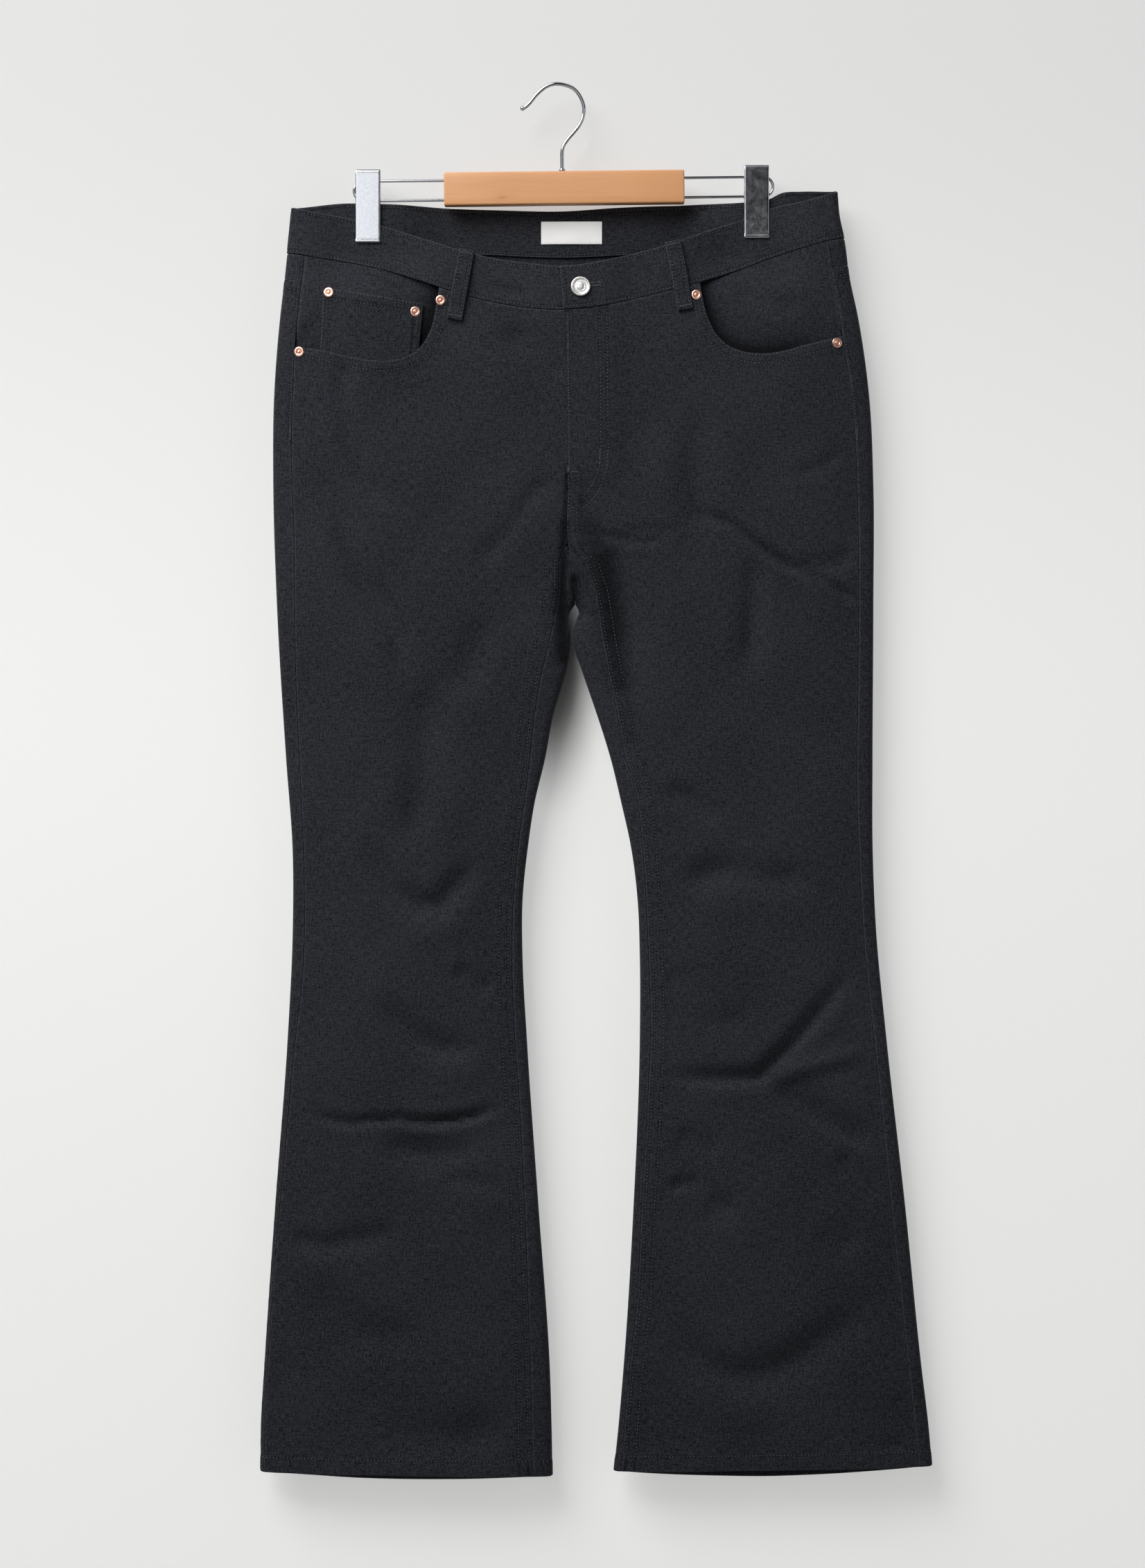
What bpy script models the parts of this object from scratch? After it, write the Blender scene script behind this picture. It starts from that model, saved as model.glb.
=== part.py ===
"""Bootcut jeans, hung flat by the waistband from a clip hanger.

Sizes are in millimetres and turned to metres when a mesh is made. +X is the wearer's left, which is
the viewer's right; the front faces -Y and +Z is up. The origin is the inside of the hook's bend,
where a rail carries the hanger.

Every piece of cloth is cut from one surface: at each height the garment is two walls that bulge a
little between its side folds, and below the crotch each leg has an inner fold too. A point of a piece
is a place across (x), a height (z) and a wall (front or back); cloth() lifts it out to the surface,
and out= moves it along the normal, for a layer on top or the wall's own inner face.
"""

import math
from collections import namedtuple

import bmesh
import bpy
import numpy as np
from mathutils import Matrix, Vector

MM = 0.001
RIGHT, LEFT = -1, 1  # the wearer's sides
FRONT, BACK = -1, 1  # the two walls

# Cloth
WALL = 1.5  # one ply of denim with its turned seam allowances
SEAM_GAP = 0.3
WAIST_GAP = 0.45  # along the waist seam, whose two sides have different columns
START_Z = -180.0  # a height near the waist, from which columns settle on a line
LAYER_GAP = 0.45  # between a piece and the one it lies on
FOLD_RADIUS = 5.0  # of the side folds, outside
SWELL_WIDTH = 80.0  # how far from a fold the walls reach their full bulge
CROTCH_TURN = 20.0  # round the crotch point the wall's thickness turns to point up
RELIEF_MARGIN = 30.0  # how far from a fold a crease reaches its depth
SLOPE_STEP = 0.4

# Waistband
WAISTBAND_WALL = 2.4
WAISTBAND_PROUD = 0.5  # how far it stands out from the panels
LAP_END = 5.0  # x of the buttoned end, which lies on top, at the height LAP_MIDDLE_Z
LAP_LEAN = 0.08  # how far the buttoned end leans in for each millimetre up
LAP_MIDDLE_Z = -177.0
UNDERLAP_END = 33.0
LAP_FLAT = 42.0  # x up to which the buttoned end is raised
LAP_RAMP = 26.0
MIDDLE_BACK_X = 9.0

# Fly
FLY_LIFT = WALL + LAYER_GAP
FLY_FLAT = 46.0  # x up to which the left front is raised; the facing beneath it ends there
FLY_RAMP = 20.0
FLY_UNDERLAP = 11.0
FLY_LAP_Z = -335.0  # above this the left front lies clear of the right one
FLY_OPEN_Z = -318.0  # the fly's underlap starts to narrow here and has ended at FLY_UNDER_Z
FLY_UNDER_Z = -330.0
FLY_SHUT_Z = -352.0

# Hem
HEM_DEPTH = 14.4
HEM_STEP = 0.8  # over which the wall thickens into the hem
HEM_BLEND = 38.0  # the last row above the hem
HEM_WALL = 2.6
HEM_PROUD = 0.4

# Crotch: the lowest point of the rise seam, between the legs, and where the four panels meet in front
CROTCH_X, CROTCH_Z = 16.8, -449.0
JUNCTION_Z = -397.0

# Pockets
MOUTH_TUCK = 8.0  # how far a facing or the coin pocket runs on under the pocket's mouth
MOUTH_EASE = 60.0  # how far above the mouth a facing is level with the panels
SEAM_EASE = 18.0  # the same at the outseam, where the two are sewn together
SEAM_EASE_WIDTH = 22.0  # how far from the outseam that holds
FACING_TOP_DROP = 6.0  # the facing's inner corner lies at least this far below the waist seam
FACING_TOP_Z = -145.0
COIN_WALL = 1.2
COIN_TUCK = 5.6
BACK_POCKET_WALL = 1.5

# Hanger
HOOK_WIRE = 3.4
WIRE = 2.5
WIRE_SPACING = 16.9
BAR_LENGTH, BAR_HEIGHT, BAR_THICKNESS = 208.0, 28.7, 12.0
BAR_CENTRE_X, BAR_CENTRE_Z = 6.2, -88.9
BAR_ROUND = 1.6
BAR_TILT = math.radians(0.66)
WIRE_CENTRE_Z = -89.3
WIRE_REACH = {RIGHT: -177.0, LEFT: 188.2}
WIRE_SINK = 9.0
DRILL_MARGIN = 1.0
CLIP_WIDTH, CLIP_HEIGHT, CLIP_SHEET = 21.5, 63.0, 1.0
CLIP_TOP_Z = -71.0
CLIP_LIP = 3.4
CLIP_HEAD = 2.0  # from the top to where the flanges are full
CLIP_FLANGE_END, CLIP_FLANGE_RUNOUT = 24.0, 26.5  # below the top
CLIP_HEAD_FLANGE, CLIP_BARE_FLANGE = 0.5, 0.05  # depth of the flanges at the top, and below their end
CLIP_LIP_BEND, CLIP_LIP_OUT, CLIP_LIP_FOOT = 2.04, 0.9, 0.5
CLIP_X = {RIGHT: -162.6, LEFT: 173.6}
CLIP_PIN_RADIUS, CLIP_PIN_LENGTH, CLIP_PIN_OFF = 2.6, 12.0, 3.5
GRIPPED = WAISTBAND_WALL - WAISTBAND_PROUD + SEAM_GAP / 2  # half depth where a clip grips
GRIP_MARGIN = 6.0
GRIP_FLAT = CLIP_WIDTH / 2 + GRIP_MARGIN
GRIP_WIDTH = 55.0
GRIP_TOP_Z, GRIP_END_Z = -144.0, -188.0

Section = namedtuple("Section", "z right left")
OUTER_EDGES = [
    Section(-88, -227.4, 243.5),
    Section(-112, -229.2, 245.2),
    Section(-134, -231.4, 250.0),
    Section(-165, -234.6, 254.2),
    Section(-200, -238.7, 261.6),
    Section(-270, -244.0, 271.4),
    Section(-345, -244.7, 274.9),
    Section(-450, -241.5, 274.9),
    Section(-585, -233.4, 274.2),
    Section(-660, -228.0, 274.3),
    Section(-730, -227.8, 277.2),
    Section(-825, -232.2, 286.2),
    Section(-970, -243.0, 302.4),
    Section(-1110, -252.5, 316.6),
    Section(-1160, -255.4, 322.6),
    Section(-1206, -255.4, 326.4),
]
INNER_EDGES = [
    Section(CROTCH_Z, CROTCH_X, CROTCH_X),
    Section(-456, 12.2, 20.0),
    Section(-463, 11.5, 17.0),
    Section(-472, 11.8, 13.5),
    Section(-484, 12.2, 14.2),
    Section(-499, 11.0, 19.8),
    Section(-518, 6.2, 26.4),
    Section(-540, -0.8, 34.0),
    Section(-584, -9.6, 47.8),
    Section(-620, -18.2, 56.4),
    Section(-658, -24.0, 64.8),
    Section(-706, -28.8, 70.8),
    Section(-754, -28.8, 72.6),
    Section(-826, -25.0, 72.6),
    Section(-970, -15.0, 67.2),
    Section(-1114, -5.0, 58.2),
    Section(-1162, -3.6, 54.0),
    Section(-1206, -2.8, 49.4),
]
OUTSEAMS = [
    Section(-130, -216.4, 232.0),
    Section(-153, -217.7, 236.2),
    Section(-190, -222.0, 243.4),
    Section(-225, -225.2, 248.8),
    Section(-272, -227.2, 255.9),
    Section(-310, -228.2, 258.9),
    Section(-383, -226.2, 261.3),
    Section(-510, -224.6, 261.3),
    Section(-605, -220.5, 260.2),
    Section(-685, -217.4, 263.0),
    Section(-765, -218.4, 268.4),
    Section(-830, -225.6, 275.6),
    Section(-928, -234.6, 285.6),
    Section(-1025, -243.6, 295.4),
    Section(-1121, -250.0, 306.0),
    Section(-1200, -252.6, 314.4),
]
INSEAMS = [
    Section(JUNCTION_Z, 10.0, 10.0),
    Section(-400, 7.6, 10.4),
    Section(-404, 5.2, 12.0),
    Section(-410, 3.6, 21.4),
    Section(-424, 2.6, 28.6),
    Section(-439, 2.4, 33.4),
    Section(-457, -0.6, 36.4),
    Section(-481, -5.6, 40.2),
    Section(-509, -12.2, 45.6),
    Section(-540, -17.6, 52.4),
    Section(-582, -22.3, 60.2),
    Section(-605, -25.2, 67.6),
    Section(-653, -31.8, 74.4),
    Section(-701, -36.4, 77.7),
    Section(-765, -37.6, 80.6),
    Section(-799, -36.6, 81.8),
    Section(-896, -30.4, 78.4),
    Section(-960, -27.2, 74.4),
    Section(-1057, -23.6, 69.6),
    Section(-1122, -21.4, 62.4),
    Section(-1200, -20.0, 56.2),
]

Fullness = namedtuple("Fullness", "z half_depth")
FULLNESS = [
    Fullness(-88, 13.0),
    Fullness(-150, 15.0),
    Fullness(-210, 17.0),
    Fullness(-290, 17.0),
    Fullness(-380, 15.5),
    Fullness(-480, 13.5),
    Fullness(-620, 12.0),
    Fullness(-1000, 12.0),
    Fullness(-1210, 13.0),
]

Rise = namedtuple("Rise", "z front back")
RISE_SEAMS = [
    Rise(-190, 9.2, 9.4),
    Rise(-260, 10.0, 9.8),
    Rise(-330, 10.6, 10.4),
    Rise(JUNCTION_Z, 10.0, 12.6),
    Rise(-424, 13.4, 14.6),
    Rise(CROTCH_Z, CROTCH_X, CROTCH_X),
]

WaistRow = namedtuple("WaistRow", "x top seam")
WAIST_FRONT = [
    WaistRow(-230, -105.7, -145.4),
    WaistRow(-208, -110.0, -149.2),
    WaistRow(-173, -116.0, -154.6),
    WaistRow(-150, -121.4, -159.7),
    WaistRow(-117, -132.7, -170.6),
    WaistRow(-84, -144.1, -181.8),
    WaistRow(-47, -152.5, -190.7),
    WaistRow(-21, -155.8, -194.6),
    WaistRow(5, -158.4, -195.9),
    WaistRow(35, -154.8, -193.1),
    WaistRow(72, -146.3, -185.4),
    WaistRow(102, -137.6, -178.2),
    WaistRow(138, -124.0, -167.4),
    WaistRow(162, -115.8, -158.8),
    WaistRow(185, -106.6, -149.8),
    WaistRow(219, -99.3, -139.2),
    WaistRow(247, -91.0, -132.2),
]
WAIST_BACK = [
    WaistRow(-230, -105.7, -145.4),
    WaistRow(-182, -101.7, -143.2),
    WaistRow(-146, -102.3, -142.8),
    WaistRow(-61, -105.3, -144.5),
    WaistRow(8, -106.5, -147.0),
    WaistRow(54, -103.5, -145.0),
    WaistRow(110, -101.5, -142.0),
    WaistRow(163, -100.8, -139.0),
    WaistRow(185, -97.9, -136.5),
    WaistRow(195, -92.8, -135.6),
    WaistRow(211, -91.0, -134.5),
    WaistRow(247, -91.0, -132.2),
]
YokePoint = namedtuple("YokePoint", "x z")
YOKE_SEAM = [
    YokePoint(-236, -167.2),
    YokePoint(-180, -178.0),
    YokePoint(-60, -202.0),
    YokePoint(10, -213.0),
    YokePoint(80, -199.0),
    YokePoint(200, -169.0),
    YokePoint(254, -154.8),
]

Mouth = namedtuple("Mouth", "x z")
POCKET_MOUTHS = {
    RIGHT: [
        Mouth(-100.6, -176.4),
        Mouth(-102.6, -190.0),
        Mouth(-105.5, -206.0),
        Mouth(-110.5, -219.0),
        Mouth(-118.0, -229.6),
        Mouth(-130.0, -236.8),
        Mouth(-149.0, -240.2),
        Mouth(-175.0, -237.0),
        Mouth(-200.0, -230.8),
        Mouth(-225.3, -226.8),
    ],
    LEFT: [
        Mouth(124.2, -171.6),
        Mouth(125.6, -180.0),
        Mouth(128.4, -193.9),
        Mouth(134.2, -209.8),
        Mouth(145.1, -224.0),
        Mouth(157.6, -230.8),
        Mouth(173.5, -233.6),
        Mouth(193.4, -232.2),
        Mouth(214.3, -226.4),
        Mouth(248.0, -217.8),
    ],
}
FACING_DROP = {RIGHT: COIN_WALL + WALL + 2 * LAYER_GAP, LEFT: WALL + 2 * LAYER_GAP}
# x of a front panel's columns on the waist seam, between the rise seam and the pocket
FRONT_COLUMNS = {RIGHT: [5.0, -20.0, -46.0, -73.0], LEFT: [27.0, 46.0, 66.0, 95.0]}
EVEN_FROM_Z, EVEN_OVER = -245.0, 90.0  # from here down the columns spread out evenly

Corner = namedtuple("Corner", "x z")
COIN_TOP = [Corner(-200.0, -176.4), Corner(-114.0, -190.6)]
COIN_SIDES_AT_MOUTH = [-204.0, -118.6]
RIVETS = [
    Corner(-99.2, -188.0),
    Corner(-121.0, -197.6),
    Corner(-195.4, -181.0),
    Corner(-221.4, -231.6),
    Corner(121.0, -183.4),
    Corner(242.4, -224.0),
]
RIVET_SIDES, BUTTON_SIDES, PIN_SIDES = 12, 20, 12
RIVET_PROFILE = [(4.35, 0.0), (4.35, 0.7), (3.6, 1.3), (2.1, 1.4), (1.6, 0.9), (0.9, 1.9)]
BUTTON_PLACE = Corner(21.2, -176.6)
BUTTON_PROFILE = [(7.9, 0.0), (8.5, 0.8), (8.4, 1.8), (7.4, 2.4), (6.3, 1.9), (3.4, 1.8), (2.8, 2.5)]

# A belt loop is a strip from its top middle to its bottom middle
Loop = namedtuple("Loop", "name face top_x top_z bottom_x bottom_z")
BELT_LOOPS = [
    Loop("belt_loop_front_right", FRONT, -76.6, -144.6, -87.2, -204.6),
    Loop("belt_loop_front_left", FRONT, 100.4, -136.8, 111.8, -196.0),
    Loop("belt_loop_back_right", BACK, -104.1, -105.6, -106.0, -162.0),
    Loop("belt_loop_centre_back", BACK, 8.6, -108.4, 9.4, -166.0),
    Loop("belt_loop_back_left", BACK, 122.1, -102.8, 125.0, -159.0),
]
LOOP_WIDTH, LOOP_WALL = 13.0, 2.2
LoopStation = namedtuple("LoopStation", "along clear")
LOOP_CLEAR = [
    LoopStation(0.0, WAISTBAND_PROUD + SEAM_GAP),
    LoopStation(0.12, WAISTBAND_PROUD + SEAM_GAP + 0.3),
    LoopStation(0.35, 2.4),
    LoopStation(0.6, 2.2),
    LoopStation(0.85, 0.9),
    LoopStation(1.0, SEAM_GAP + 0.2),
]

LABEL_X, LABEL_Z, LABEL_WIDTH, LABEL_HEIGHT, LABEL_WALL = 13.6, -125.4, 52.8, 19.4, 1.0

Hem = namedtuple("Hem", "outer inner back_sag")
HEMS = {RIGHT: Hem(-1199.3, -1203.2, 7.6), LEFT: Hem(-1194.4, -1198.8, 9.4)}

# Back pocket outline, in the pocket's own width and height from the middle of its top edge
BACK_POCKET_WIDTH, BACK_POCKET_FOOT, BACK_POCKET_SIDE, BACK_POCKET_POINT = 152.0, 128.0, 132.0, 160.0
BackPocket = namedtuple("BackPocket", "x z tilt")
BACK_POCKETS = {RIGHT: BackPocket(-118.0, -236.0, -10.0), LEFT: BackPocket(143.0, -234.0, 12.0)}

# Creases in the walls: troughs go in, and a negative depth is a ridge
Crease = namedtuple("Crease", "face x0 z0 x1 z1 width depth")
CREASES = [
    Crease(FRONT, -210, -311, -181, -392, 22, 3.0),
    Crease(FRONT, -181, -392, -130, -484, 22, 3.0),
    Crease(FRONT, -130, -490, -126, -690, 24, 2.6),
    Crease(FRONT, -137, -685, -115, -715, 15, 2.6),
    Crease(FRONT, -112, -715, -70, -657, 15, 2.6),
    Crease(FRONT, -207, -896, -84, -897, 17, 3.6),
    Crease(FRONT, -135, -818, -70, -832, 17, 2.0),
    Crease(FRONT, -238, -986, -157, -1002, 18, 2.0),
    Crease(FRONT, 24, -387, 104, -393, 11, 2.2),
    Crease(FRONT, 127, -373, 178, -399, 13, 2.8),
    Crease(FRONT, 178, -399, 258, -442, 14, 2.8),
    Crease(FRONT, 116, -370, 117, -508, 24, 1.8),
    Crease(FRONT, 92, -609, 165, -621, 17, 2.6),
    Crease(FRONT, 127, -679, 190, -688, 17, 2.6),
    Crease(FRONT, 176, -859, 255, -774, 16, -2.4),
    Crease(FRONT, 176, -859, 280, -922, 16, -2.4),
    Crease(FRONT, 172, -859, 94, -854, 15, 3.2),
    Crease(FRONT, 203, -842, 272, -852, 13, 2.2),
    Crease(FRONT, 87, -938, 152, -961, 17, 2.0),
    Crease(FRONT, 87, -1057, 152, -1119, 18, 2.4),
    Crease(BACK, -196, -428, -60, -462, 18, 3.0),
    Crease(BACK, -150, -500, -120, -660, 24, 2.4),
    Crease(BACK, -190, -706, -80, -688, 17, 3.0),
    Crease(BACK, -200, -905, -96, -930, 18, 2.6),
    Crease(BACK, 92, -462, 224, -424, 18, 3.0),
    Crease(BACK, 150, -520, 172, -650, 24, 2.2),
    Crease(BACK, 108, -694, 226, -716, 17, 3.0),
    Crease(BACK, 128, -882, 250, -868, 17, 2.8),
]

# Rows of the panels' grids, by height, and heights above the hem for the last ones
SEAT_Z = -262.0
SEAT_ROWS = [-290, FLY_OPEN_Z, -331, FLY_SHUT_Z, -374]
CROTCH_ROWS = [JUNCTION_Z, -400, -404, -410, -424, -438]
LEG_ROWS = [-456, -463, -472, -484, -499, -522, -552, -586, -620, -654, -686, -714, -748, -786]
LEG_ROWS += [-820, -854, -888, -922, -966, -1014, -1064, -1116]
HEM_ROWS = [HEM_BLEND, HEM_DEPTH + HEM_STEP, HEM_DEPTH, 0.0]
TOP_ROWS = 5
YOKE_ROWS = 4
WAISTBAND_ROWS = 3
FACING_ROWS = 7
GORE_TOPS = {RIGHT: JUNCTION_Z, LEFT: -400}
BACK_COLUMNS = [2, 2, 7, 2, 2]  # outseam, fold, fold's end, inner fold's start, inner fold, inseam

HOOK_POINTS = [
    (-28.9, -19.1),
    (-27.1, -18.4),
    (-23.1, -15.0),
    (-17.0, -7.6),
    (-10.9, -2.2),
    (-5.4, 0.7),
    (0.8, 1.7),
    (8.1, 0.6),
    (15.5, -2.8),
    (20.9, -9.5),
    (24.0, -18.6),
    (23.1, -27.2),
    (19.7, -34.6),
    (14.8, -40.7),
    (10.0, -46.2),
    (6.2, -51.7),
    (4.7, -57.8),
    (4.6, -65.2),
    (4.6, -73.6),
]
HOOK_BALL_RADIUS = 2.3
BALL_ANGLES = [30, 60, 90, 120, 150, 172]  # of the rings that round the ball on its tip
CollarRing = namedtuple("CollarRing", "height radius")
COLLAR = [CollarRing(3.0, 1.7), CollarRing(2.4, 2.6), CollarRing(0.9, 2.6), CollarRing(SEAM_GAP, 2.24)]
COLLAR_CLEAR = 3.2  # the wire's own points end this far above the bar
HOOK_STEPS = 34
TUBE_RESOLUTION = 2

DENIM = ((0.062, 0.070, 0.082), 0.85, 0.0)
FACING_DENIM = ((0.056, 0.064, 0.075), 0.85, 0.0)
LABEL_CLOTH = ((0.86, 0.86, 0.84), 0.7, 0.0)
NICKEL = ((0.72, 0.73, 0.74), 0.25, 1.0)
COPPER = ((0.80, 0.47, 0.38), 0.3, 1.0)
CHROME = ((0.82, 0.83, 0.84), 0.08, 1.0)
WOOD = ((0.80, 0.50, 0.27), 0.5, 0.0)


# ---------------------------------------------------------------- curves


def smooth_curve(across, along):
    """A smooth function through the points, straight beyond its ends."""
    order = np.argsort(across)
    x = np.asarray(across, float)[order]
    y = np.asarray(along, float)[order]
    step = np.diff(x)
    chord = np.diff(y) / step
    inner = (chord[1:] * step[:-1] + chord[:-1] * step[1:]) / (step[:-1] + step[1:])
    slope = np.concatenate([[chord[0]], inner, [chord[-1]]])

    def value(at):
        at = np.asarray(at, float)
        i = np.clip(np.searchsorted(x, at) - 1, 0, len(x) - 2)
        t = (np.clip(at, x[0], x[-1]) - x[i]) / step[i]
        a, b = y[i], y[i + 1]
        m, n = slope[i] * step[i], slope[i + 1] * step[i]
        curve = a + t * m + t * t * (3 * (b - a) - 2 * m - n) + t**3 * (2 * (a - b) + m + n)
        before = np.minimum(at - x[0], 0) * slope[0]
        after = np.maximum(at - x[-1], 0) * slope[-1]
        return curve + before + after

    return value


def column_curve(rows, across, along):
    """A smooth function of one named column of a table from another."""
    return smooth_curve([getattr(r, across) for r in rows], [getattr(r, along) for r in rows])


def side_curves(rows):
    return {RIGHT: column_curve(rows, "z", "right"), LEFT: column_curve(rows, "z", "left")}


def waist_curve(rows, along):
    """An edge of the waistband on one wall, level past the tables' ends, where the two walls meet."""
    curve = column_curve(rows, "x", along)
    return lambda x: curve(np.clip(x, rows[0].x, rows[-1].x))


OUTER = side_curves(OUTER_EDGES)
INNER = side_curves(INNER_EDGES)
OUTSEAM = side_curves(OUTSEAMS)
INSEAM = side_curves(INSEAMS)
HALF_DEPTH = column_curve(FULLNESS, "z", "half_depth")
RISE_FRONT = column_curve(RISE_SEAMS, "z", "front")
RISE_BACK = column_curve(RISE_SEAMS, "z", "back")
WAIST_TOP = {FRONT: waist_curve(WAIST_FRONT, "top"), BACK: waist_curve(WAIST_BACK, "top")}
WAIST_SEAM = {FRONT: waist_curve(WAIST_FRONT, "seam"), BACK: waist_curve(WAIST_BACK, "seam")}
YOKE_LINE = column_curve(YOKE_SEAM, "x", "z")
LOOP_CLEARANCE = column_curve(LOOP_CLEAR, "along", "clear")


def ease(t):
    t = np.clip(t, 0, 1)
    return t * t * (3 - 2 * t)


def arch(t):
    """A parabola from 0 up to a level 1."""
    return 1 - (1 - np.clip(t, 0, 1)) ** 2


def by_face(curves, x, face):
    return np.where(face == FRONT, curves[FRONT](x), curves[BACK](x))


# ---------------------------------------------------------------- the garment's surface


def edge_distances(x, z, side):
    """How far a point lies inside the outer fold, and inside the inner one or from the crotch."""
    outer = np.where(side == LEFT, OUTER[LEFT](z) - x, x - OUTER[RIGHT](z))
    beside = np.where(side == LEFT, x - INNER[LEFT](z), INNER[RIGHT](z) - x)
    above = np.hypot(x - CROTCH_X, z - CROTCH_Z)
    return outer, np.where(z < CROTCH_Z, beside, above)


def relief(x, z, face):
    """How far the creases take a wall in at a point."""
    total = np.zeros_like(x)
    for crease in CREASES:
        run, drop = crease.x1 - crease.x0, crease.z1 - crease.z0
        length = math.hypot(run, drop)
        along = ((x - crease.x0) * run + (z - crease.z0) * drop) / length**2
        off = np.hypot(
            x - crease.x0 - np.clip(along, 0, 1) * run,
            z - crease.z0 - np.clip(along, 0, 1) * drop,
        )
        total += np.where(face == crease.face, crease.depth * np.exp(-((off / crease.width) ** 2)), 0)
    return total


def grip(x, z):
    """1 where a clip holds the two walls together, fading to 0 round it."""
    held = np.zeros_like(x)
    for clip_x in CLIP_X.values():
        beyond = np.abs(x - clip_x) - GRIP_FLAT
        held = np.maximum(held, 1 - ease(beyond / GRIP_WIDTH))
    return held * ease((z - GRIP_END_Z) / (GRIP_TOP_Z - GRIP_END_Z))


def half_depth(x, z, side, face):
    """How far a wall stands from the garment's middle plane."""
    outer, inner = edge_distances(x, z, side)
    inside = np.clip(np.minimum(outer, inner), 0, None)
    rim = np.sqrt(FOLD_RADIUS**2 - (FOLD_RADIUS - np.minimum(inside, FOLD_RADIUS)) ** 2)
    swell = (HALF_DEPTH(z) - FOLD_RADIUS) * arch(outer / SWELL_WIDTH) * arch(inner / SWELL_WIDTH)
    free = rim + swell - relief(x, z, face) * ease(inside / RELIEF_MARGIN)
    held = grip(x, z)
    return free * (1 - held) + GRIPPED * held


def depth_squared(x, z, side, face):
    """Smooth through a fold, where the half depth itself turns upright."""
    inside = np.minimum(*edge_distances(x, z, side))
    return np.where(inside < 0, 2 * FOLD_RADIUS * inside, half_depth(x, z, side, face) ** 2)


def cloth(x, z, side, face, out=0.0):
    """Points of the garment's surface, moved out level from it, or along its normal at the crotch point."""
    x, z, side, face, out = np.broadcast_arrays(*(np.asarray(v, float) for v in (x, z, side, face, out)))
    y = face * half_depth(x, z, side, face)
    h = SLOPE_STEP
    slope_x = (depth_squared(x + h, z, side, face) - depth_squared(x - h, z, side, face)) / (2 * h)
    slope_z = (depth_squared(x, z + h, side, face) - depth_squared(x, z - h, side, face)) / (2 * h)
    turn = 1 - ease(edge_distances(x, z, side)[1] / CROTCH_TURN)
    turn = turn * (1 - ease((CROTCH_Z - z) / FOLD_RADIUS))
    normal = np.stack([-slope_x, 2 * y, -slope_z * turn], axis=-1)
    normal /= np.linalg.norm(normal, axis=-1, keepdims=True)
    return np.stack([x, y, z], axis=-1) + normal * out[..., None]


QUARTER = FOLD_RADIUS * math.pi / 2


def arc_from_fold(distance):
    """Length along the cloth from a fold to a point this far inside it."""
    distance = np.asarray(distance, float)
    bend = FOLD_RADIUS * np.arccos(np.clip(1 - distance / FOLD_RADIUS, -1, 1))
    return np.where(distance < FOLD_RADIUS, bend, QUARTER + distance - FOLD_RADIUS)


def distance_from_fold(arc):
    bend = FOLD_RADIUS * (1 - np.cos(np.clip(arc, 0, QUARTER) / FOLD_RADIUS))
    return np.where(arc < QUARTER, bend, arc - QUARTER + FOLD_RADIUS)


def leg_span(z, side):
    """Length across one wall of a leg, from its outer fold to its inner one."""
    width = side * (OUTER[side](z) - INNER[side](z))
    return width - 2 * FOLD_RADIUS + 2 * QUARTER


def wrap(arc, z, side):
    """x and wall of a point: arc from the outer fold, + on the front wall and - on the back one.

    Below the crotch the arc runs on past the inner fold, on to the front wall again.
    """
    below = z < CROTCH_Z
    span = np.where(below, leg_span(z, side), np.inf)
    past = (arc < 0) & (-arc > span)
    across = np.where(past, 2 * span + arc, np.abs(arc)) if np.any(past) else np.abs(arc)
    face = np.where((arc > 0) | past, FRONT, BACK)
    x = OUTER[side](z) - side * distance_from_fold(across)
    to_inner = span - across
    near_inner = below & (to_inner < QUARTER)
    from_inner = distance_from_fold(np.where(near_inner, to_inner, 0))
    return np.where(near_inner, INNER[side](z) + side * from_inner, x), face


def hem_height(x, side, face):
    """z of the hem's lower edge: the back wall hangs a little lower than the front one."""
    hem = HEMS[side]
    outer, inner = OUTER[side](hem.outer), INNER[side](hem.inner)
    across = np.clip((x - outer) / (inner - outer), 0, 1)
    level = hem.outer + (hem.inner - hem.outer) * across
    return level - np.where(face == BACK, hem.back_sag * np.sin(math.pi * across) ** 0.7, 0)


def hem_step(z, x, side, face):
    """1 on the hem's folded depth, 0 above it."""
    return (z < hem_height(x, side, face) + HEM_DEPTH + HEM_STEP / 4).astype(float)


# ---------------------------------------------------------------- meshes


def material(name, finish):
    colour, roughness, metallic = finish
    made = bpy.data.materials.get(name) or bpy.data.materials.new(name)
    made.use_nodes = True
    made.diffuse_color = (*colour, 1)
    surface = made.node_tree.nodes["Principled BSDF"]
    surface.inputs["Base Color"].default_value = (*colour, 1)
    surface.inputs["Roughness"].default_value = roughness
    surface.inputs["Metallic"].default_value = metallic
    return made


def add_object(name, mesh, finish):
    mesh.materials.append(material(name, finish))
    made = bpy.data.objects.new(name, mesh)
    bpy.context.scene.collection.objects.link(made)
    return made


def add_mesh(name, points, faces, finish):
    """An object from points in millimetres and faces, all turned to point out."""
    mesh = bpy.data.meshes.new(name)
    mesh.from_pydata((np.asarray(points) * MM).tolist(), [], faces)
    shape = bmesh.new()
    shape.from_mesh(mesh)
    bmesh.ops.recalc_face_normals(shape, faces=shape.faces)
    shape.to_mesh(mesh)
    shape.free()
    mesh.shade_smooth()
    mesh.set_sharp_from_angle(angle=math.radians(35))
    return add_object(name, mesh, finish)


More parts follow.
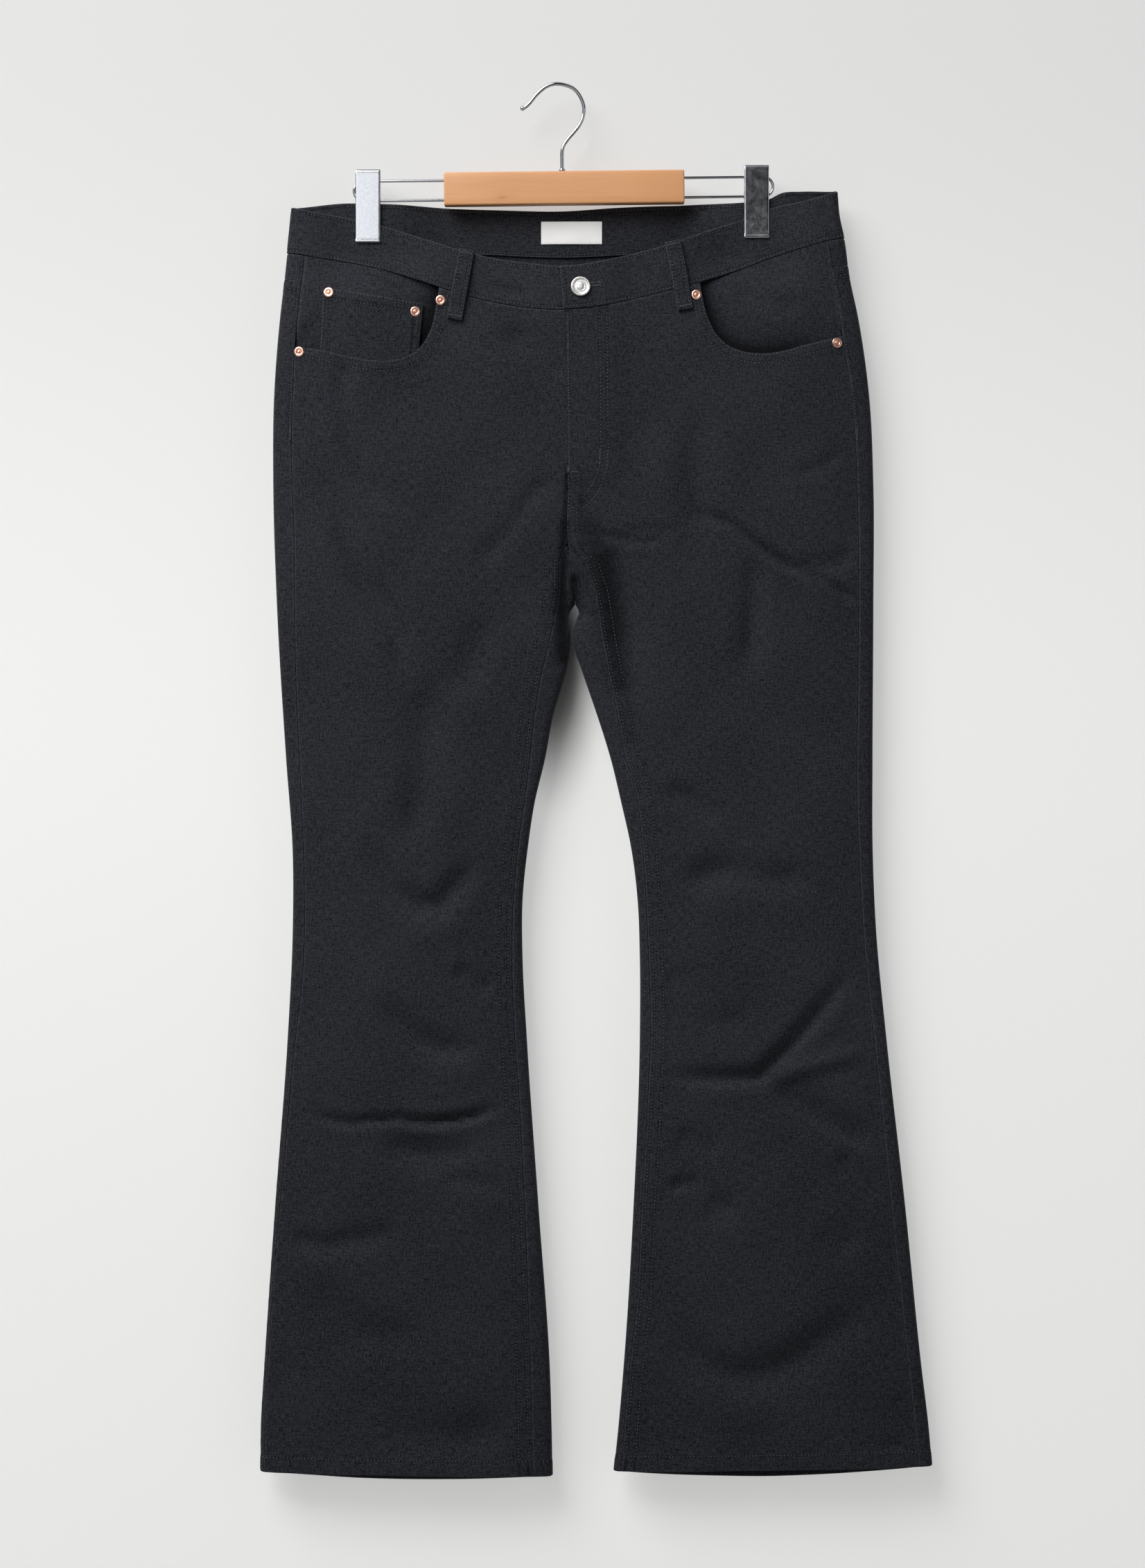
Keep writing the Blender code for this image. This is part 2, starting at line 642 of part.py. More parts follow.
def add_wall(name, outer, inner, quads, finish):
    """A closed wall between two sheets of points that share their quads."""
    count = len(outer)
    edges = {}
    for quad in quads:
        for start, end in zip(quad, quad[1:] + quad[:1]):
            edges[start, end] = edges.get((start, end), 0) + 1
    rim = [(a, b) for a, b in edges if (b, a) not in edges]
    faces = [tuple(quad) for quad in quads]
    faces += [tuple(count + i for i in reversed(quad)) for quad in quads]
    faces += [(b, a, a + count, b + count) for a, b in rim]
    return add_mesh(name, np.concatenate([outer, inner]), faces, finish)


def grid_quads(columns, rows):
    """Quads of a grid whose points run along each row."""
    return [
        [r * columns + c, r * columns + c + 1, (r + 1) * columns + c + 1, (r + 1) * columns + c]
        for r in range(rows - 1)
        for c in range(columns - 1)
    ]


def add_layer(name, x, z, side, face, outside, thickness, finish):
    """A wall from grids of places, its outer face moved out from the garment's surface."""
    rows, columns = np.shape(x)
    outer = cloth(x, z, side, face, outside).reshape(-1, 3)
    inner = cloth(x, z, side, face, np.asarray(outside) - thickness).reshape(-1, 3)
    return add_wall(name, outer, inner, grid_quads(columns, rows), finish)


def add_turned(name, profile, place, normal, finish, segments):
    """A closed round piece from a profile of (radius, height), seated on a place along its normal."""
    turn = Vector((0, 0, 1)).rotation_difference(Vector(normal)).to_matrix()
    rings = []
    for radius, height in profile:
        for i in range(segments):
            angle = 2 * math.pi * i / segments
            rings.append(turn @ Vector((radius * math.cos(angle), radius * math.sin(angle), height)))
    faces = [tuple(reversed(range(segments)))]
    for ring in range(len(profile) - 1):
        first, above = ring * segments, (ring + 1) * segments
        for i in range(segments):
            j = (i + 1) % segments
            faces.append((first + i, first + j, above + j, above + i))
    faces.append(tuple(range(len(rings) - segments, len(rings))))
    return add_mesh(name, [Vector(place) + point for point in rings], faces, finish)


# ---------------------------------------------------------------- panels


def front_lift(x, z, side, face):
    """The left front lies on the right one along the fly, and the hem is proud all round."""
    fly = (1 - ease((x - FLY_FLAT) / FLY_RAMP)) * ease((z - FLY_SHUT_Z) / (FLY_LAP_Z - FLY_SHUT_Z))
    lift = FLY_LIFT * fly if side == LEFT else 0 * x
    return lift + HEM_PROUD * hem_step(z, x, side, face)


def panel_wall(x, z, side, face):
    return WALL + (HEM_WALL - WALL) * hem_step(z, x, side, face)


def front_inner_line(z, side):
    """x of a front panel's inner edge: the rise seam, then the inseam."""
    line = np.where(z > JUNCTION_Z, RISE_FRONT(z), INSEAM[side](np.minimum(z, JUNCTION_Z)))
    open_above = ease((z - FLY_UNDER_Z) / (FLY_OPEN_Z - FLY_UNDER_Z))
    under = FLY_UNDERLAP * open_above if side == RIGHT else 0
    return line + side * SEAM_GAP / 2 + under


def front_across(x, z, side):
    """Places across a front panel as fractions of its width at their heights."""
    start, end = front_inner_line(z, side), OUTSEAM[side](z) - side * SEAM_GAP / 2
    return (x - start) / (end - start)


def front_fractions(side):
    """A front panel's columns, as fractions of its width: at its top edge, and lower down."""
    mouth = POCKET_MOUTHS[side]
    waist = [front_across(x, WAIST_SEAM[FRONT](x), side) for x in FRONT_COLUMNS[side] + [mouth[0].x]]
    pocket = [front_across(m.x, np.array(m.z), side) for m in mouth[1:-1]]
    above = np.array([0.0, *waist, *pocket, 1.0], float)
    return above, np.linspace(0, 1, len(above))


def settle(line, start, place):
    """Heights at which columns of points meet a line, for columns that lean."""
    z = np.array(start, float)
    for _ in range(8):
        z = line(*place(z))
    return z


def add_front_panel(side, name):
    above, even = front_fractions(side)
    mouth = POCKET_MOUTHS[side]
    mouth_line = column_curve(mouth, "x", "z")

    def across(column, z):
        spread = ease((EVEN_FROM_Z - z) / EVEN_OVER)
        fraction = above[column] * (1 - spread) + even[column] * spread
        outer = OUTSEAM[side](z) - side * SEAM_GAP / 2
        inner = front_inner_line(z, side)
        return inner + (outer - inner) * fraction

    columns = np.arange(len(above))
    on_waist = columns <= len(FRONT_COLUMNS[side]) + 1

    def top_line(x):
        return np.where(on_waist, WAIST_SEAM[FRONT](x) - WAIST_GAP, mouth_line(x))

    top = settle(top_line, np.full(len(columns), START_Z), lambda z: (across(columns, z),))
    rows = [top + (SEAT_Z - top) * i / TOP_ROWS for i in range(TOP_ROWS + 1)]
    heights = SEAT_ROWS + CROTCH_ROWS + [CROTCH_Z] + LEG_ROWS
    rows += [np.full(len(columns), float(h)) for h in heights]
    hem = hem_height(across(columns, np.full(len(columns), HEMS[side].outer)), side, FRONT)
    rows += [hem + height for height in HEM_ROWS]
    z = np.array(rows)
    x = np.array([across(columns, row) for row in rows])
    lift = front_lift(x, z, side, FRONT)
    outer = cloth(x, z, side, FRONT, lift).reshape(-1, 3)
    inner = cloth(x, z, side, FRONT, lift - panel_wall(x, z, side, FRONT)).reshape(-1, 3)
    return add_wall(name, outer, inner, grid_quads(len(columns), len(rows)), DENIM)


def back_arcs(z, side):
    """Arcs of a back panel's columns at one height, from the outseam round to its inner seam."""
    outseam = arc_from_fold(side * (OUTER[side](z) - OUTSEAM[side](z))) - SEAM_GAP / 2
    if z < CROTCH_Z:
        span = float(leg_span(z, side))
        inseam = arc_from_fold(side * (INSEAM[side](z) - INNER[side](z))) - SEAM_GAP / 2
        marks = [outseam, 0, -QUARTER, QUARTER - span, -span, -span - inseam]
    else:
        inner = arc_from_fold(side * (OUTER[side](z) - RISE_BACK(z))) - SEAM_GAP / 2
        marks = [outseam, 0, -QUARTER, FOLD_RADIUS - inner, -inner]
    arcs = [float(marks[0])]
    for start, end, count in zip(marks, marks[1:], BACK_COLUMNS):
        arcs += [float(start + (end - start) * (i + 1) / count) for i in range(count)]
    return np.array(arcs)


def back_row(z_of_column, side):
    """x and wall of each column of a row whose height may change along it."""
    x, face = [], []
    for column, z in enumerate(z_of_column):
        arc = back_arcs(z, side)[column]
        place, wall = wrap(arc, z, side)
        x.append(float(place))
        face.append(float(wall))
    return np.array(x), np.array(face)


def add_back_panel(side, name):
    """The back panel, which comes round both folds on to the front of the leg.

    Above the crotch it has a second part, the small gore in front between the rise seam and the inseam.
    """
    seat_columns = sum(BACK_COLUMNS[:4]) + 1
    leg_columns = sum(BACK_COLUMNS) + 1
    yoke = yoke_heights(side) - SEAM_GAP / 2
    seat_rows = [yoke + (SEAT_Z - yoke) * i / TOP_ROWS for i in range(TOP_ROWS + 1)]
    seat_rows += [np.full(seat_columns, float(h)) for h in SEAT_ROWS + CROTCH_ROWS]
    leg_rows = [np.full(leg_columns, float(h)) for h in [CROTCH_Z] + LEG_ROWS]
    x_hem, face_hem = back_row([HEMS[side].outer] * leg_columns, side)
    hem = hem_height(x_hem, side, face_hem)
    leg_rows += [hem + height for height in HEM_ROWS]

    x, z, face, index = [], [], [], {}

    def add_row(part, row, columns, heights, places, walls):
        for column, height, place, wall in zip(columns, heights, places, walls):
            index[part, row, column] = len(x)
            x.append(place)
            z.append(height)
            face.append(wall)

    for row, heights in enumerate(seat_rows):
        places, walls = back_row(heights, side)
        add_row("seat", row, range(seat_columns), heights, places, walls)
    for row, heights in enumerate(leg_rows):
        if row == 0:
            arcs = back_arcs(CROTCH_Z, side)
            places, walls = wrap(arcs, np.full(seat_columns, CROTCH_Z), side)
            inseam = float(INSEAM[side](CROTCH_Z)) - side * SEAM_GAP / 2
            gore = np.linspace(places[-1], inseam, BACK_COLUMNS[4] + 1)[1:]
            places = np.concatenate([places, gore])
            walls = np.concatenate([walls, np.full(BACK_COLUMNS[4], float(FRONT))])
        else:
            places, walls = back_row(heights, side)
        add_row("leg", row, range(leg_columns), heights, places, walls)
    gore_rows = [h for h in CROTCH_ROWS if h < GORE_TOPS[side]]
    gore_columns = range(seat_columns - 1, leg_columns)
    for row, height in enumerate(gore_rows):
        rise = float(RISE_FRONT(height)) + side * SEAM_GAP / 2
        inseam = float(INSEAM[side](height)) - side * SEAM_GAP / 2
        places = np.linspace(rise, inseam, len(gore_columns))
        add_row("gore", row, gore_columns, [height] * len(gore_columns), places, [FRONT] * len(gore_columns))

    quads = []

    def join(upper, lower, columns):
        for column in list(columns)[:-1]:
            quads.append(
                [
                    index[upper + (column,)],
                    index[upper + (column + 1,)],
                    index[lower + (column + 1,)],
                    index[lower + (column,)],
                ]
            )

    for row in range(len(seat_rows) - 1):
        join(("seat", row), ("seat", row + 1), range(seat_columns))
    join(("seat", len(seat_rows) - 1), ("leg", 0), range(seat_columns))
    for row in range(len(leg_rows) - 1):
        join(("leg", row), ("leg", row + 1), range(leg_columns))
    for row in range(len(gore_rows) - 1):
        join(("gore", row), ("gore", row + 1), gore_columns)
    join(("gore", len(gore_rows) - 1), ("leg", 0), gore_columns)

    x, z, face = np.array(x), np.array(z), np.array(face)
    lift = HEM_PROUD * hem_step(z, x, side, face)
    outer = cloth(x, z, side, face, lift)
    inner = cloth(x, z, side, face, lift - panel_wall(x, z, side, face))
    return add_wall(name, outer, inner, quads, DENIM)


def yoke_heights(side):
    """Heights at which the back's columns meet the yoke seam."""
    start = np.full(sum(BACK_COLUMNS[:4]) + 1, START_Z)
    return settle(lambda x, face: YOKE_LINE(x), start, lambda z: back_row(z, side))


def add_yoke(side, name):
    x, z, face = [], [], []
    bottom = yoke_heights(side) + SEAM_GAP / 2

    def waist(x, face):
        return by_face(WAIST_SEAM, x, face) - WAIST_GAP

    top = settle(waist, np.full(len(bottom), START_Z), lambda z: back_row(z, side))
    for i in range(YOKE_ROWS):
        heights = top + (bottom - top) * i / (YOKE_ROWS - 1)
        places, walls = back_row(heights, side)
        x.append(places)
        z.append(heights)
        face.append(walls)
    return add_layer(name, np.array(x), np.array(z), side, np.array(face), 0.0, WALL, DENIM)


# ---------------------------------------------------------------- waistband and what is on it


def waist_lift(x, side, face):
    """The buttoned end lies on the underlap."""
    raised = (WAISTBAND_WALL + LAYER_GAP) * (1 - ease((x - LAP_FLAT) / LAP_RAMP))
    return WAISTBAND_PROUD + np.where((side == LEFT) & (face == FRONT), raised, 0)


def waist_arcs(end, z, side, count):
    """Arcs along one wall of the waistband, from its end at this height to the fold."""
    whole = float(arc_from_fold(side * (OUTER[side](z) - end(z))))
    return np.concatenate([np.linspace(whole, QUARTER, count), [QUARTER / 2, 0.0]])


def lap_end(z):
    return LAP_END - LAP_LEAN * (z - LAP_MIDDLE_Z)


def add_waistband():
    """One strip all round, from its buttoned end in front to the underlap beneath it."""
    stations = []
    for side, end, wall, count in (
        (LEFT, lap_end, FRONT, 17),
        (LEFT, lambda z: MIDDLE_BACK_X, BACK, 15),
        (RIGHT, lambda z: MIDDLE_BACK_X, BACK, 15),
        (RIGHT, lambda z: UNDERLAP_END, FRONT, 18),
    ):
        number = len(waist_arcs(end, START_Z, side, count))
        order = range(number) if (side, wall) in ((LEFT, FRONT), (RIGHT, BACK)) else reversed(range(number))
        run = [(side, end, wall, count, i) for i in order]
        stations += run if not stations else run[1:]
    x, z, sides, faces = (np.zeros((WAISTBAND_ROWS, len(stations))) for _ in range(4))
    for column, (side, end, wall, count, i) in enumerate(stations):

        def across(height):
            arc = waist_arcs(end, height, side, count)[i]
            return (OUTER[side](height) - side * distance_from_fold(arc),)

        top = settle(WAIST_TOP[wall], START_Z, across)
        seam = settle(WAIST_SEAM[wall], START_Z, across)
        for row in range(WAISTBAND_ROWS):
            height = float(top + (seam - top) * row / (WAISTBAND_ROWS - 1))
            x[row, column] = across(height)[0]
            z[row, column] = height
            sides[row, column], faces[row, column] = side, wall
    return add_layer(
        "waistband", x, z, sides, faces, waist_lift(x, sides, faces), WAISTBAND_WALL, DENIM
    )


def add_belt_loop(loop):
    along, across = np.meshgrid(np.linspace(0, 1, 9), [-0.5, 0, 0.5], indexing="ij")
    run, drop = loop.bottom_x - loop.top_x, loop.bottom_z - loop.top_z
    x = loop.top_x + run * along + across * LOOP_WIDTH
    z = loop.top_z + drop * along - across * LOOP_WIDTH * run / drop
    side = np.where(x < CROTCH_X, RIGHT, LEFT)
    outside = LOOP_CLEARANCE(along) + LOOP_WALL
    return add_layer(loop.name, x, z, side, loop.face, outside, LOOP_WALL, DENIM)


def add_label():
    """A bare woven label, flat on the inside of the back waistband."""
    z, x = np.meshgrid(
        LABEL_Z + LABEL_HEIGHT * np.linspace(0.5, -0.5, 3),
        LABEL_X + LABEL_WIDTH * np.linspace(-0.5, 0.5, 7),
        indexing="ij",
    )
    behind = WAISTBAND_WALL - WAISTBAND_PROUD + SEAM_GAP
    return add_layer("label", x, z, LEFT, BACK, -behind, LABEL_WALL, LABEL_CLOTH)


# ---------------------------------------------------------------- pockets


def mouth_distance(x, z, side):
    """How far a point lies from the pocket's mouth; negative under the front panel."""
    mouth = POCKET_MOUTHS[side]
    best = np.full(np.shape(x), np.inf)
    for a, b in zip(mouth, mouth[1:]):
        run, drop = b.x - a.x, b.z - a.z
        t = np.clip(((x - a.x) * run + (z - a.z) * drop) / (run**2 + drop**2), 0, 1)
        best = np.minimum(best, np.hypot(x - a.x - t * run, z - a.z - t * drop))
    under = (side * x < side * mouth[0].x) | (z < column_curve(mouth, "x", "z")(x))
    return np.where(under, -best, best)


def facing_drop(x, z, side):
    """How far a facing lies below the panels' surface: wholly at the mouth, and level with it higher up."""
    from_seam = side * (OUTSEAM[side](z) - x)
    reach = SEAM_EASE + (MOUTH_EASE - SEAM_EASE) * ease(from_seam / SEAM_EASE_WIDTH)
    return FACING_DROP[side] * (1 - ease(mouth_distance(x, z, side) / reach))


def tucked_mouth(side):
    """The mouth's line moved under the front panel."""
    mouth = np.array(POCKET_MOUTHS[side])
    way = np.gradient(mouth, axis=0)
    way /= np.linalg.norm(way, axis=1, keepdims=True)
    under = np.stack([side * way[:, 1], -side * way[:, 0]], axis=1)
    tucked = mouth + MOUTH_TUCK * under
    outseam = OUTSEAM[side](tucked[-1, 1]) - side * SEAM_GAP
    tucked[-1, 0] = outseam
    return tucked


def add_pocket_facing(side, name):
    """The hip piece that shows inside the pocket's mouth and runs on beneath it."""
    tucked = tucked_mouth(side)
    top_end = OUTSEAM[side](FACING_TOP_Z) - side * SEAM_GAP
    top_x = np.linspace(tucked[0, 0], top_end, len(tucked))
    top_z = WAIST_SEAM[FRONT](top_x) - WAIST_GAP
    tucked[0, 1] = min(tucked[0, 1], top_z[0] - FACING_TOP_DROP)
    share = np.linspace(0, 1, FACING_ROWS)[:, None]
    x = top_x + (tucked[:, 0] - top_x) * share
    z = top_z + (tucked[:, 1] - top_z) * share
    x[:, -1] = OUTSEAM[side](z[:, -1]) - side * SEAM_GAP
    return add_layer(name, x, z, side, FRONT, -facing_drop(x, z, side), WALL, FACING_DENIM)


def coin_grid():
    line = column_curve(POCKET_MOUTHS[RIGHT], "x", "z")
    share = np.linspace(0, 1, 9)
    top_x = COIN_TOP[0].x + (COIN_TOP[1].x - COIN_TOP[0].x) * share
    top_z = COIN_TOP[0].z + (COIN_TOP[1].z - COIN_TOP[0].z) * share
    foot_x = COIN_SIDES_AT_MOUTH[0] + (COIN_SIDES_AT_MOUTH[1] - COIN_SIDES_AT_MOUTH[0]) * share
    foot_z = line(foot_x) - COIN_TUCK
    down = np.linspace(0, 1, 7)[:, None]
    return top_x + (foot_x - top_x) * down, top_z + (foot_z - top_z) * down


def coin_lift(x, z):
    """How far out the coin pocket's face lies, on the facing."""
    return LAYER_GAP + COIN_WALL - facing_drop(x, z, RIGHT)


def add_coin_pocket():
    x, z = coin_grid()
    return add_layer("coin_pocket", x, z, RIGHT, FRONT, coin_lift(x, z), COIN_WALL, DENIM)


def add_back_pocket(side, name):
    place = BACK_POCKETS[side]
    share = np.linspace(-0.5, 0.5, 9)
    rows = []
    for down in np.linspace(0, 1, 6):
        width = BACK_POCKET_WIDTH + (BACK_POCKET_FOOT - BACK_POCKET_WIDTH) * down
        depth = BACK_POCKET_SIDE + (BACK_POCKET_POINT - BACK_POCKET_SIDE) * (1 - np.abs(2 * share))
        rows.append(np.stack([share * width, -depth * down], axis=1))
    flat = np.array(rows)
    tilt = math.radians(place.tilt)
    x = place.x + flat[..., 0] * math.cos(tilt) - flat[..., 1] * math.sin(tilt)
    z = place.z + flat[..., 0] * math.sin(tilt) + flat[..., 1] * math.cos(tilt)
    outside = LAYER_GAP + BACK_POCKET_WALL
    return add_layer(name, x, z, side, BACK, outside, BACK_POCKET_WALL, DENIM)


# ---------------------------------------------------------------- metal on the cloth


def seat_on(place, side, lift, reach):
    """A point just clear of the cloth at a place on the front wall, and the way out from it.

    lift gives how far out the cloth there lies, and reach is the radius of the piece that sits on it.
    """

    def at(along, up):
        x, z = np.array(place.x + along), np.array(place.z + up)
        return cloth(x, z, side, FRONT, lift(x, z))

    way = np.cross(at(reach, 0) - at(-reach, 0), at(0, reach) - at(0, -reach))
    way /= np.linalg.norm(way)
    return at(0, 0) + way * SEAM_GAP, way


def add_rivets():
    for number, rivet in enumerate(RIVETS, 1):
        side = RIGHT if rivet.x < CROTCH_X else LEFT
        on_coin = side == RIGHT and mouth_distance(np.array(rivet.x), np.array(rivet.z), side) > 0
        lift = coin_lift if on_coin else lambda x, z: 0.0
        place, way = seat_on(rivet, side, lift, RIVET_PROFILE[0][0])
        add_turned(f"rivet_{number}", RIVET_PROFILE, place, way, COPPER, RIVET_SIDES)


def add_button():
    place, way = seat_on(BUTTON_PLACE, LEFT, lambda x, z: waist_lift(x, LEFT, FRONT), BUTTON_PROFILE[0][0])
    add_turned("button", BUTTON_PROFILE, place, way, NICKEL, BUTTON_SIDES)


# ---------------------------------------------------------------- hanger


def tilted(made):
    """The hanger hangs a little to one side, turned about the rail in its hook."""
    made.matrix_world = Matrix.Rotation(-BAR_TILT, 4, "Y") @ made.matrix_world
    return made


def add_tube(name, points, radius, radii, finish):
    """A wire along points in the hanger's plane."""
    curve = bpy.data.curves.new(name, "CURVE")
    curve.dimensions = "3D"
    curve.bevel_depth = radius * MM
    curve.bevel_resolution = TUBE_RESOLUTION
    curve.use_fill_caps = True
    spline = curve.splines.new("POLY")
    spline.points.add(len(points) - 1)
    for i, (x, z) in enumerate(points):
        spline.points[i].co = (x * MM, 0, z * MM, 1)
        spline.points[i].radius = radii[i]
    return add_object(name, curve, finish)


def add_hook():
    """The hook's wire, with a ball on its tip and a collar where it enters the bar."""
    steps = np.arange(len(HOOK_POINTS))
    fine = np.linspace(0, len(HOOK_POINTS) - 1, HOOK_STEPS)
    x = smooth_curve(steps, [p[0] for p in HOOK_POINTS])(fine)
    z = smooth_curve(steps, [p[1] for p in HOOK_POINTS])(fine)
    tip = np.array(HOOK_POINTS[0])
    away = np.hypot(x - tip[0], z - tip[1])
    line = [(a, b) for a, b, far in zip(x, z, away) if far > HOOK_BALL_RADIUS]
    radii = [1.0] * len(line)
    way = (np.array(HOOK_POINTS[1]) - tip) / np.linalg.norm(np.array(HOOK_POINTS[1]) - tip)
    for angle in np.radians(BALL_ANGLES):
        centre = tip + way * HOOK_BALL_RADIUS * math.cos(angle)
        line.insert(0, tuple(centre))
        radii.insert(0, HOOK_BALL_RADIUS * math.sin(angle) / (HOOK_WIRE / 2))
    bar_top = BAR_CENTRE_Z + BAR_HEIGHT / 2
    foot_x = line[-1][0]
    line = [p for p in line if p[1] > bar_top + COLLAR_CLEAR]
    radii = radii[: len(line)]
    for ring in COLLAR:
        line.append((foot_x, bar_top + ring.height))
        radii.append(ring.radius / (HOOK_WIRE / 2))
    tilted(add_tube("hanger_hook", line, HOOK_WIRE / 2, radii, CHROME))


def add_bar():
    """The wooden bar, drilled at both ends for the wires."""
    mesh = bpy.data.meshes.new("hanger_bar")
    shape = bmesh.new()
    bmesh.ops.create_cube(shape, size=1)
    bmesh.ops.scale(shape, vec=Vector((BAR_LENGTH, BAR_THICKNESS, BAR_HEIGHT)) * MM, verts=shape.verts)
    bmesh.ops.translate(shape, vec=Vector((BAR_CENTRE_X, 0, BAR_CENTRE_Z)) * MM, verts=shape.verts)
    shape.to_mesh(mesh)
    shape.free()
    bar = add_object("hanger_bar", mesh, WOOD)
    rounded = bar.modifiers.new("rounded edges", "BEVEL")
    rounded.width = BAR_ROUND * MM
    rounded.segments = 2
    for side in (RIGHT, LEFT):
        for up in (-1, 1):
            place = (
                BAR_CENTRE_X + side * (BAR_LENGTH / 2 - WIRE_SINK / 2 + DRILL_MARGIN),
                0,
                WIRE_CENTRE_Z + up * WIRE_SPACING / 2,
            )
            drill = bpy.data.meshes.new("drill")
            cutter = bmesh.new()
            bmesh.ops.create_cone(
                cutter,
                cap_ends=True,
                segments=12,
                radius1=(WIRE / 2 + SEAM_GAP) * MM,
                radius2=(WIRE / 2 + SEAM_GAP) * MM,
                depth=(WIRE_SINK + 2 * DRILL_MARGIN) * MM,
                matrix=Matrix.Translation(Vector(place) * MM) @ Matrix.Rotation(math.pi / 2, 4, "Y"),
            )
            cutter.to_mesh(drill)
            cutter.free()
            tool = bpy.data.objects.new("drill", drill)
            tool.hide_render = True
            tool.display_type = "WIRE"
            bpy.context.scene.collection.objects.link(tool)
            hole = bar.modifiers.new("wire hole", "BOOLEAN")
            hole.object = tool
            tilted(tool)
    tilted(bar)


def add_wire(side, name):
    """One wire out along the top, round the end and back into the bar."""
    radius = WIRE_SPACING / 2
    turn = WIRE_REACH[side] - side * (radius + WIRE / 2)
    start = BAR_CENTRE_X + side * (BAR_LENGTH / 2 - WIRE_SINK + LAYER_GAP)
    points = [(start, WIRE_CENTRE_Z + radius)]
    for angle in np.linspace(math.pi / 2, -math.pi / 2, 9):
        points.append((turn + side * radius * math.cos(angle), WIRE_CENTRE_Z + radius * math.sin(angle)))
    points.append((start, WIRE_CENTRE_Z - radius))
    tilted(add_tube(name, points, WIRE / 2, [1.0] * len(points), CHROME))


def add_clip(side):
    """Two sprung plates on a pin that rests on the lower wire; their lips grip the waistband."""
    name = {RIGHT: "right", LEFT: "left"}[side]
    drop = CLIP_X[side] * math.sin(BAR_TILT)
    top = CLIP_TOP_Z + drop
    bottom = top - CLIP_HEIGHT
    plate = GRIPPED + WAISTBAND_PROUD + SEAM_GAP
    half = CLIP_WIDTH / 2
    bare, flanged = plate - CLIP_BARE_FLANGE, WIRE / 2 + SEAM_GAP
    Level = namedtuple("Level", "z flange lip")
    levels = [
        Level(top, plate - CLIP_HEAD_FLANGE, 0.0),
        Level(top - CLIP_HEAD, flanged, 0.0),
        Level(top - CLIP_FLANGE_END, flanged, 0.0),
        Level(top - CLIP_FLANGE_RUNOUT, bare, 0.0),
        Level(bottom + CLIP_LIP, bare, 0.0),
        Level(bottom + CLIP_LIP_BEND, bare, CLIP_LIP_OUT),
        Level(bottom, bare, CLIP_LIP_FOOT),
    ]
    for face, place in ((FRONT, "front"), (BACK, "back")):
        points = []
        for row in levels:
            out = plate + CLIP_SHEET + row.lip
            for x, y in (
                (-half, out),
                (-half, row.flange),
                (-half + CLIP_SHEET, row.flange),
                (-half + CLIP_SHEET, plate),
                (half - CLIP_SHEET, plate),
                (half - CLIP_SHEET, row.flange),
                (half, row.flange),
                (half, out),
            ):
                points.append((CLIP_X[side] + x, face * y, row.z))
        count = len(points) // len(levels)
        faces = [tuple(range(count)), tuple(reversed(range(len(points) - count, len(points))))]
        for row in range(len(levels) - 1):
            for i in range(count):
                j = (i + 1) % count
                faces.append((row * count + i, row * count + j, (row + 1) * count + j, (row + 1) * count + i))
        add_mesh(f"clip_{name}_{place}", points, faces, CHROME)
    pin_z = WIRE_CENTRE_Z - WIRE_SPACING / 2 + WIRE / 2 + LAYER_GAP + CLIP_PIN_RADIUS + drop
    start = (CLIP_X[side] - side * CLIP_PIN_OFF - CLIP_PIN_LENGTH / 2, 0, pin_z)
    profile = [(CLIP_PIN_RADIUS, 0.0), (CLIP_PIN_RADIUS, CLIP_PIN_LENGTH)]
    add_turned(f"clip_{name}_pin", profile, start, (1, 0, 0), CHROME, PIN_SIDES)


# ---------------------------------------------------------------- the whole


def main():
    for old in list(bpy.data.objects):
        bpy.data.objects.remove(old, do_unlink=True)
    for side, name in ((RIGHT, "right"), (LEFT, "left")):
        add_front_panel(side, f"front_panel_{name}")
        add_back_panel(side, f"back_panel_{name}")
        add_yoke(side, f"yoke_{name}")
        add_pocket_facing(side, f"pocket_facing_{name}")
        add_back_pocket(side, f"back_pocket_{name}")
        add_wire(side, f"hanger_wire_{name}")
        add_clip(side)
    add_coin_pocket()
    add_waistband()
    for loop in BELT_LOOPS:
        add_belt_loop(loop)
    add_label()
    add_rivets()
    add_button()
    add_bar()
    add_hook()


main()
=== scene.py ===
"""Bootcut jeans on a clip hanger: their cloth, sewing, metal and wood, and the room they hang in.

Sizes are in millimetres and become metres when a mesh is made. +X is the wearer's left, the front faces
-Y and +Z is up; the origin is the inside of the hook's bend. Each piece of cloth is a thin closed shell on
the garment's one surface: a place across (x), a height (z) and a wall, lifted out along the normal.
"""

import logging
import math
from collections.abc import Callable, Iterable, Sequence
from dataclasses import dataclass, field
from enum import Enum, IntEnum
from typing import Any, NamedTuple

import bmesh
import bpy
import numpy as np
from mathutils import Matrix, Vector

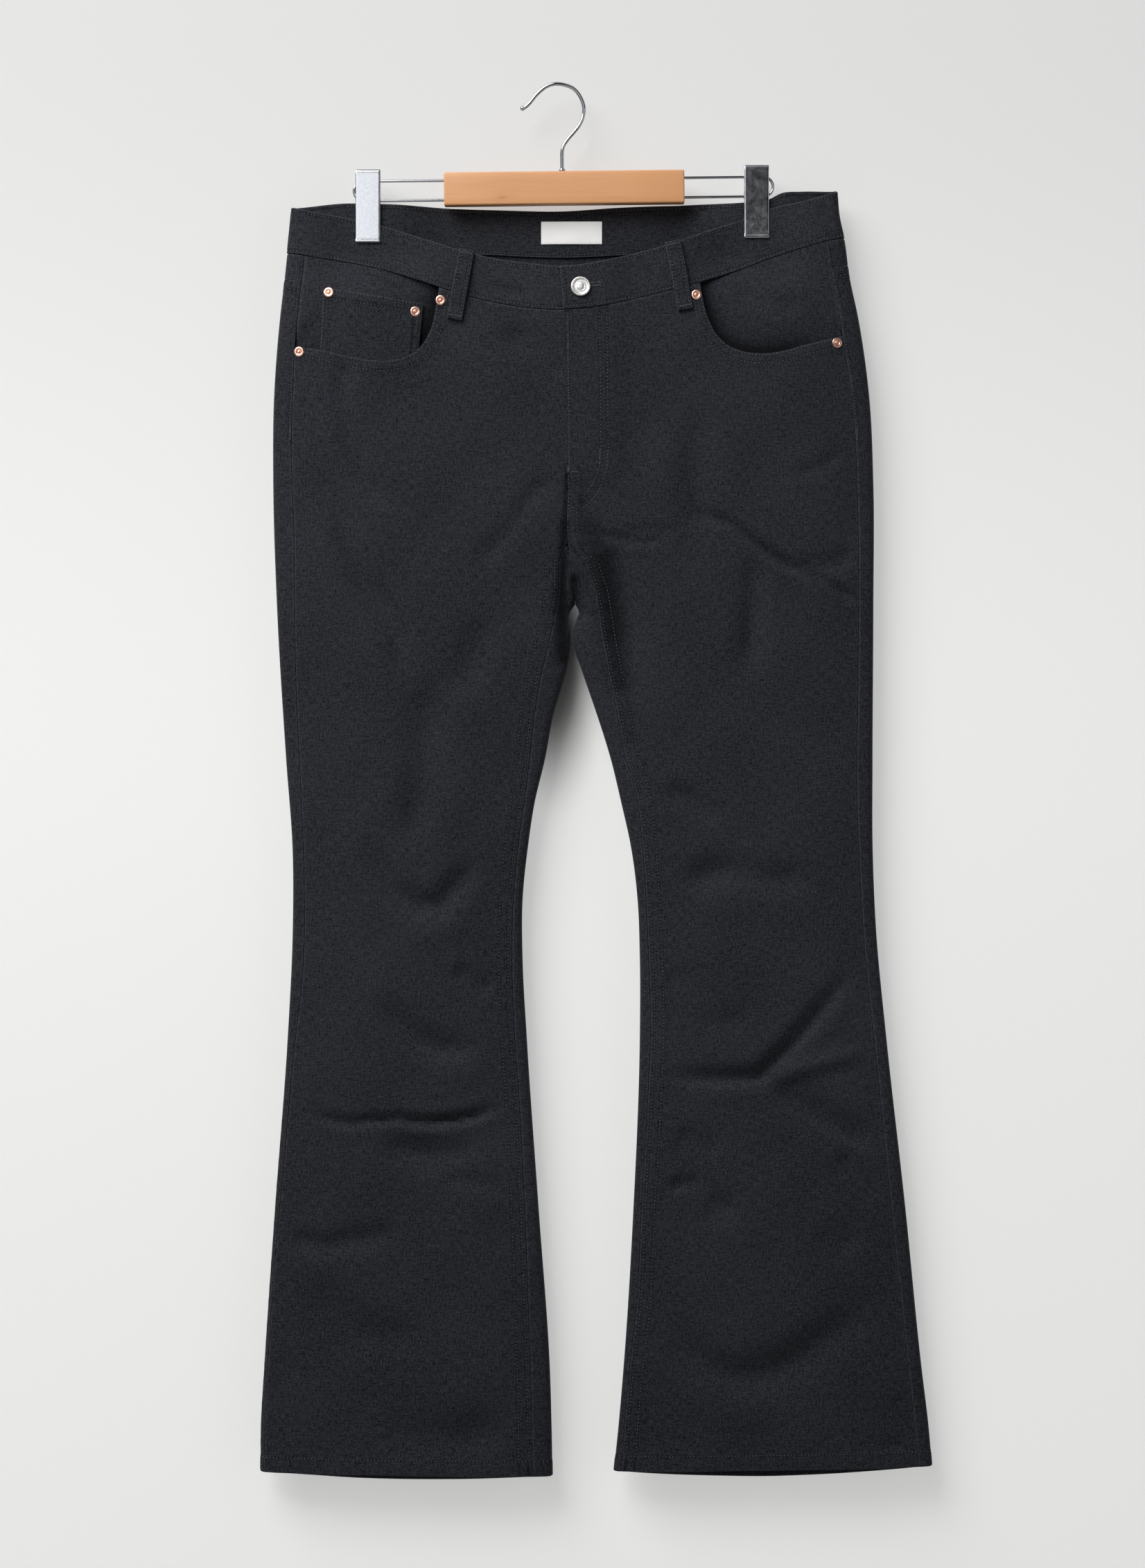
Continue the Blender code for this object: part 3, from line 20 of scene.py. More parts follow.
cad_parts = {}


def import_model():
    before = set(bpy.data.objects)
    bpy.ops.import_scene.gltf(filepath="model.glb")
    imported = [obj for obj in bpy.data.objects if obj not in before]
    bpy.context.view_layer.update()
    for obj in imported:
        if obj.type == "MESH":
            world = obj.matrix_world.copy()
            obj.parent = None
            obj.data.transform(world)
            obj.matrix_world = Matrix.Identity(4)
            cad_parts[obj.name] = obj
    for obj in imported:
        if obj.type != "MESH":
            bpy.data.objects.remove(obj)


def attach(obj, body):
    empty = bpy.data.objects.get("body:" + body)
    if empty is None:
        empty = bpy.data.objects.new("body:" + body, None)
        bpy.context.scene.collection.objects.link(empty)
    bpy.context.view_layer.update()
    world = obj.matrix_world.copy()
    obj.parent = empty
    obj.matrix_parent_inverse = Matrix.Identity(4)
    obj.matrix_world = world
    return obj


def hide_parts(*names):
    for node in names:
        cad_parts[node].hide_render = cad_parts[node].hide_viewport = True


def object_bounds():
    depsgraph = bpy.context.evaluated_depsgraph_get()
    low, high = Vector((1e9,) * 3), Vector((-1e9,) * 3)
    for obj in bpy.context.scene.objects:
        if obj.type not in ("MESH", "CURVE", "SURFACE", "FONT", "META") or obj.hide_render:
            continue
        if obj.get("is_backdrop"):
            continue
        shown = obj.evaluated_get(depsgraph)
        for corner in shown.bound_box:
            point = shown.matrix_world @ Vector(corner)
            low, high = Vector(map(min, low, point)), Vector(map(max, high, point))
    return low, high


MM = 0.001
Array = np.ndarray
Object = bpy.types.Object
log = logging.getLogger("jeans")


class Side(IntEnum):
    """The wearer's sides, as signs of X."""

    RIGHT = -1
    LEFT = 1

    @property
    def word(self) -> str:
        """The side as the nodes' names have it."""
        return self.name.lower()


class Face(IntEnum):
    """The garment's two walls, as signs of Y."""

    FRONT = -1
    BACK = 1


class Section(NamedTuple):
    """x of an edge on each side at a height."""

    z: float
    right: float
    left: float


class Pair(NamedTuple):
    """Two values at one place along a table."""

    at: float
    first: float
    second: float


class Place(NamedTuple):
    """A point of the front or back view."""

    x: float
    z: float


class Loop(NamedTuple):
    """A belt loop, from its top middle to its bottom middle."""

    name: str
    face: Face
    top: Place
    bottom: Place


class Hem(NamedTuple):
    """Heights of a hem at its outer and inner fold, and how much lower the back wall hangs."""

    outer: float
    inner: float
    back_sag: float


class PocketPlace(NamedTuple):
    """The middle of a back pocket's top edge, and its tilt in degrees."""

    x: float
    z: float
    tilt: float


class Crease(NamedTuple):
    """A soft trough in a wall along a route; a negative depth is a ridge.

    With a skew above 0 it is steep on the left of its route and gentle on the right, and below 0 it is the
    other way round.
    """

    face: Face
    width: float
    depth: float
    skew: float
    route: tuple[tuple[float, float], ...]


class Hollow(NamedTuple):
    """A narrow fold at the crotch, from one place to another, and how dark the painted shade makes its cloth."""

    x0: float
    z0: float
    x1: float
    z1: float
    width: float
    depth: float
    dark: float


class Swell(NamedTuple):
    """One of the uneven waves that keep a wall from lying smooth."""

    across: float
    down: float
    phase: float
    height: float


WALL = 1.5
SEAM_GAP, WAIST_GAP, LAYER_GAP = 0.3, 0.45, 0.45
WAISTBAND_WALL, WAISTBAND_PROUD = 2.4, 0.5
LAP_END, LAP_LEAN, UNDERLAP_END, LAP_FLAT, LAP_RAMP = 5.0, 0.08, 33.0, 42.0, 26.0
FLY_LIFT, FLY_FLAT, FLY_RAMP, FLY_UNDERLAP = WALL + LAYER_GAP, 46.0, 20.0, 11.0
FLY_LAP_Z, FLY_OPEN_Z, FLY_SHUT_Z, FLY_SHUT_TOP_Z = -335.0, -318.0, -352.0, -330.0
HEM_DEPTH, HEM_WALL, HEM_PROUD = 14.4, 2.6, 0.4
CROTCH = Place(16.8, -449.0)
JUNCTION_Z, SEAT_Z, LOW_Z = -397.0, -262.0, -1172.0
MOUTH_TUCK, COIN_TUCK, COIN_WALL, BACK_POCKET_WALL = 8.0, 5.6, 1.2, 1.5
MOUTH_EASE, SEAM_EASE, SEAM_EASE_WIDTH = 60.0, 18.0, 22.0
FACING_DROP = {Side.RIGHT: COIN_WALL + WALL + 2 * LAYER_GAP, Side.LEFT: WALL + 2 * LAYER_GAP}
MIDDLE_BACK_X = 9.0
LAP_MIDDLE_Z, FLY_STRAIGHT_Z, OUTSEAM_STITCHED_Z, CUFF_Z = -177.0, -320.0, -316.0, -1185.0
HEM_STEP_FROM, HEM_STEP = 0.6, 0.9
ROW_STEP, GORE_STEP, FAR = 3.3, 2.4, 99.0
SETTLE_ROUNDS, SETTLE_SHARE = 14, 0.75
BAND_FADE, GROOVE_WIDTH, SHADE_WIDTH, RUB_WIDTH, STITCH_SHADE = 2.5, 0.85, 0.8, 1.1, 0.9
PUCKER_WAVES, PUCKER_SHIFT, PUCKER_SHARE, PUCKER_REACH = (17.3, 11.1), 1.0, 0.7, 13.0
INNER_ROLL, CLOTH_SHARP = 0.4, 62.0

OUTER_EDGES = [Section(*row) for row in (
    (-88, -227.4, 243.5), (-112, -229.2, 245.2), (-134, -231.4, 250.0), (-165, -234.6, 254.2),
    (-200, -238.7, 261.6), (-270, -244.0, 271.4), (-345, -244.7, 274.9), (-450, -241.5, 274.9),
    (-585, -233.4, 274.2), (-660, -228.0, 274.3), (-730, -227.8, 277.2), (-825, -232.2, 286.2),
    (-970, -243.0, 302.4), (-1110, -252.5, 316.6), (-1160, -255.4, 322.6), (-1206, -255.4, 326.4),
)]
INNER_EDGES = [Section(*row) for row in (
    (CROTCH.z, CROTCH.x, CROTCH.x), (-456, 12.2, 20.0), (-463, 11.5, 17.0), (-472, 11.8, 13.5),
    (-484, 12.2, 14.2), (-499, 11.0, 19.8), (-518, 6.2, 26.4), (-540, -0.8, 34.0),
    (-584, -9.6, 47.8), (-620, -18.2, 56.4), (-658, -24.0, 64.8), (-706, -28.8, 70.8),
    (-754, -28.8, 72.6), (-826, -25.0, 72.6), (-970, -15.0, 67.2), (-1114, -5.0, 58.2),
    (-1162, -3.6, 54.0), (-1206, -2.8, 49.4),
)]
OUTSEAMS = [Section(*row) for row in (
    (-130, -216.4, 232.0), (-153, -217.7, 236.2), (-190, -222.0, 243.4), (-225, -225.2, 248.8),
    (-272, -227.2, 255.9), (-310, -228.2, 258.9), (-383, -226.2, 261.3), (-510, -224.6, 261.3),
    (-605, -220.5, 260.2), (-685, -217.4, 263.0), (-765, -218.4, 268.4), (-830, -225.6, 275.6),
    (-928, -234.6, 285.6), (-1025, -243.6, 295.4), (-1121, -250.0, 306.0), (-1200, -252.6, 314.4),
)]
INSEAMS = [Section(*row) for row in (
    (JUNCTION_Z, 10.0, 10.0), (-400, 7.6, 10.4), (-404, 5.2, 12.0), (-410, 3.6, 21.4),
    (-424, 2.6, 28.6), (-439, 2.4, 33.4), (-457, -0.6, 36.4), (-481, -5.6, 40.2),
    (-509, -12.2, 45.6), (-540, -17.6, 52.4), (-582, -22.3, 60.2), (-605, -25.2, 67.6),
    (-653, -31.8, 74.4), (-701, -36.4, 77.7), (-765, -37.6, 80.6), (-799, -36.6, 81.8),
    (-896, -30.4, 78.4), (-960, -27.2, 74.4), (-1057, -23.6, 69.6), (-1122, -21.4, 62.4),
    (-1200, -20.0, 56.2),
)]
FULLNESS = [Place(*row) for row in (
    (13.0, -88), (15.0, -150), (17.0, -210), (17.0, -290), (15.5, -380), (13.5, -480),
    (12.0, -620), (12.0, -1000), (13.0, -1210),
)]
RISE_SEAMS = [Pair(*row) for row in (
    (-190, 9.2, 9.4), (-260, 10.0, 9.8), (-330, 10.6, 10.4), (JUNCTION_Z, 10.0, 12.6),
    (-424, 13.4, 14.6), (CROTCH.z, CROTCH.x, CROTCH.x),
)]
WAIST_FRONT = [Pair(*row) for row in (
    (-230, -105.7, -145.4), (-208, -110.0, -149.2), (-173, -116.0, -154.6), (-150, -121.4, -159.7),
    (-117, -132.7, -170.6), (-84, -144.1, -181.8), (-47, -152.5, -190.7), (-21, -155.8, -194.6),
    (5, -158.4, -195.9), (35, -154.8, -193.1), (72, -146.3, -185.4), (102, -137.6, -178.2),
    (138, -124.0, -167.4), (162, -115.8, -158.8), (185, -106.6, -149.8), (219, -99.3, -139.2),
    (247, -91.0, -132.2),
)]
WAIST_BACK = [Pair(*row) for row in (
    (-230, -105.7, -145.4), (-182, -101.7, -143.2), (-146, -102.3, -142.8), (-61, -105.3, -144.5),
    (8, -106.5, -147.0), (54, -103.5, -145.0), (110, -101.5, -142.0), (163, -100.8, -139.0),
    (185, -97.9, -136.5), (195, -92.8, -135.6), (211, -91.0, -134.5), (247, -91.0, -132.2),
)]
YOKE_SEAM = [Place(*row) for row in (
    (-236, -167.2), (-180, -178.0), (-60, -202.0), (10, -213.0), (80, -199.0), (200, -169.0),
    (254, -154.8),
)]
POCKET_MOUTHS = {
    Side.RIGHT: [Place(*row) for row in (
        (-100.6, -176.4), (-102.6, -190.0), (-105.5, -206.0), (-110.5, -219.0), (-118.0, -229.6),
        (-130.0, -236.8), (-149.0, -240.2), (-175.0, -237.0), (-200.0, -230.8), (-225.3, -226.8),
    )],
    Side.LEFT: [Place(*row) for row in (
        (124.2, -171.6), (125.6, -180.0), (128.4, -193.9), (134.2, -209.8), (145.1, -224.0),
        (157.6, -230.8), (173.5, -233.6), (193.4, -232.2), (214.3, -226.4), (248.0, -217.8),
    )],
}
COIN_TOP = (Place(-200.0, -176.4), Place(-114.0, -190.6))
COIN_SIDES_AT_MOUTH = (-204.0, -118.6)
BELT_LOOPS = (
    Loop("belt_loop_front_right", Face.FRONT, Place(-76.6, -144.6), Place(-87.2, -204.6)),
    Loop("belt_loop_front_left", Face.FRONT, Place(100.4, -136.8), Place(111.8, -196.0)),
    Loop("belt_loop_back_right", Face.BACK, Place(-104.1, -105.6), Place(-106.0, -162.0)),
    Loop("belt_loop_centre_back", Face.BACK, Place(8.6, -108.4), Place(9.4, -166.0)),
    Loop("belt_loop_back_left", Face.BACK, Place(122.1, -102.8), Place(125.0, -159.0)),
)
LOOP_CLEAR = [Place(*row) for row in (
    (0.0, 0.8), (0.12, 1.1), (0.35, 2.4), (0.6, 2.2), (0.85, 0.9), (1.0, 0.5),
)]
HEMS = {Side.RIGHT: Hem(-1199.3, -1203.2, 7.6), Side.LEFT: Hem(-1194.4, -1198.8, 9.4)}
BACK_POCKETS = {Side.RIGHT: PocketPlace(-118.0, -236.0, -10.0), Side.LEFT: PocketPlace(143.0, -234.0, 12.0)}
CREASES = [Crease(Face(row[0]), *row[1:4], row[4:]) for row in (
    (-1, 8, 1.8, 0, (-177, -222), (-185, -268), (-179, -305), (-168, -337), (-153, -358), (-135, -370)),
    (-1, 11, 3.0, 0, (-210, -328), (-199, -342), (-185, -373), (-177, -401), (-166, -429), (-149, -453),
     (-137, -474), (-133, -495), (-126, -512), (-111, -522)),
    (-1, 15, 2.6, 0, (-126, -512), (-111, -524), (-109, -547), (-114, -574), (-118, -609), (-120, -640),
     (-123, -668)),
    (-1, 11, 3.2, 0, (-166, -647), (-156, -671), (-139, -696), (-118, -710), (-101, -710), (-83, -689),
     (-62, -663)),
    (-1, 14, 1.6, 0, (-61, -455), (-68, -488), (-76, -512), (-105, -523)),
    (-1, 8, 1.2, 0, (7, -342), (-17, -352), (-38, -384), (-73, -422)),
    (-1, 12, 1.5, 0, (-49, -210), (-17, -231), (7, -262)),
    (-1, 8, 1.8, 0, (-90, -762), (-66, -779), (-52, -783)),
    (-1, 11, 2.6, -0.2, (-160, -786), (-139, -807), (-121, -825), (-101, -834), (-80, -834), (-56,
     -827)),
    (-1, 4.5, 3.4, -0.4, (-222, -886), (-198, -895), (-177, -898), (-156, -896), (-135, -894), (-111,
     -897), (-87, -895), (-66, -891), (-52, -885), (-40, -877)),
    (-1, 12, 2.6, 0, (-156, -915), (-121, -922), (-94, -925), (-60, -916)),
    (-1, 8, 1.4, 0, (-104, -942), (-70, -948), (-38, -957)),
    (-1, 9, 2.2, 0, (-240, -988), (-222, -998), (-201, -1004), (-180, -999), (-156, -995), (-128,
     -990)),
    (-1, 18, 2.6, 0, (-211, -1029), (-191, -1057), (-170, -1077), (-139, -1083), (-107, -1081)),
    (-1, 18, 2.2, 0, (-166, -1160), (-120, -1166), (-80, -1168), (-34, -1160)),
    (-1, 7, 1.2, 0, (-246, -1098), (-236, -1106), (-225, -1120)),
    (-1, 15, 2.4, 0, (124, -270), (122, -310), (121, -345), (126, -400)),
    (-1, 10, 2.4, 0, (172, -402), (170, -443), (168, -495), (166, -515)),
    (-1, 4.5, 3.2, -0.3, (116, -369), (132, -374), (149, -380), (161, -389), (173, -399), (190, -410),
     (204, -420), (221, -431)),
    (-1, 4, 2.0, 0, (216, -421), (229, -427), (243, -436), (254, -445), (262, -444)),
    (-1, 8, 1.6, 0, (207, -411), (225, -417), (243, -413), (261, -404)),
    (-1, 5, 1.0, 0, (206, -338), (225, -333), (247, -319)),
    (-1, 3.5, 1.6, 0, (30, -387), (45, -391), (61, -395), (80, -396), (102, -392)),
    (-1, 4, 1.1, 0, (52, -389), (80, -386), (106, -387)),
    (-1, 9, 2.0, 0, (90, -608), (114, -616), (128, -630), (143, -639)),
    (-1, 12, 2.6, 0, (102, -692), (121, -685), (149, -679), (173, -684), (201, -688), (223, -700)),
    (-1, 7, 3.8, -0.5, (86, -854), (109, -859), (130, -860), (154, -860), (176, -859), (200, -836),
     (226, -806), (251, -774), (262, -760)),
    (-1, 7, -1.8, 0, (182, -857), (216, -849), (244, -841), (274, -836)),
    (-1, 11, 3.4, -0.4, (178, -860), (203, -876), (230, -895), (258, -911), (283, -923)),
    (-1, 12, 1.6, 0, (100, -908), (125, -916), (146, -918)),
    (-1, 6, 1.8, 0, (96, -952), (112, -950), (126, -947)),
    (-1, 12, 1.6, 0, (128, -964), (145, -970), (160, -968)),
    (-1, 16, 1.4, 0, (222, -990), (245, -1000), (260, -1012)),
    (-1, 12, 1.4, 0, (240, -922), (262, -940), (278, -966)),
    (-1, 9, 1.0, 0, (117, -812), (145, -810), (172, -806)),
    (-1, 9, 1.0, 0, (93, -773), (120, -772)),
    (-1, 15, 3.2, 0, (82, -1040), (97, -1066), (112, -1090), (130, -1107), (154, -1117), (178, -1116),
     (203, -1105), (230, -1085), (255, -1067), (268, -1036)),
    (-1, 4, 1.0, 0, (290, -1140), (306, -1136)),
    (-1, 4, 1.0, 0, (284, -1173), (300, -1178)),
    (-1, 3, 1.5, 0, (-153, -158), (-104, -181)),
    (-1, 2.8, 1.2, 0, (-166, -166), (-124, -181)),
    (-1, 4, 1.2, 0, (-60, -176), (-20, -184)),
    (-1, 9, 1.4, 0, (150, -178), (214, -196)),
    (1, 14, 2.8, 0, (-196, -428), (-130, -440), (-60, -462)),
    (1, 16, 2.4, 0, (-150, -500), (-138, -580), (-120, -660)),
    (1, 11, 3.0, -0.2, (-190, -706), (-140, -704), (-80, -688)),
    (1, 12, 2.8, -0.2, (-200, -905), (-150, -922), (-96, -930)),
    (1, 14, 2.8, 0, (92, -462), (150, -438), (224, -424)),
    (1, 16, 2.4, 0, (150, -520), (164, -590), (172, -650)),
    (1, 11, 3.0, -0.2, (108, -694), (164, -710), (226, -716)),
    (1, 12, 2.8, -0.2, (128, -882), (190, -870), (250, -868)),
    (1, 20, 2.2, 0, (-210, -1010), (-150, -1034), (-90, -1032)),
    (1, 20, 2.2, 0, (120, -1030), (190, -1034), (262, -1004)),
    (1, 8, 2.2, 0, (-60, -400), (-34, -418), (-12, -440)),
    (1, 8, 2.2, 0, (34, -436), (58, -416), (84, -402)),
    (1, 10, 1.8, 0, (-184, -392), (-110, -404), (-50, -428)),
    (1, 10, 1.8, 0, (60, -430), (124, -400), (214, -390)),
    (1, 9, 1.6, 0, (-200, -802), (-140, -822), (-90, -818)),
    (1, 9, 1.6, 0, (110, -798), (170, -806), (236, -784)),
    (1, 12, 1.8, 0, (-226, -1110), (-160, -1132), (-96, -1124)),
    (1, 12, 1.8, 0, (124, -1124), (200, -1136), (270, -1110)),
)]
HOLLOWS = [Hollow(*row) for row in (
    (10.2, -338, 8.8, -380, 2.4, 1.6, 0.7), (8.8, -380, 5.6, -440, 4.2, 3.2, 1.1),
    (5.6, -440, 6.6, -497, 6.0, 3.4, 1.3), (16.5, -428, 17.5, -458, 4.0, 2.6, 1.2),
    (24.0, -362, 30.0, -385, 6.0, 1.6, 0.4), (30.0, -385, 43.0, -412, 10.0, 3.0, 0.6),
    (43.0, -412, 47.0, -440, 12.0, 4.6, 1.1), (47.0, -440, 52.0, -480, 11.5, 5.0, 1.1),
    (52.0, -480, 57.0, -520, 10.5, 4.2, 0.9), (57.0, -520, 66.0, -566, 8.0, 2.0, 0.35),
)]
SWELLS = (
    Swell(170.0, 95.0, 0.4, 0.40), Swell(-120.0, 140.0, 2.1, 0.36), Swell(88.0, 260.0, 4.0, 0.30),
    Swell(61.0, -76.0, 1.2, 0.16),
)
CLIP_X = {Side.RIGHT: -162.6, Side.LEFT: 173.6}


# ---------------------------------------------------------------- curves


class Curve:
    """A smooth function through a few points, straight beyond its ends."""

    def __init__(self, across: Sequence[float], along: Sequence[float]) -> None:
        """Keeps the points in order, with the slope at each.

        Args:
            across: where the values are given.
            along: the values there.
        """
        order = np.argsort(across)
        self.x = np.asarray(across, float)[order]
        self.y = np.asarray(along, float)[order]
        self.step = np.diff(self.x)
        chord = np.diff(self.y) / self.step
        near, far = self.step[:-1], self.step[1:]
        inner = (chord[1:] * near + chord[:-1] * far) / (near + far)
        self.slope = np.concatenate([[chord[0]], inner, [chord[-1]]])

    def __call__(self, at: Array | float) -> Array:
        """The curve's value.

        Args:
            at: one place or an array of them.

        Returns:
            The values, in the same shape.
        """
        at = np.asarray(at, float)
        x, y, step, slope = self.x, self.y, self.step, self.slope
        i = np.clip(np.searchsorted(x, at) - 1, 0, len(x) - 2)
        t = (np.clip(at, x[0], x[-1]) - x[i]) / step[i]
        a, b = y[i], y[i + 1]
        m, n = slope[i] * step[i], slope[i + 1] * step[i]
        curve = a + t * m + t * t * (3 * (b - a) - 2 * m - n) + t**3 * (2 * (a - b) + m + n)
        return curve + np.minimum(at - x[0], 0) * slope[0] + np.maximum(at - x[-1], 0) * slope[-1]


def table_curve(rows: Sequence[NamedTuple], across: str, along: str) -> Curve:
    """A smooth function of one named column of a table from another.

    Args:
        rows: the table.
        across: the column that the function takes.
        along: the column that it gives.

    Returns:
        The function.
    """
    return Curve([getattr(r, across) for r in rows], [getattr(r, along) for r in rows])


def side_curves(rows: Sequence[Section]) -> dict[Side, Curve]:
    """An edge's x from its height, on each side."""
    return {Side.RIGHT: table_curve(rows, "z", "right"), Side.LEFT: table_curve(rows, "z", "left")}


def waist_curve(rows: Sequence[Pair], column: str) -> Callable[[Array], Array]:
    """An edge of the waistband on one wall, level past the table's ends, where the walls meet."""
    curve = table_curve(rows, "at", column)
    return lambda x: curve(np.clip(x, rows[0].at, rows[-1].at))


def ease(t: Array | float) -> Array:
    """A smooth step from 0 to 1."""
    t = np.clip(t, 0, 1)
    return t * t * (3 - 2 * t)


def arch(t: Array | float) -> Array:
    """A parabola from 0 up to a level 1."""
    return 1 - (1 - np.clip(t, 0, 1)) ** 2


def settle(line: Callable[..., Array], start: Array, place: Callable[[Array], tuple]) -> Array:
    """Heights at which leaning columns of points meet a line.

    Args:
        line: the line's height at a place.
        start: a first height for each column.
        place: what line takes, from the columns' heights.

    Returns:
        The heights.
    """
    z = np.array(start, float)
    for _ in range(SETTLE_ROUNDS):
        z = (1 - SETTLE_SHARE) * z + SETTLE_SHARE * line(*place(z))
    return z


def along_stretch(x: Array, z: Array, start: Sequence[float], end: Sequence[float]) -> tuple[Array, Array]:
    """The nearest points of a straight stretch.

    Args:
        x: places across.
        z: heights.
        start: x and z of one end.
        end: x and z of the other.

    Returns:
        The share of the stretch at the nearest points, and how far off they are.
    """
    run, drop = end[0] - start[0], end[1] - start[1]
    share = np.clip(((x - start[0]) * run + (z - start[1]) * drop) / (run**2 + drop**2), 0, 1)
    return share, np.hypot(x - start[0] - share * run, z - start[1] - share * drop)


OUTER, INNER = side_curves(OUTER_EDGES), side_curves(INNER_EDGES)
OUTSEAM, INSEAM = side_curves(OUTSEAMS), side_curves(INSEAMS)
HALF_DEPTH = table_curve(FULLNESS, "z", "x")
RISE = {Face.FRONT: table_curve(RISE_SEAMS, "at", "first"),
        Face.BACK: table_curve(RISE_SEAMS, "at", "second")}
WAISTS = {Face.FRONT: WAIST_FRONT, Face.BACK: WAIST_BACK}
WAIST_TOP, WAIST_SEAM = ({face: waist_curve(rows, column) for face, rows in WAISTS.items()}
                         for column in ("first", "second"))
YOKE_LINE = table_curve(YOKE_SEAM, "x", "z")
LOOP_CLEARANCE = table_curve(LOOP_CLEAR, "x", "z")
MOUTH_LINE = {side: table_curve(mouth, "x", "z") for side, mouth in POCKET_MOUTHS.items()}


def by_face(curves: dict[Face, Callable], x: Array, face: Array) -> Array:
    """The value of the curve of each point's own wall."""
    return np.where(np.asarray(face) == Face.FRONT, curves[Face.FRONT](x), curves[Face.BACK](x))


# ---------------------------------------------------------------- the garment's surface


@dataclass(frozen=True)
class Form:
    """The garment's surface: two walls that bulge between the folds, and a tube for each leg."""

    fold_radius: float = 5.0
    swell_width: float = 80.0
    crotch_turn: float = 20.0
    relief_margin: float = 30.0
    slope_step: float = 0.4
    least_depth: float = 2.6
    crease_reach: float = 45.0
    crease_fade: float = 0.25
    crease_depth: float = 1.7
    crease_lean: float = 3.0
    uneven: float = 0.22
    uneven_turns: float = 7.0
    uneven_start: float = 0.13
    shoulder_off: float = 2.0
    shoulder_width: float = 1.1
    shoulder_height: float = 0.12
    swell_shift: float = 1.3
    gripped: float = WAISTBAND_WALL - WAISTBAND_PROUD + SEAM_GAP / 2
    grip_flat: float = 16.75
    grip_width: float = 55.0
    grip_top: float = -144.0
    grip_end: float = -188.0

    @property
    def quarter(self) -> float:
        """Length of cloth round a quarter of a fold."""
        return self.fold_radius * math.pi / 2

    def edges(self, x: Array, z: Array, side: Array) -> tuple[Array, Array]:
        """How far points lie inside the outer fold, and inside the inner one or from the crotch.

        Args:
            x: places across.
            z: heights.
            side: the wearer's side of each.

        Returns:
            The two distances.
        """
        outer = np.where(side == Side.LEFT, OUTER[Side.LEFT](z) - x, x - OUTER[Side.RIGHT](z))
        beside = np.where(side == Side.LEFT, x - INNER[Side.LEFT](z), INNER[Side.RIGHT](z) - x)
        above = np.hypot(x - CROTCH.x, z - CROTCH.z)
        return outer, np.where(z < CROTCH.z, beside, above)

    def relief(self, x: Array, z: Array, face: Array) -> Array:
        """How far the creases and swells take a wall in.

        Args:
            x: places across.
            z: heights.
            face: the wall of each.

        Returns:
            Depths, positive inwards.
        """
        total = np.zeros_like(x)
        for crease in CREASES:
            route = np.array(crease.route, float)
            low, high = route.min(axis=0) - self.crease_reach, route.max(axis=0) + self.crease_reach
            near = (face == crease.face) & (x > low[0]) & (x < high[0]) & (z > low[1]) & (z < high[1])
            if not near.any():
                continue
            off, share = self.beside(route, x[near], z[near])
            width = crease.width * (1 - crease.skew * np.tanh(off / self.crease_lean))
            fade = ease(share / self.crease_fade) * ease((1 - share) / self.crease_fade)
            turn = self.uneven_turns * share + self.uneven_start * route[0, 0]
            uneven = 1 + self.uneven * np.sin(turn)
            bottom = np.exp(-((off / width) ** 2))
            past = (np.abs(off) - self.shoulder_off * crease.width) / (self.shoulder_width * crease.width)
            shoulder = self.shoulder_height * np.exp(-(past**2))
            depth = self.crease_depth * crease.depth
            total[near] += depth * fade * uneven * (bottom - shoulder)
        for swell in SWELLS:
            turn = 2 * math.pi * (x / swell.across + z / swell.down) + swell.phase
            total += swell.height * np.sin(turn + self.swell_shift * face)
        return total

    @staticmethod
    def beside(route: Array, x: Array, z: Array) -> tuple[Array, Array]:
        """Where points lie beside a route.

        Args:
            route: its points.
            x: places across.
            z: heights.

        Returns:
            How far off it each lies, positive on its left, and the share of its length there.
        """
        steps = np.hypot(*np.diff(route, axis=0).T)
        before = np.concatenate([[0], np.cumsum(steps)])
        best, off, share = (np.full(np.shape(x), np.inf) for _ in range(3))
        for (a, c), (b, d), length, run in zip(route, route[1:], steps, before):
            t, away = along_stretch(x, z, (a, c), (b, d))
            left = (z - c) * (b - a) - (x - a) * (d - c)
            closer = away < best
            best = np.where(closer, away, best)
            off = np.where(closer, np.where(left < 0, -away, away), off)
            share = np.where(closer, (run + t * length) / before[-1], share)
        return off, share

    @staticmethod
    def hollow(x: Array, z: Array, face: Array, column: str) -> Array:
        """The depth of the folds at the crotch, or how dark their painted shade is.

        Args:
            x: places across.
            z: heights.
            face: the wall of each.
            column: which of the two.

        Returns:
            The greatest of the folds' values at each place.
        """
        most = np.zeros_like(x)
        for fold in HOLLOWS:
            _, away = along_stretch(x, z, (fold.x0, fold.z0), (fold.x1, fold.z1))
            most = np.maximum(most, getattr(fold, column) * np.exp(-((away / fold.width) ** 2)))
        return np.where(face == Face.FRONT, most, 0)

    def grip(self, x: Array, z: Array) -> Array:
        """1 where a clip holds the two walls together, fading to 0 round it."""
        held = np.zeros_like(x)
        for clip_x in CLIP_X.values():
            held = np.maximum(held, 1 - ease((np.abs(x - clip_x) - self.grip_flat) / self.grip_width))
        return held * ease((z - self.grip_end) / (self.grip_top - self.grip_end))

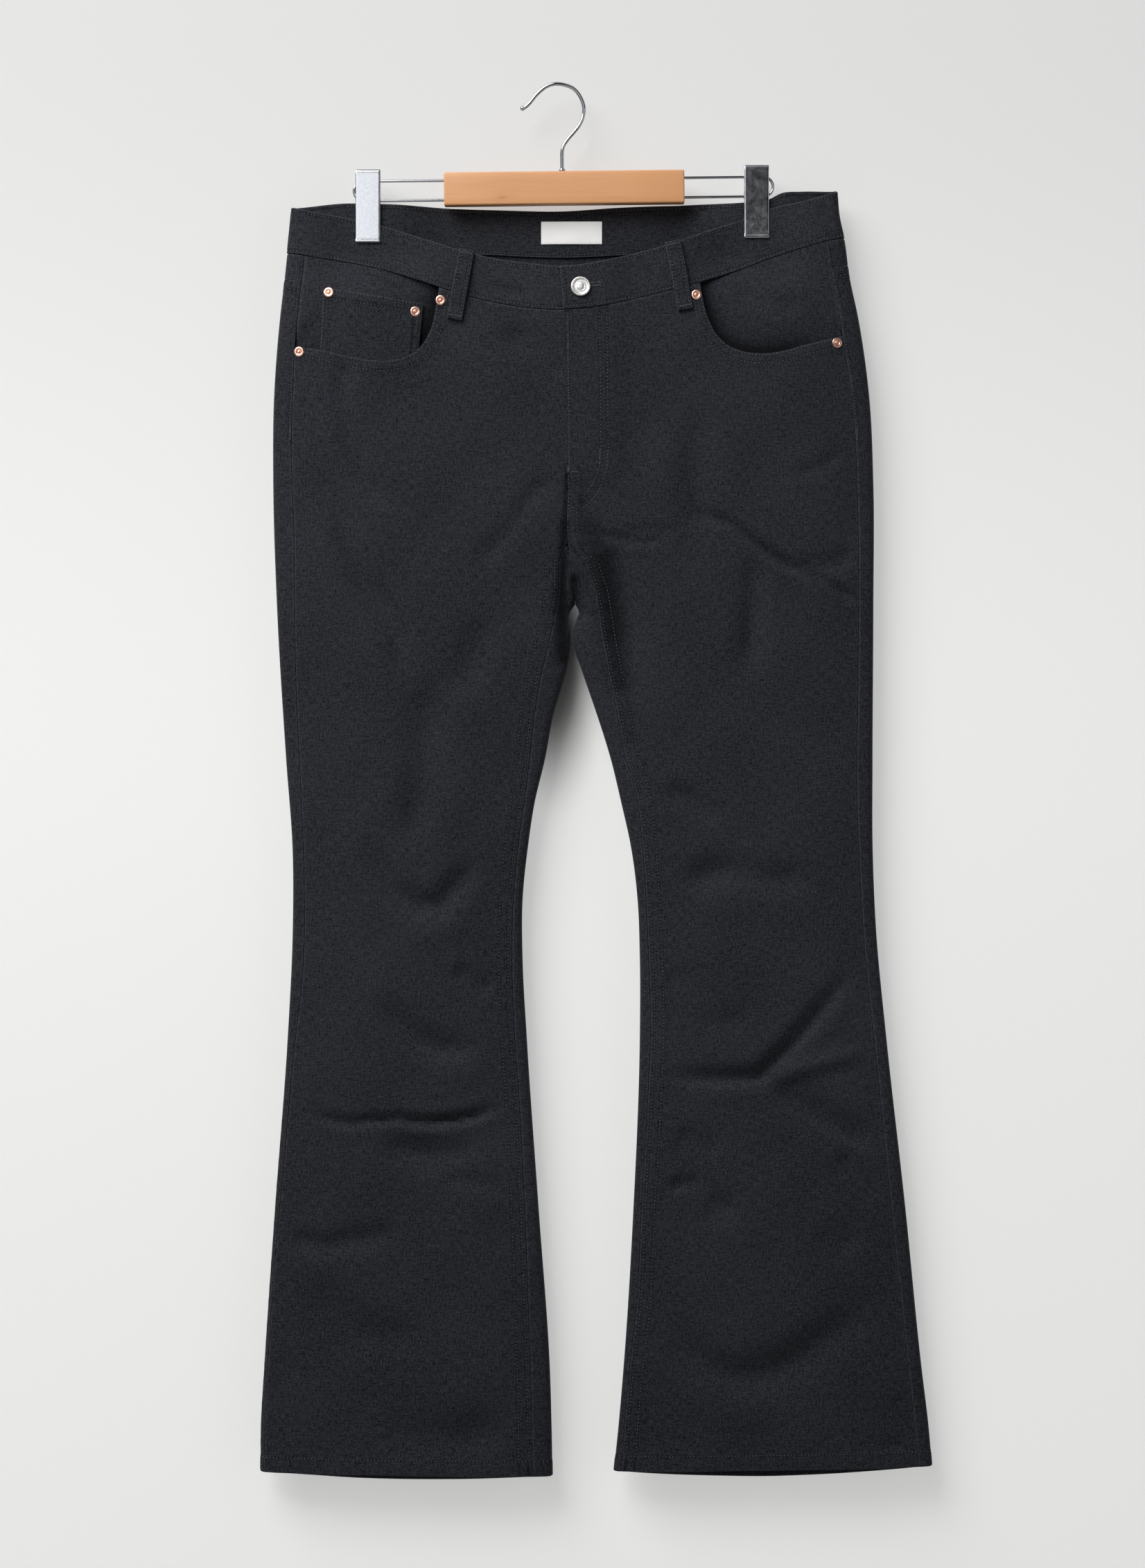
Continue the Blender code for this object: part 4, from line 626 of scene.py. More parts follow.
    def half_depth(self, x: Array, z: Array, side: Array, face: Array) -> Array:
        """How far a wall stands from the garment's middle plane."""
        outer, inner = self.edges(x, z, side)
        inside = np.clip(np.minimum(outer, inner), 0, None)
        radius = self.fold_radius
        rim = np.sqrt(radius**2 - (radius - np.minimum(inside, radius)) ** 2)
        swell = (HALF_DEPTH(z) - radius) * arch(outer / self.swell_width) * arch(inner / self.swell_width)
        free = rim + swell - self.relief(x, z, face) * ease(inside / self.relief_margin)
        free = free - np.minimum(self.hollow(x, z, face, "depth"), np.clip(free - self.least_depth, 0, None))
        held = self.grip(x, z)
        return free * (1 - held) + self.gripped * held

    def depth_squared(self, x: Array, z: Array, side: Array, face: Array) -> Array:
        """Smooth through a fold, where the half depth itself turns upright."""
        inside = np.minimum(*self.edges(x, z, side))
        return np.where(inside < 0, 2 * self.fold_radius * inside, self.half_depth(x, z, side, face) ** 2)

    def cloth(self, x: Any, z: Any, side: Any, face: Any, out: Any) -> Array:
        """Points of the surface, moved out level from it, or along its normal at the crotch.

        Args:
            x: places across.
            z: heights.
            side: the wearer's side.
            face: the wall.
            out: how far out.

        Returns:
            The points, with x, y and z last.
        """
        x, z, side, face, out = np.broadcast_arrays(*(np.asarray(v, float) for v in (x, z, side, face, out)))
        y = face * self.half_depth(x, z, side, face)
        h = self.slope_step
        slope_x = self.depth_squared(x + h, z, side, face) - self.depth_squared(x - h, z, side, face)
        slope_z = self.depth_squared(x, z + h, side, face) - self.depth_squared(x, z - h, side, face)
        turn = 1 - ease(self.edges(x, z, side)[1] / self.crotch_turn)
        turn = turn * (1 - ease((CROTCH.z - z) / self.fold_radius))
        normal = np.stack([-slope_x / (2 * h), 2 * y, -slope_z / (2 * h) * turn], axis=-1)
        normal /= np.linalg.norm(normal, axis=-1, keepdims=True)
        return np.stack([x, y, z], axis=-1) + normal * out[..., None]

    def arc(self, distance: Array) -> Array:
        """Length along the cloth from a fold to points this far inside it."""
        distance = np.asarray(distance, float)
        radius = self.fold_radius
        bend = radius * np.arccos(np.clip(1 - distance / radius, -1, 1))
        return np.where(distance < radius, bend, self.quarter + distance - radius)

    def distance(self, arc: Array) -> Array:
        """How far inside a fold points this far along the cloth lie."""
        bend = self.fold_radius * (1 - np.cos(np.clip(arc, 0, self.quarter) / self.fold_radius))
        return np.where(arc < self.quarter, bend, arc - self.quarter + self.fold_radius)

    def leg_span(self, z: Array, side: Side) -> Array:
        """Length across one wall of a leg, from its outer fold to its inner one."""
        width = side * (OUTER[side](z) - INNER[side](z))
        return width - 2 * self.fold_radius + 2 * self.quarter

    def wrap(self, arc: Array, z: Array, side: Side) -> tuple[Array, Array]:
        """Places from arcs: from the outer fold, + on the front wall and - on the back one.

        Args:
            arc: lengths along the cloth; below the crotch they run on past the inner fold.
            z: heights.
            side: the wearer's side.

        Returns:
            x and the wall of each.
        """
        below = z < CROTCH.z
        span = np.where(below, self.leg_span(z, side), np.inf)
        past = (arc < 0) & (-arc > span)
        across = np.where(past, 2 * np.where(below, span, 0) + arc, np.abs(arc))
        face = np.where((arc > 0) | past, Face.FRONT, Face.BACK)
        x = OUTER[side](z) - side * self.distance(across)
        to_inner = span - across
        near_inner = below & (to_inner < self.quarter)
        from_inner = self.distance(np.where(near_inner, to_inner, 0))
        return np.where(near_inner, INNER[side](z) + side * from_inner, x), face


FORM = Form()


def hem_height(x: Array, side: Side, face: Array | Face) -> Array:
    """z of the hem's lower edge: the back wall hangs a little lower than the front one."""
    hem = HEMS[side]
    outer, inner = OUTER[side](hem.outer), INNER[side](hem.inner)
    across = np.clip((x - outer) / (inner - outer), 0, 1)
    level = hem.outer + (hem.inner - hem.outer) * across
    return level - np.where(np.asarray(face) == Face.BACK, hem.back_sag * np.sin(math.pi * across) ** 0.7, 0)


def in_hem(above: Array) -> Array:
    """1 on the turned hem and 0 above its stitches, from the height above its lower edge."""
    return 1 - ease((above - HEM_DEPTH + HEM_STEP_FROM) / HEM_STEP)


# ---------------------------------------------------------------- sewn edges


@dataclass(frozen=True)
class Edge:
    """How cloth lies beside an edge: its stitch rows, the turned allowance under it and its rolled rim."""

    rows: tuple[float, ...] = ()
    band: float = 0.0
    rise: float = 0.0
    roll: float = 0.5
    groove: float = 0.26
    pucker: float = 0.0
    reach: float = 1.1
    near: tuple[float, ...] = (0.0, 0.35, 0.9, 1.8, 3.2, 5.5)

    def lift(self, distance: Array, along: Array) -> Array:
        """How far the cloth stands out there.

        Args:
            distance: how far points lie from the edge.
            along: where they lie along it.

        Returns:
            The lifts.
        """
        d = np.clip(distance, 0, None)
        lift = -self.roll * (1 - np.sqrt(1 - (1 - np.clip(d / self.reach, 0, 1)) ** 2))
        if self.band:
            lift = lift + self.rise * (1 - ease((d - self.band) / BAND_FADE))
        for row in self.rows:
            lift = lift - self.groove * np.exp(-(((d - row) / GROOVE_WIDTH) ** 2))
        if self.pucker:
            long, short = (2 * math.pi * along / wave for wave in PUCKER_WAVES)
            wave = np.sin(long + PUCKER_SHIFT) + PUCKER_SHARE * np.sin(short)
            lift = lift + self.pucker * wave * np.exp(-((d / PUCKER_REACH) ** 2))
        return lift

    def shade(self, distance: Array) -> Array:
        """Painted shade in the cloth where the rows pull it down.

        Args:
            distance: how far points lie from the edge.

        Returns:
            0 to 1.
        """
        dark = (np.exp(-(((distance - row) / SHADE_WIDTH) ** 2)) for row in self.rows)
        return sum(dark, np.zeros(np.shape(distance)))


class Seam(NamedTuple):
    """How a sewn edge bears on points of the cloth."""

    edge: Edge
    distance: Array
    along: Array
    share: Array | float = 1.0


def lifted(seams: Sequence[Seam]) -> Array:
    """How far the seams lift the cloth."""
    return sum(seam.share * seam.edge.lift(seam.distance, seam.along) for seam in seams)


def toned(seams: Sequence[Seam]) -> Array:
    """How pale the cloth is rubbed at its edges, less the painted shade beside its stitches."""
    rubbed = [seam.share * np.exp(-((np.clip(seam.distance, 0, None) / RUB_WIDTH) ** 2)) for seam in seams]
    dark = [seam.share * seam.edge.shade(seam.distance) for seam in seams]
    return np.maximum.reduce(rubbed) - STITCH_SHADE * np.maximum.reduce(dark)


FINE = (0.0, 0.35, 0.9, 1.7, 2.5, 3.4, 4.3, 5.6, 7.4, 9.4, 10.6, 11.4, 12.2, 13.4, 15.5)
FLY_ROWS = (28.3, 34.5)
FLY_FINE = (*FINE, 20.5, 25.5, 27.4, 28.3, 29.2, 31.4, 33.6, 34.5, 35.4, 37.5)
PLAIN = Edge(roll=0.35)
FLY_CURVE = Edge(rows=FLY_ROWS, roll=0.0)
BAND_END = Edge(rows=(2.6,), roll=0.9)
INSEAM_EDGE = Edge(rows=(3.4, 11.4), band=13.0, rise=0.4, roll=0.85, pucker=0.16, near=FINE)
OUTSEAM_EDGE = Edge(roll=0.55, pucker=0.08)
OUTSEAM_STITCHED = Edge(rows=(1.9,), band=3.6, rise=0.25, roll=0.6, pucker=0.1)
FLY_EDGE = Edge(rows=(1.3,), band=3.0, rise=0.1, roll=0.8, pucker=0.06)
RISE_EDGE = Edge(rows=(1.3, 8.6), band=10.5, rise=0.35, roll=0.75, pucker=0.12)
MOUTH_EDGE = Edge(rows=(1.5, 8.4), band=10.4, rise=0.35, roll=1.1, pucker=0.10,
                  near=(0.0, 0.35, 0.9, 1.5, 2.2, 3.4, 5.4, 7.4, 8.4, 9.4, 11.0, 13.0))
YOKE_EDGE = Edge(rows=(1.2, 8.3), band=10.0, rise=0.35, roll=0.7, pucker=0.12,
                 near=(0.0, 0.35, 0.9, 1.6, 2.6, 4.6, 7.2, 8.3, 9.4, 11.5))
PATCH_EDGE = Edge(rows=(1.5, 8.0), band=9.6, rise=0.3, roll=0.8, pucker=0.08,
                  near=(0.0, 0.35, 0.9, 1.6, 2.5, 4.4, 7.0, 8.0, 9.0, 10.8))
BAND_TOP = Edge(rows=(3.0,), roll=1.0, reach=1.5, groove=0.3, pucker=0.10,
                near=(0.0, 0.3, 0.8, 1.5, 2.2, 3.0, 3.8, 5.2))
BAND_SEAM = Edge(rows=(2.5,), roll=0.9, reach=1.2, groove=0.3, pucker=0.12,
                 near=(0.0, 0.3, 0.8, 1.5, 2.0, 2.6, 3.4, 4.8))
HEM_EDGE = Edge(rows=(13.1,), roll=1.1, reach=1.5, groove=0.3, pucker=0.14,
                near=(0.0, 0.35, 0.9, 1.7, 3.2, 5.4, 8.0, 10.6, 12.2, 12.8, 13.4, 13.9, 14.4, 14.9, 15.6,
                      17.5))


@dataclass(frozen=True)
class Spread:
    """Lines between two edges: some at set distances from each edge, the rest evenly between."""

    start: tuple[float, ...] = (0.0,)
    end: tuple[float, ...] = (0.0,)
    between: int = 10
    slack: float = 1.15

    def weights(self, even: Array | None = None) -> tuple[Array, Array]:
        """The share of the way across, and the offset, of each line.

        Args:
            even: shares of the lines between, if they aren't even.

        Returns:
            Shares and offsets.
        """
        t = np.linspace(0, 1, self.between + 2)[1:-1] if even is None else even
        share = np.concatenate([np.zeros(len(self.start)), t, np.ones(len(self.end))])
        offset = np.concatenate([self.start, self.start[-1] * (1 - t) - self.end[-1] * t,
                                 -np.array(self.end[::-1])])
        return share, offset

    def room(self, width: Array) -> Array:
        """The share of the set distances that a width has room for."""
        return np.minimum(1, width / (self.slack * (self.start[-1] + self.end[-1]) + 1e-6))

    def places(self, start: Array | float, end: Array | float) -> Array:
        """Where the lines lie.

        Args:
            start: the first edge, one value or an array.
            end: the other edge.

        Returns:
            The places, with the lines as the last axis.
        """
        first, last = np.asarray(start, float)[..., None], np.asarray(end, float)[..., None]
        share, offset = self.weights()
        room = self.room(np.abs(last - first))
        return first + (last - first) * share + np.sign(last - first) * offset * room


# ---------------------------------------------------------------- shaders


class Value:
    """A shader socket that takes part in sums; each sum adds a Math node."""

    def __init__(self, shader: "Shader", socket: bpy.types.NodeSocket) -> None:
        """Wraps a socket.

        Args:
            shader: the shader that it belongs to.
            socket: an output.
        """
        self.shader = shader
        self.socket = socket

    def math(self, operation: str, *terms: Any) -> "Value":
        """A Math node on these terms.

        Args:
            operation: Blender's name of it.
            terms: values or numbers.

        Returns:
            Its result.
        """
        return self.shader.node("ShaderNodeMath", {"operation": operation}, dict(enumerate(terms)))

    def __add__(self, other: Any) -> "Value":
        """The sum."""
        return self.math("ADD", self, other)

    __radd__ = __add__

    def __sub__(self, other: Any) -> "Value":
        """The difference."""
        return self.math("SUBTRACT", self, other)

    def __rsub__(self, other: Any) -> "Value":
        """The difference from a number."""
        return self.math("SUBTRACT", other, self)

    def __mul__(self, other: Any) -> "Value":
        """The product."""
        return self.math("MULTIPLY", self, other)

    __rmul__ = __mul__

    def clamped(self) -> "Value":
        """Held between 0 and 1."""
        return self.shader.node("ShaderNodeClamp", {}, {0: self})

    def step(self, start: float, end: float) -> "Value":
        """A smooth step from 0 at start to 1 at end."""
        return self.shader.node("ShaderNodeMapRange", {"interpolation_type": "SMOOTHSTEP"},
                                {0: self, 1: start, 2: end})


class Shader:
    """One material and the way its nodes are added."""

    def __init__(self, name: str) -> None:
        """Starts a material.

        Args:
            name: its name.
        """
        self.material = bpy.data.materials.new(name)
        self.material.use_nodes = True
        self.tree = self.material.node_tree
        self.surface = self.tree.nodes["Principled BSDF"]

    def node(self, kind: str, settings: dict[str, Any], inputs: dict[Any, Any], output: Any = 0) -> Value:
        """Adds a node.

        Args:
            kind: its type.
            settings: its properties.
            inputs: values or links of its sockets, by name or number.
            output: the socket that is wanted.

        Returns:
            That output.
        """
        made = self.tree.nodes.new(kind)
        for name, setting in settings.items():
            setattr(made, name, setting)
        for name, value in inputs.items():
            if isinstance(value, Value):
                self.tree.links.new(value.socket, made.inputs[name])
            else:
                made.inputs[name].default_value = value
        return Value(self, made.outputs[output])

    def stretched(self, vector: Value, scale: tuple[float, float, float]) -> Value:
        """Coordinates times a scale for each axis."""
        return self.node("ShaderNodeVectorMath", {"operation": "MULTIPLY"}, {0: vector, 1: scale})

    def noise(self, vector: Value, scale: tuple[float, float, float], detail: float = 2.0,
              roughness: float = 0.5, distortion: float = 0.0) -> Value:
        """Noise on stretched coordinates.

        Args:
            vector: the coordinates, in metres.
            scale: waves a metre on each axis.
            detail: finer layers.
            roughness: their share.
            distortion: how far they wander.

        Returns:
            The noise, round 0.5.
        """
        inputs = {"Vector": self.stretched(vector, scale), "Scale": 1.0, "Detail": detail,
                  "Roughness": roughness, "Distortion": distortion}
        return self.node("ShaderNodeTexNoise", {}, inputs)

    def mix(self, factor: Any, low: Any, high: Any) -> Value:
        """A colour between two.

        Args:
            factor: 0 gives low and 1 high.
            low: a colour or a value.
            high: a colour or a value.

        Returns:
            The colour.
        """
        low = low if isinstance(low, Value) else (*low, 1)
        high = high if isinstance(high, Value) else (*high, 1)
        return self.node("ShaderNodeMix", {"data_type": "RGBA"}, {0: factor, 6: low, 7: high}, 2)

    def place(self) -> Value:
        """Object coordinates, in metres."""
        return self.node("ShaderNodeTexCoord", {}, {}, "Object")

    def apart(self, point: tuple[float, float, float]) -> Value:
        """Object coordinates from a point."""
        return self.node("ShaderNodeVectorMath", {"operation": "SUBTRACT"}, {0: self.place(), 1: point})

    def length(self, vector: Value, scale: tuple[float, float, float]) -> Value:
        """The length of a vector times a scale for each axis."""
        scaled = self.stretched(vector, scale)
        return self.node("ShaderNodeVectorMath", {"operation": "LENGTH"}, {0: scaled}, "Value")

    def cloth_map(self) -> Value:
        """The piece's own flat coordinates, in metres."""
        return self.node("ShaderNodeUVMap", {"uv_map": "cloth"}, {})

    def attribute(self, name: str) -> Value:
        """A number kept at each point of the mesh."""
        return self.node("ShaderNodeAttribute", {"attribute_name": name}, {}, "Fac")

    def bump(self, height: Value, depth: float, strength: float) -> Value:
        """A normal from a height.

        Args:
            height: 0 to 1.
            depth: how deep 1 is, in metres.
            strength: its share.

        Returns:
            The normal.
        """
        return self.node("ShaderNodeBump", {}, {"Height": height, "Distance": depth, "Strength": strength})

    def finish(self, inputs: dict[str, Any]) -> bpy.types.Material:
        """Sets the surface.

        Args:
            inputs: values or links of the Principled sockets.

        Returns:
            The material.
        """
        for name, value in inputs.items():
            if isinstance(value, Value):
                self.tree.links.new(value.socket, self.surface.inputs[name])
            else:
                self.surface.inputs[name].default_value = value
        return self.material


@dataclass(frozen=True)
class Denim:
    """Washed charcoal stretch denim: a fine crosshatch of threads, cloudy, paler on worn edges and darkened by
    painted shade.
    """

    name: str = "denim"
    deep: tuple[float, float, float] = (0.0030, 0.0033, 0.0045)
    pale: tuple[float, float, float] = (0.0374, 0.0397, 0.0482)
    across: bool = False

    def make(self) -> bpy.types.Material:
        """The material."""
        shade = Shader(self.name)
        flat = shade.cloth_map()
        along, over = ((150.0, 760.0, 1.0), (820.0, 170.0, 1.0))
        if not self.across:
            along, over = over, along
        warp = shade.noise(flat, along, 2.0, 0.6, 0.1)
        weft = shade.noise(flat, over, 2.0, 0.6, 0.1)
        fleck = shade.noise(flat, (640.0, 640.0, 1.0), 3.0, 0.8)
        cloud = shade.noise(shade.place(), (9.0, 9.0, 9.0), 4.0, 0.6)
        height = shade.node("ShaderNodeSeparateXYZ", {}, {0: shade.place()}, 2)
        # This point attribute holds real wear and painted shade: above 0 paler rubbed edges, below 0 painted
        # shade beside stitches, in the crotch folds and inside the pocket mouths.
        wear = shade.attribute("wear")
        weave = (warp - 0.5) * 1.2 + (weft - 0.5) * 1.0 + (fleck - 0.5) * 2.6
        # Painted shade: the cloth darkens more than 0.8 m down, standing in for the light falling off towards the
        # hems.
        low = (height * -1.0).step(0.8, 1.2)
        tone = 0.42 + (cloud - 0.5) * 0.3 - low * 0.08 + weave * 0.80
        light = (tone + wear * (0.34 + weave * 0.4)).clamped()
        height = warp * 0.5 + weft * 0.45 + fleck * 0.5
        return shade.finish({
            "Base Color": shade.mix(light, self.deep, self.pale),
            "Roughness": 0.86 + (fleck - 0.5) * 0.2,
            "Normal": shade.bump(height, 0.00045, 0.8),
            "Specular IOR Level": 0.08,
            "Sheen Weight": 0.02,
            "Sheen Roughness": 0.5,
        })


@dataclass(frozen=True)
class Thread:
    """Grey sewing thread, twisted from plies."""

    name: str = "thread"
    deep: tuple[float, float, float] = (0.012, 0.013, 0.016)
    pale: tuple[float, float, float] = (0.056, 0.058, 0.065)

    def make(self) -> bpy.types.Material:
        """The material."""
        shade = Shader(self.name)
        place = shade.place()
        tint = shade.noise(place, (420.0, 420.0, 420.0), 2.0, 0.6)
        ply = shade.noise(place, (2600.0, 2600.0, 1800.0), 1.0)
        return shade.finish({
            "Base Color": shade.mix((tint * 1.5 - 0.3 + (ply - 0.5) * 0.5).clamped(), self.deep, self.pale),
            "Roughness": 0.55 + (ply - 0.5) * 0.3,
            "Normal": shade.bump(ply, 0.00012, 0.8),
            "Specular IOR Level": 0.35,
            "Sheen Weight": 0.1,
        })


@dataclass(frozen=True)
class LabelCloth:
    """Smooth white woven tape, left bare."""

    name: str = "label_cloth"
    colour: tuple[float, float, float] = (0.86, 0.86, 0.85)
    shadow: tuple[float, float, float] = (0.72, 0.72, 0.72)

    def make(self) -> bpy.types.Material:
        """The material."""
        shade = Shader(self.name)
        flat = shade.cloth_map()
        warp, weft = shade.noise(flat, (260.0, 2200.0, 1.0)), shade.noise(flat, (1900.0, 260.0, 1.0))
        weave = warp * 0.5 + weft * 0.5
        return shade.finish({
            "Base Color": shade.mix((weave * 1.6 - 0.3).clamped(), self.shadow, self.colour),
            "Roughness": 0.6 + (weave - 0.5) * 0.2,
            "Normal": shade.bump(weave, 0.00015, 0.5),
            "Specular IOR Level": 0.3,
            "Sheen Weight": 0.1,
        })


class Polish(Enum):
    """How a metal is finished."""

    BRIGHT = 0.05
    BRUSHED = 0.2
    WORN = 0.3
    MATT = 0.4


@dataclass(frozen=True)
class Metal:
    """Plated metal, with faint scuffs and uneven gloss."""

    name: str
    colour: tuple[float, float, float]
    stain: tuple[float, float, float]
    polish: Polish
    scuff: float = 0.08

    def make(self) -> bpy.types.Material:
        """The material."""
        shade = Shader(self.name)
        place = shade.place()
        blotch = shade.noise(place, (140.0, 140.0, 140.0), 3.0, 0.6)
        fine = shade.noise(place, (2200.0, 2200.0, 700.0))
        rough = self.polish.value + (blotch - 0.5) * self.scuff + (fine - 0.5) * self.scuff
        return shade.finish({
            "Base Color": shade.mix((blotch * 1.8 - 0.5).clamped(), self.stain, self.colour),
            "Roughness": rough.clamped(),
            "Normal": shade.bump(fine, 0.00002, 0.35),
            "Metallic": 1.0,
        })


@dataclass(frozen=True)
class Wood:
    """Light, clear-lacquered wood with fine grain along X and one small knot."""

    name: str = "wood"
    pale: tuple[float, float, float] = (0.55, 0.275, 0.127)
    dark: tuple[float, float, float] = (0.37, 0.158, 0.063)
    knot: tuple[float, float, float] = (-0.0460, -0.006, -0.0975)
    knot_colour: tuple[float, float, float] = (0.36, 0.135, 0.055)

    def make(self) -> bpy.types.Material:
        """The material."""
        shade = Shader(self.name)
        place = shade.place()
        apart = shade.apart(self.knot)
        away = shade.length(apart, (0.42, 0.3, 1.0))
        knot = 1 - away.step(0.0004, 0.0026)
        ring = 1 - away.step(0.002, 0.0075)
        bent = shade.node("ShaderNodeVectorMath", {"operation": "MULTIPLY_ADD"},
                          {0: apart, 1: (1.0, 1.0, 1.0), 2: shade.stretched(apart, (0.02, 0.0, 0.5))})
        grain = shade.noise(bent, (16.0, 260.0, 420.0), 4.0, 0.6, 0.6)
        bands = shade.noise(place, (6.0, 60.0, 95.0), 2.0, 0.5, 1.0)
        pores = shade.noise(place, (120.0, 900.0, 1500.0), 2.0, 0.7)
        dark = ((grain - 0.46) * 0.75 + (bands - 0.5) * 0.45 + (pores - 0.55) * 0.3 + ring * 0.12).clamped()
        grained = shade.mix(dark, self.pale, self.dark)
        return shade.finish({
            "Base Color": shade.mix(knot * 0.4, grained, self.knot_colour),
            "Roughness": 0.42 + (pores - 0.5) * 0.2,
            "Normal": shade.bump(grain * 0.6 + pores * 0.4, 0.00012, 0.35),
            "Specular IOR Level": 0.4,
            "Coat Weight": 0.15,
            "Coat Roughness": 0.3,
        })


@dataclass(frozen=True)
class Plaster:
    """Pale matt plaster. Where it is one-sided it is clear from behind, so that the room is open there.

    It gives off an even light of its own, but for one place where that glow is left out as a painted shadow, and
    its colour is painted darker towards the top as shade.
    """

    name: str
    colour: tuple[float, float, float]
    one_sided: bool
    glow: float
    glow_colour: tuple[float, float, float] = (1.0, 1.0, 0.995)
    top_share: float = 0.6
    unlit_at: tuple[float, float, float] = (0.0, 0.0, -0.5)
    unlit_reach: tuple[float, float] = (0.045, 0.13)

    def make(self) -> bpy.types.Material:
        """The material."""
        shade = Shader(self.name)
        tooth = shade.noise(shade.place(), (160.0, 160.0, 160.0), 3.0)
        patch = shade.noise(shade.place(), (2.2, 2.2, 2.2), 2.0)
        height = shade.node("ShaderNodeSeparateXYZ", {}, {0: shade.place()}, 2)
        # Painted shade: the colour darkens towards the top, to a share of itself.
        level = (height.step(-0.65, 0.15) * -1.0 + 1.0) * 0.96 + patch * 0.04
        # Painted shadow: the glow fades out round a place between the legs just below the crotch.
        across, down = self.unlit_reach
        away = shade.length(shade.apart(self.unlit_at), (1 / across, 0.0, 1 / down))
        made = shade.finish({
            "Base Color": shade.mix(level, tuple(c * self.top_share for c in self.colour), self.colour),
            "Roughness": 0.9,
            "Normal": shade.bump(tooth, 0.0003, 0.15),
            "Specular IOR Level": 0.1,
            "Emission Color": shade.mix(away.step(0.3, 1.1), (0.0, 0.0, 0.0), self.glow_colour),
            "Emission Strength": self.glow,
        })
        if self.one_sided:
            behind = shade.node("ShaderNodeNewGeometry", {}, {}, "Backfacing")
            clear = shade.node("ShaderNodeBsdfTransparent", {}, {})
            both = shade.node("ShaderNodeMixShader", {}, {0: behind, 2: clear})
            shade.tree.links.new(shade.surface.outputs[0], both.socket.node.inputs[1])
            shade.tree.links.new(both.socket, shade.tree.nodes["Material Output"].inputs[0])
        return made


class Finishes:
    """Every finish of the part, each made once."""

    def __init__(self) -> None:
        """Makes them all."""
        self.denim = Denim().make()
        self.band_denim = Denim("denim_across", (0.0034, 0.0037, 0.0050), (0.0380, 0.0400, 0.0477),
                                across=True).make()
        self.facing_denim = Denim("denim_facing", (0.0029, 0.0032, 0.0043), (0.0362, 0.0381, 0.0461)).make()
        self.thread = Thread().make()
        self.label = LabelCloth().make()
        self.nickel = Metal("nickel", (0.93, 0.92, 0.90), (0.80, 0.79, 0.77), Polish.MATT).make()
        self.copper = Metal("copper", (0.92, 0.60, 0.50), (0.74, 0.40, 0.31), Polish.WORN).make()
        self.chrome = Metal("chrome", (0.56, 0.56, 0.58), (0.42, 0.42, 0.44), Polish.BRIGHT, 0.04).make()
        self.plate = Metal("chrome_plate", (0.60, 0.61, 0.63), (0.46, 0.47, 0.50), Polish.BRUSHED, 0.2).make()
        self.wood = Wood().make()


# ---------------------------------------------------------------- shells of cloth


def ladder(rows: Sequence[Array] | Array) -> Array:
    """Quads between each row of point numbers and the next.

    Args:
        rows: point numbers, as many in each row.

    Returns:
        The quads.
    """
    rows = np.asarray(rows)
    corners = [rows[:-1, :-1], rows[:-1, 1:], rows[1:, 1:], rows[1:, :-1]]
    return np.stack(corners, axis=-1).reshape(-1, 4)


@dataclass
class Sheet:
    """A closed thin shell: an outer face and an inner one on the same points, joined round their rim."""

    name: str
    outer: Array
    inner: Array
    quads: Array
    flat: Array
    wear: Array

    def rim(self) -> Array:
        """Edges that only one quad has, as it runs along them."""
        starts, ends = self.quads.ravel(), np.roll(self.quads, -1, axis=1).ravel()
        count = len(self.outer)
        keys, back = starts * count + ends, ends * count + starts
        alone = ~np.isin(keys, back)
        return np.stack([starts[alone], ends[alone]], axis=1)

    def build(self, finish: bpy.types.Material) -> Object:
        """The object, with its flat map and its wear and painted shade.

        Args:
            finish: its material.

        Returns:
            The object.
        """
        count = len(self.outer)
        rim = self.rim()
        sides = np.stack([rim[:, 1], rim[:, 0], rim[:, 0] + count, rim[:, 1] + count], axis=1)
        faces = np.concatenate([self.quads, self.quads[:, ::-1] + count, sides])
        mesh = bpy.data.meshes.new(self.name)
        mesh.from_pydata((np.concatenate([self.outer, self.inner]) * MM).tolist(), [], faces.tolist())
        shape = bmesh.new()
        shape.from_mesh(mesh)
        bmesh.ops.recalc_face_normals(shape, faces=shape.faces)
        shape.to_mesh(mesh)
        shape.free()
        corners = np.empty(len(mesh.loops), np.int32)
        mesh.loops.foreach_get("vertex_index", corners)
        flat = mesh.uv_layers.new(name="cloth")
        flat.data.foreach_set("uv", (self.flat * MM)[corners % count].ravel().astype(np.float32))
        # A point attribute of real wear, paler rubbed edges above 0, and painted shade below 0.
        wear = mesh.attributes.new("wear", "FLOAT", "POINT")
        wear.data.foreach_set("value", np.tile(self.wear, 2).astype(np.float32))
        mesh.shade_smooth()
        mesh.set_sharp_from_angle(angle=math.radians(CLOTH_SHARP))
        mesh.materials.append(finish)
        made = bpy.data.objects.new(self.name, mesh)
        bpy.context.scene.collection.objects.link(made)
        return made

    def cut(self) -> tuple[tuple[float, float], float]:
        """The size that the piece was cut to: its flat width and length, and its area, in metres."""
        a, b, c, d = (self.outer[self.quads[:, i]] for i in range(4))
        area = np.linalg.norm(np.cross(c - a, d - b), axis=1).sum() / 2
        width, length = self.flat.max(axis=0) - self.flat.min(axis=0)
        width, length = max(float(width) * MM, 0.01), max(float(length) * MM, 0.01)
        return (round(width, 4), round(length, 4)), float(area) * MM * MM


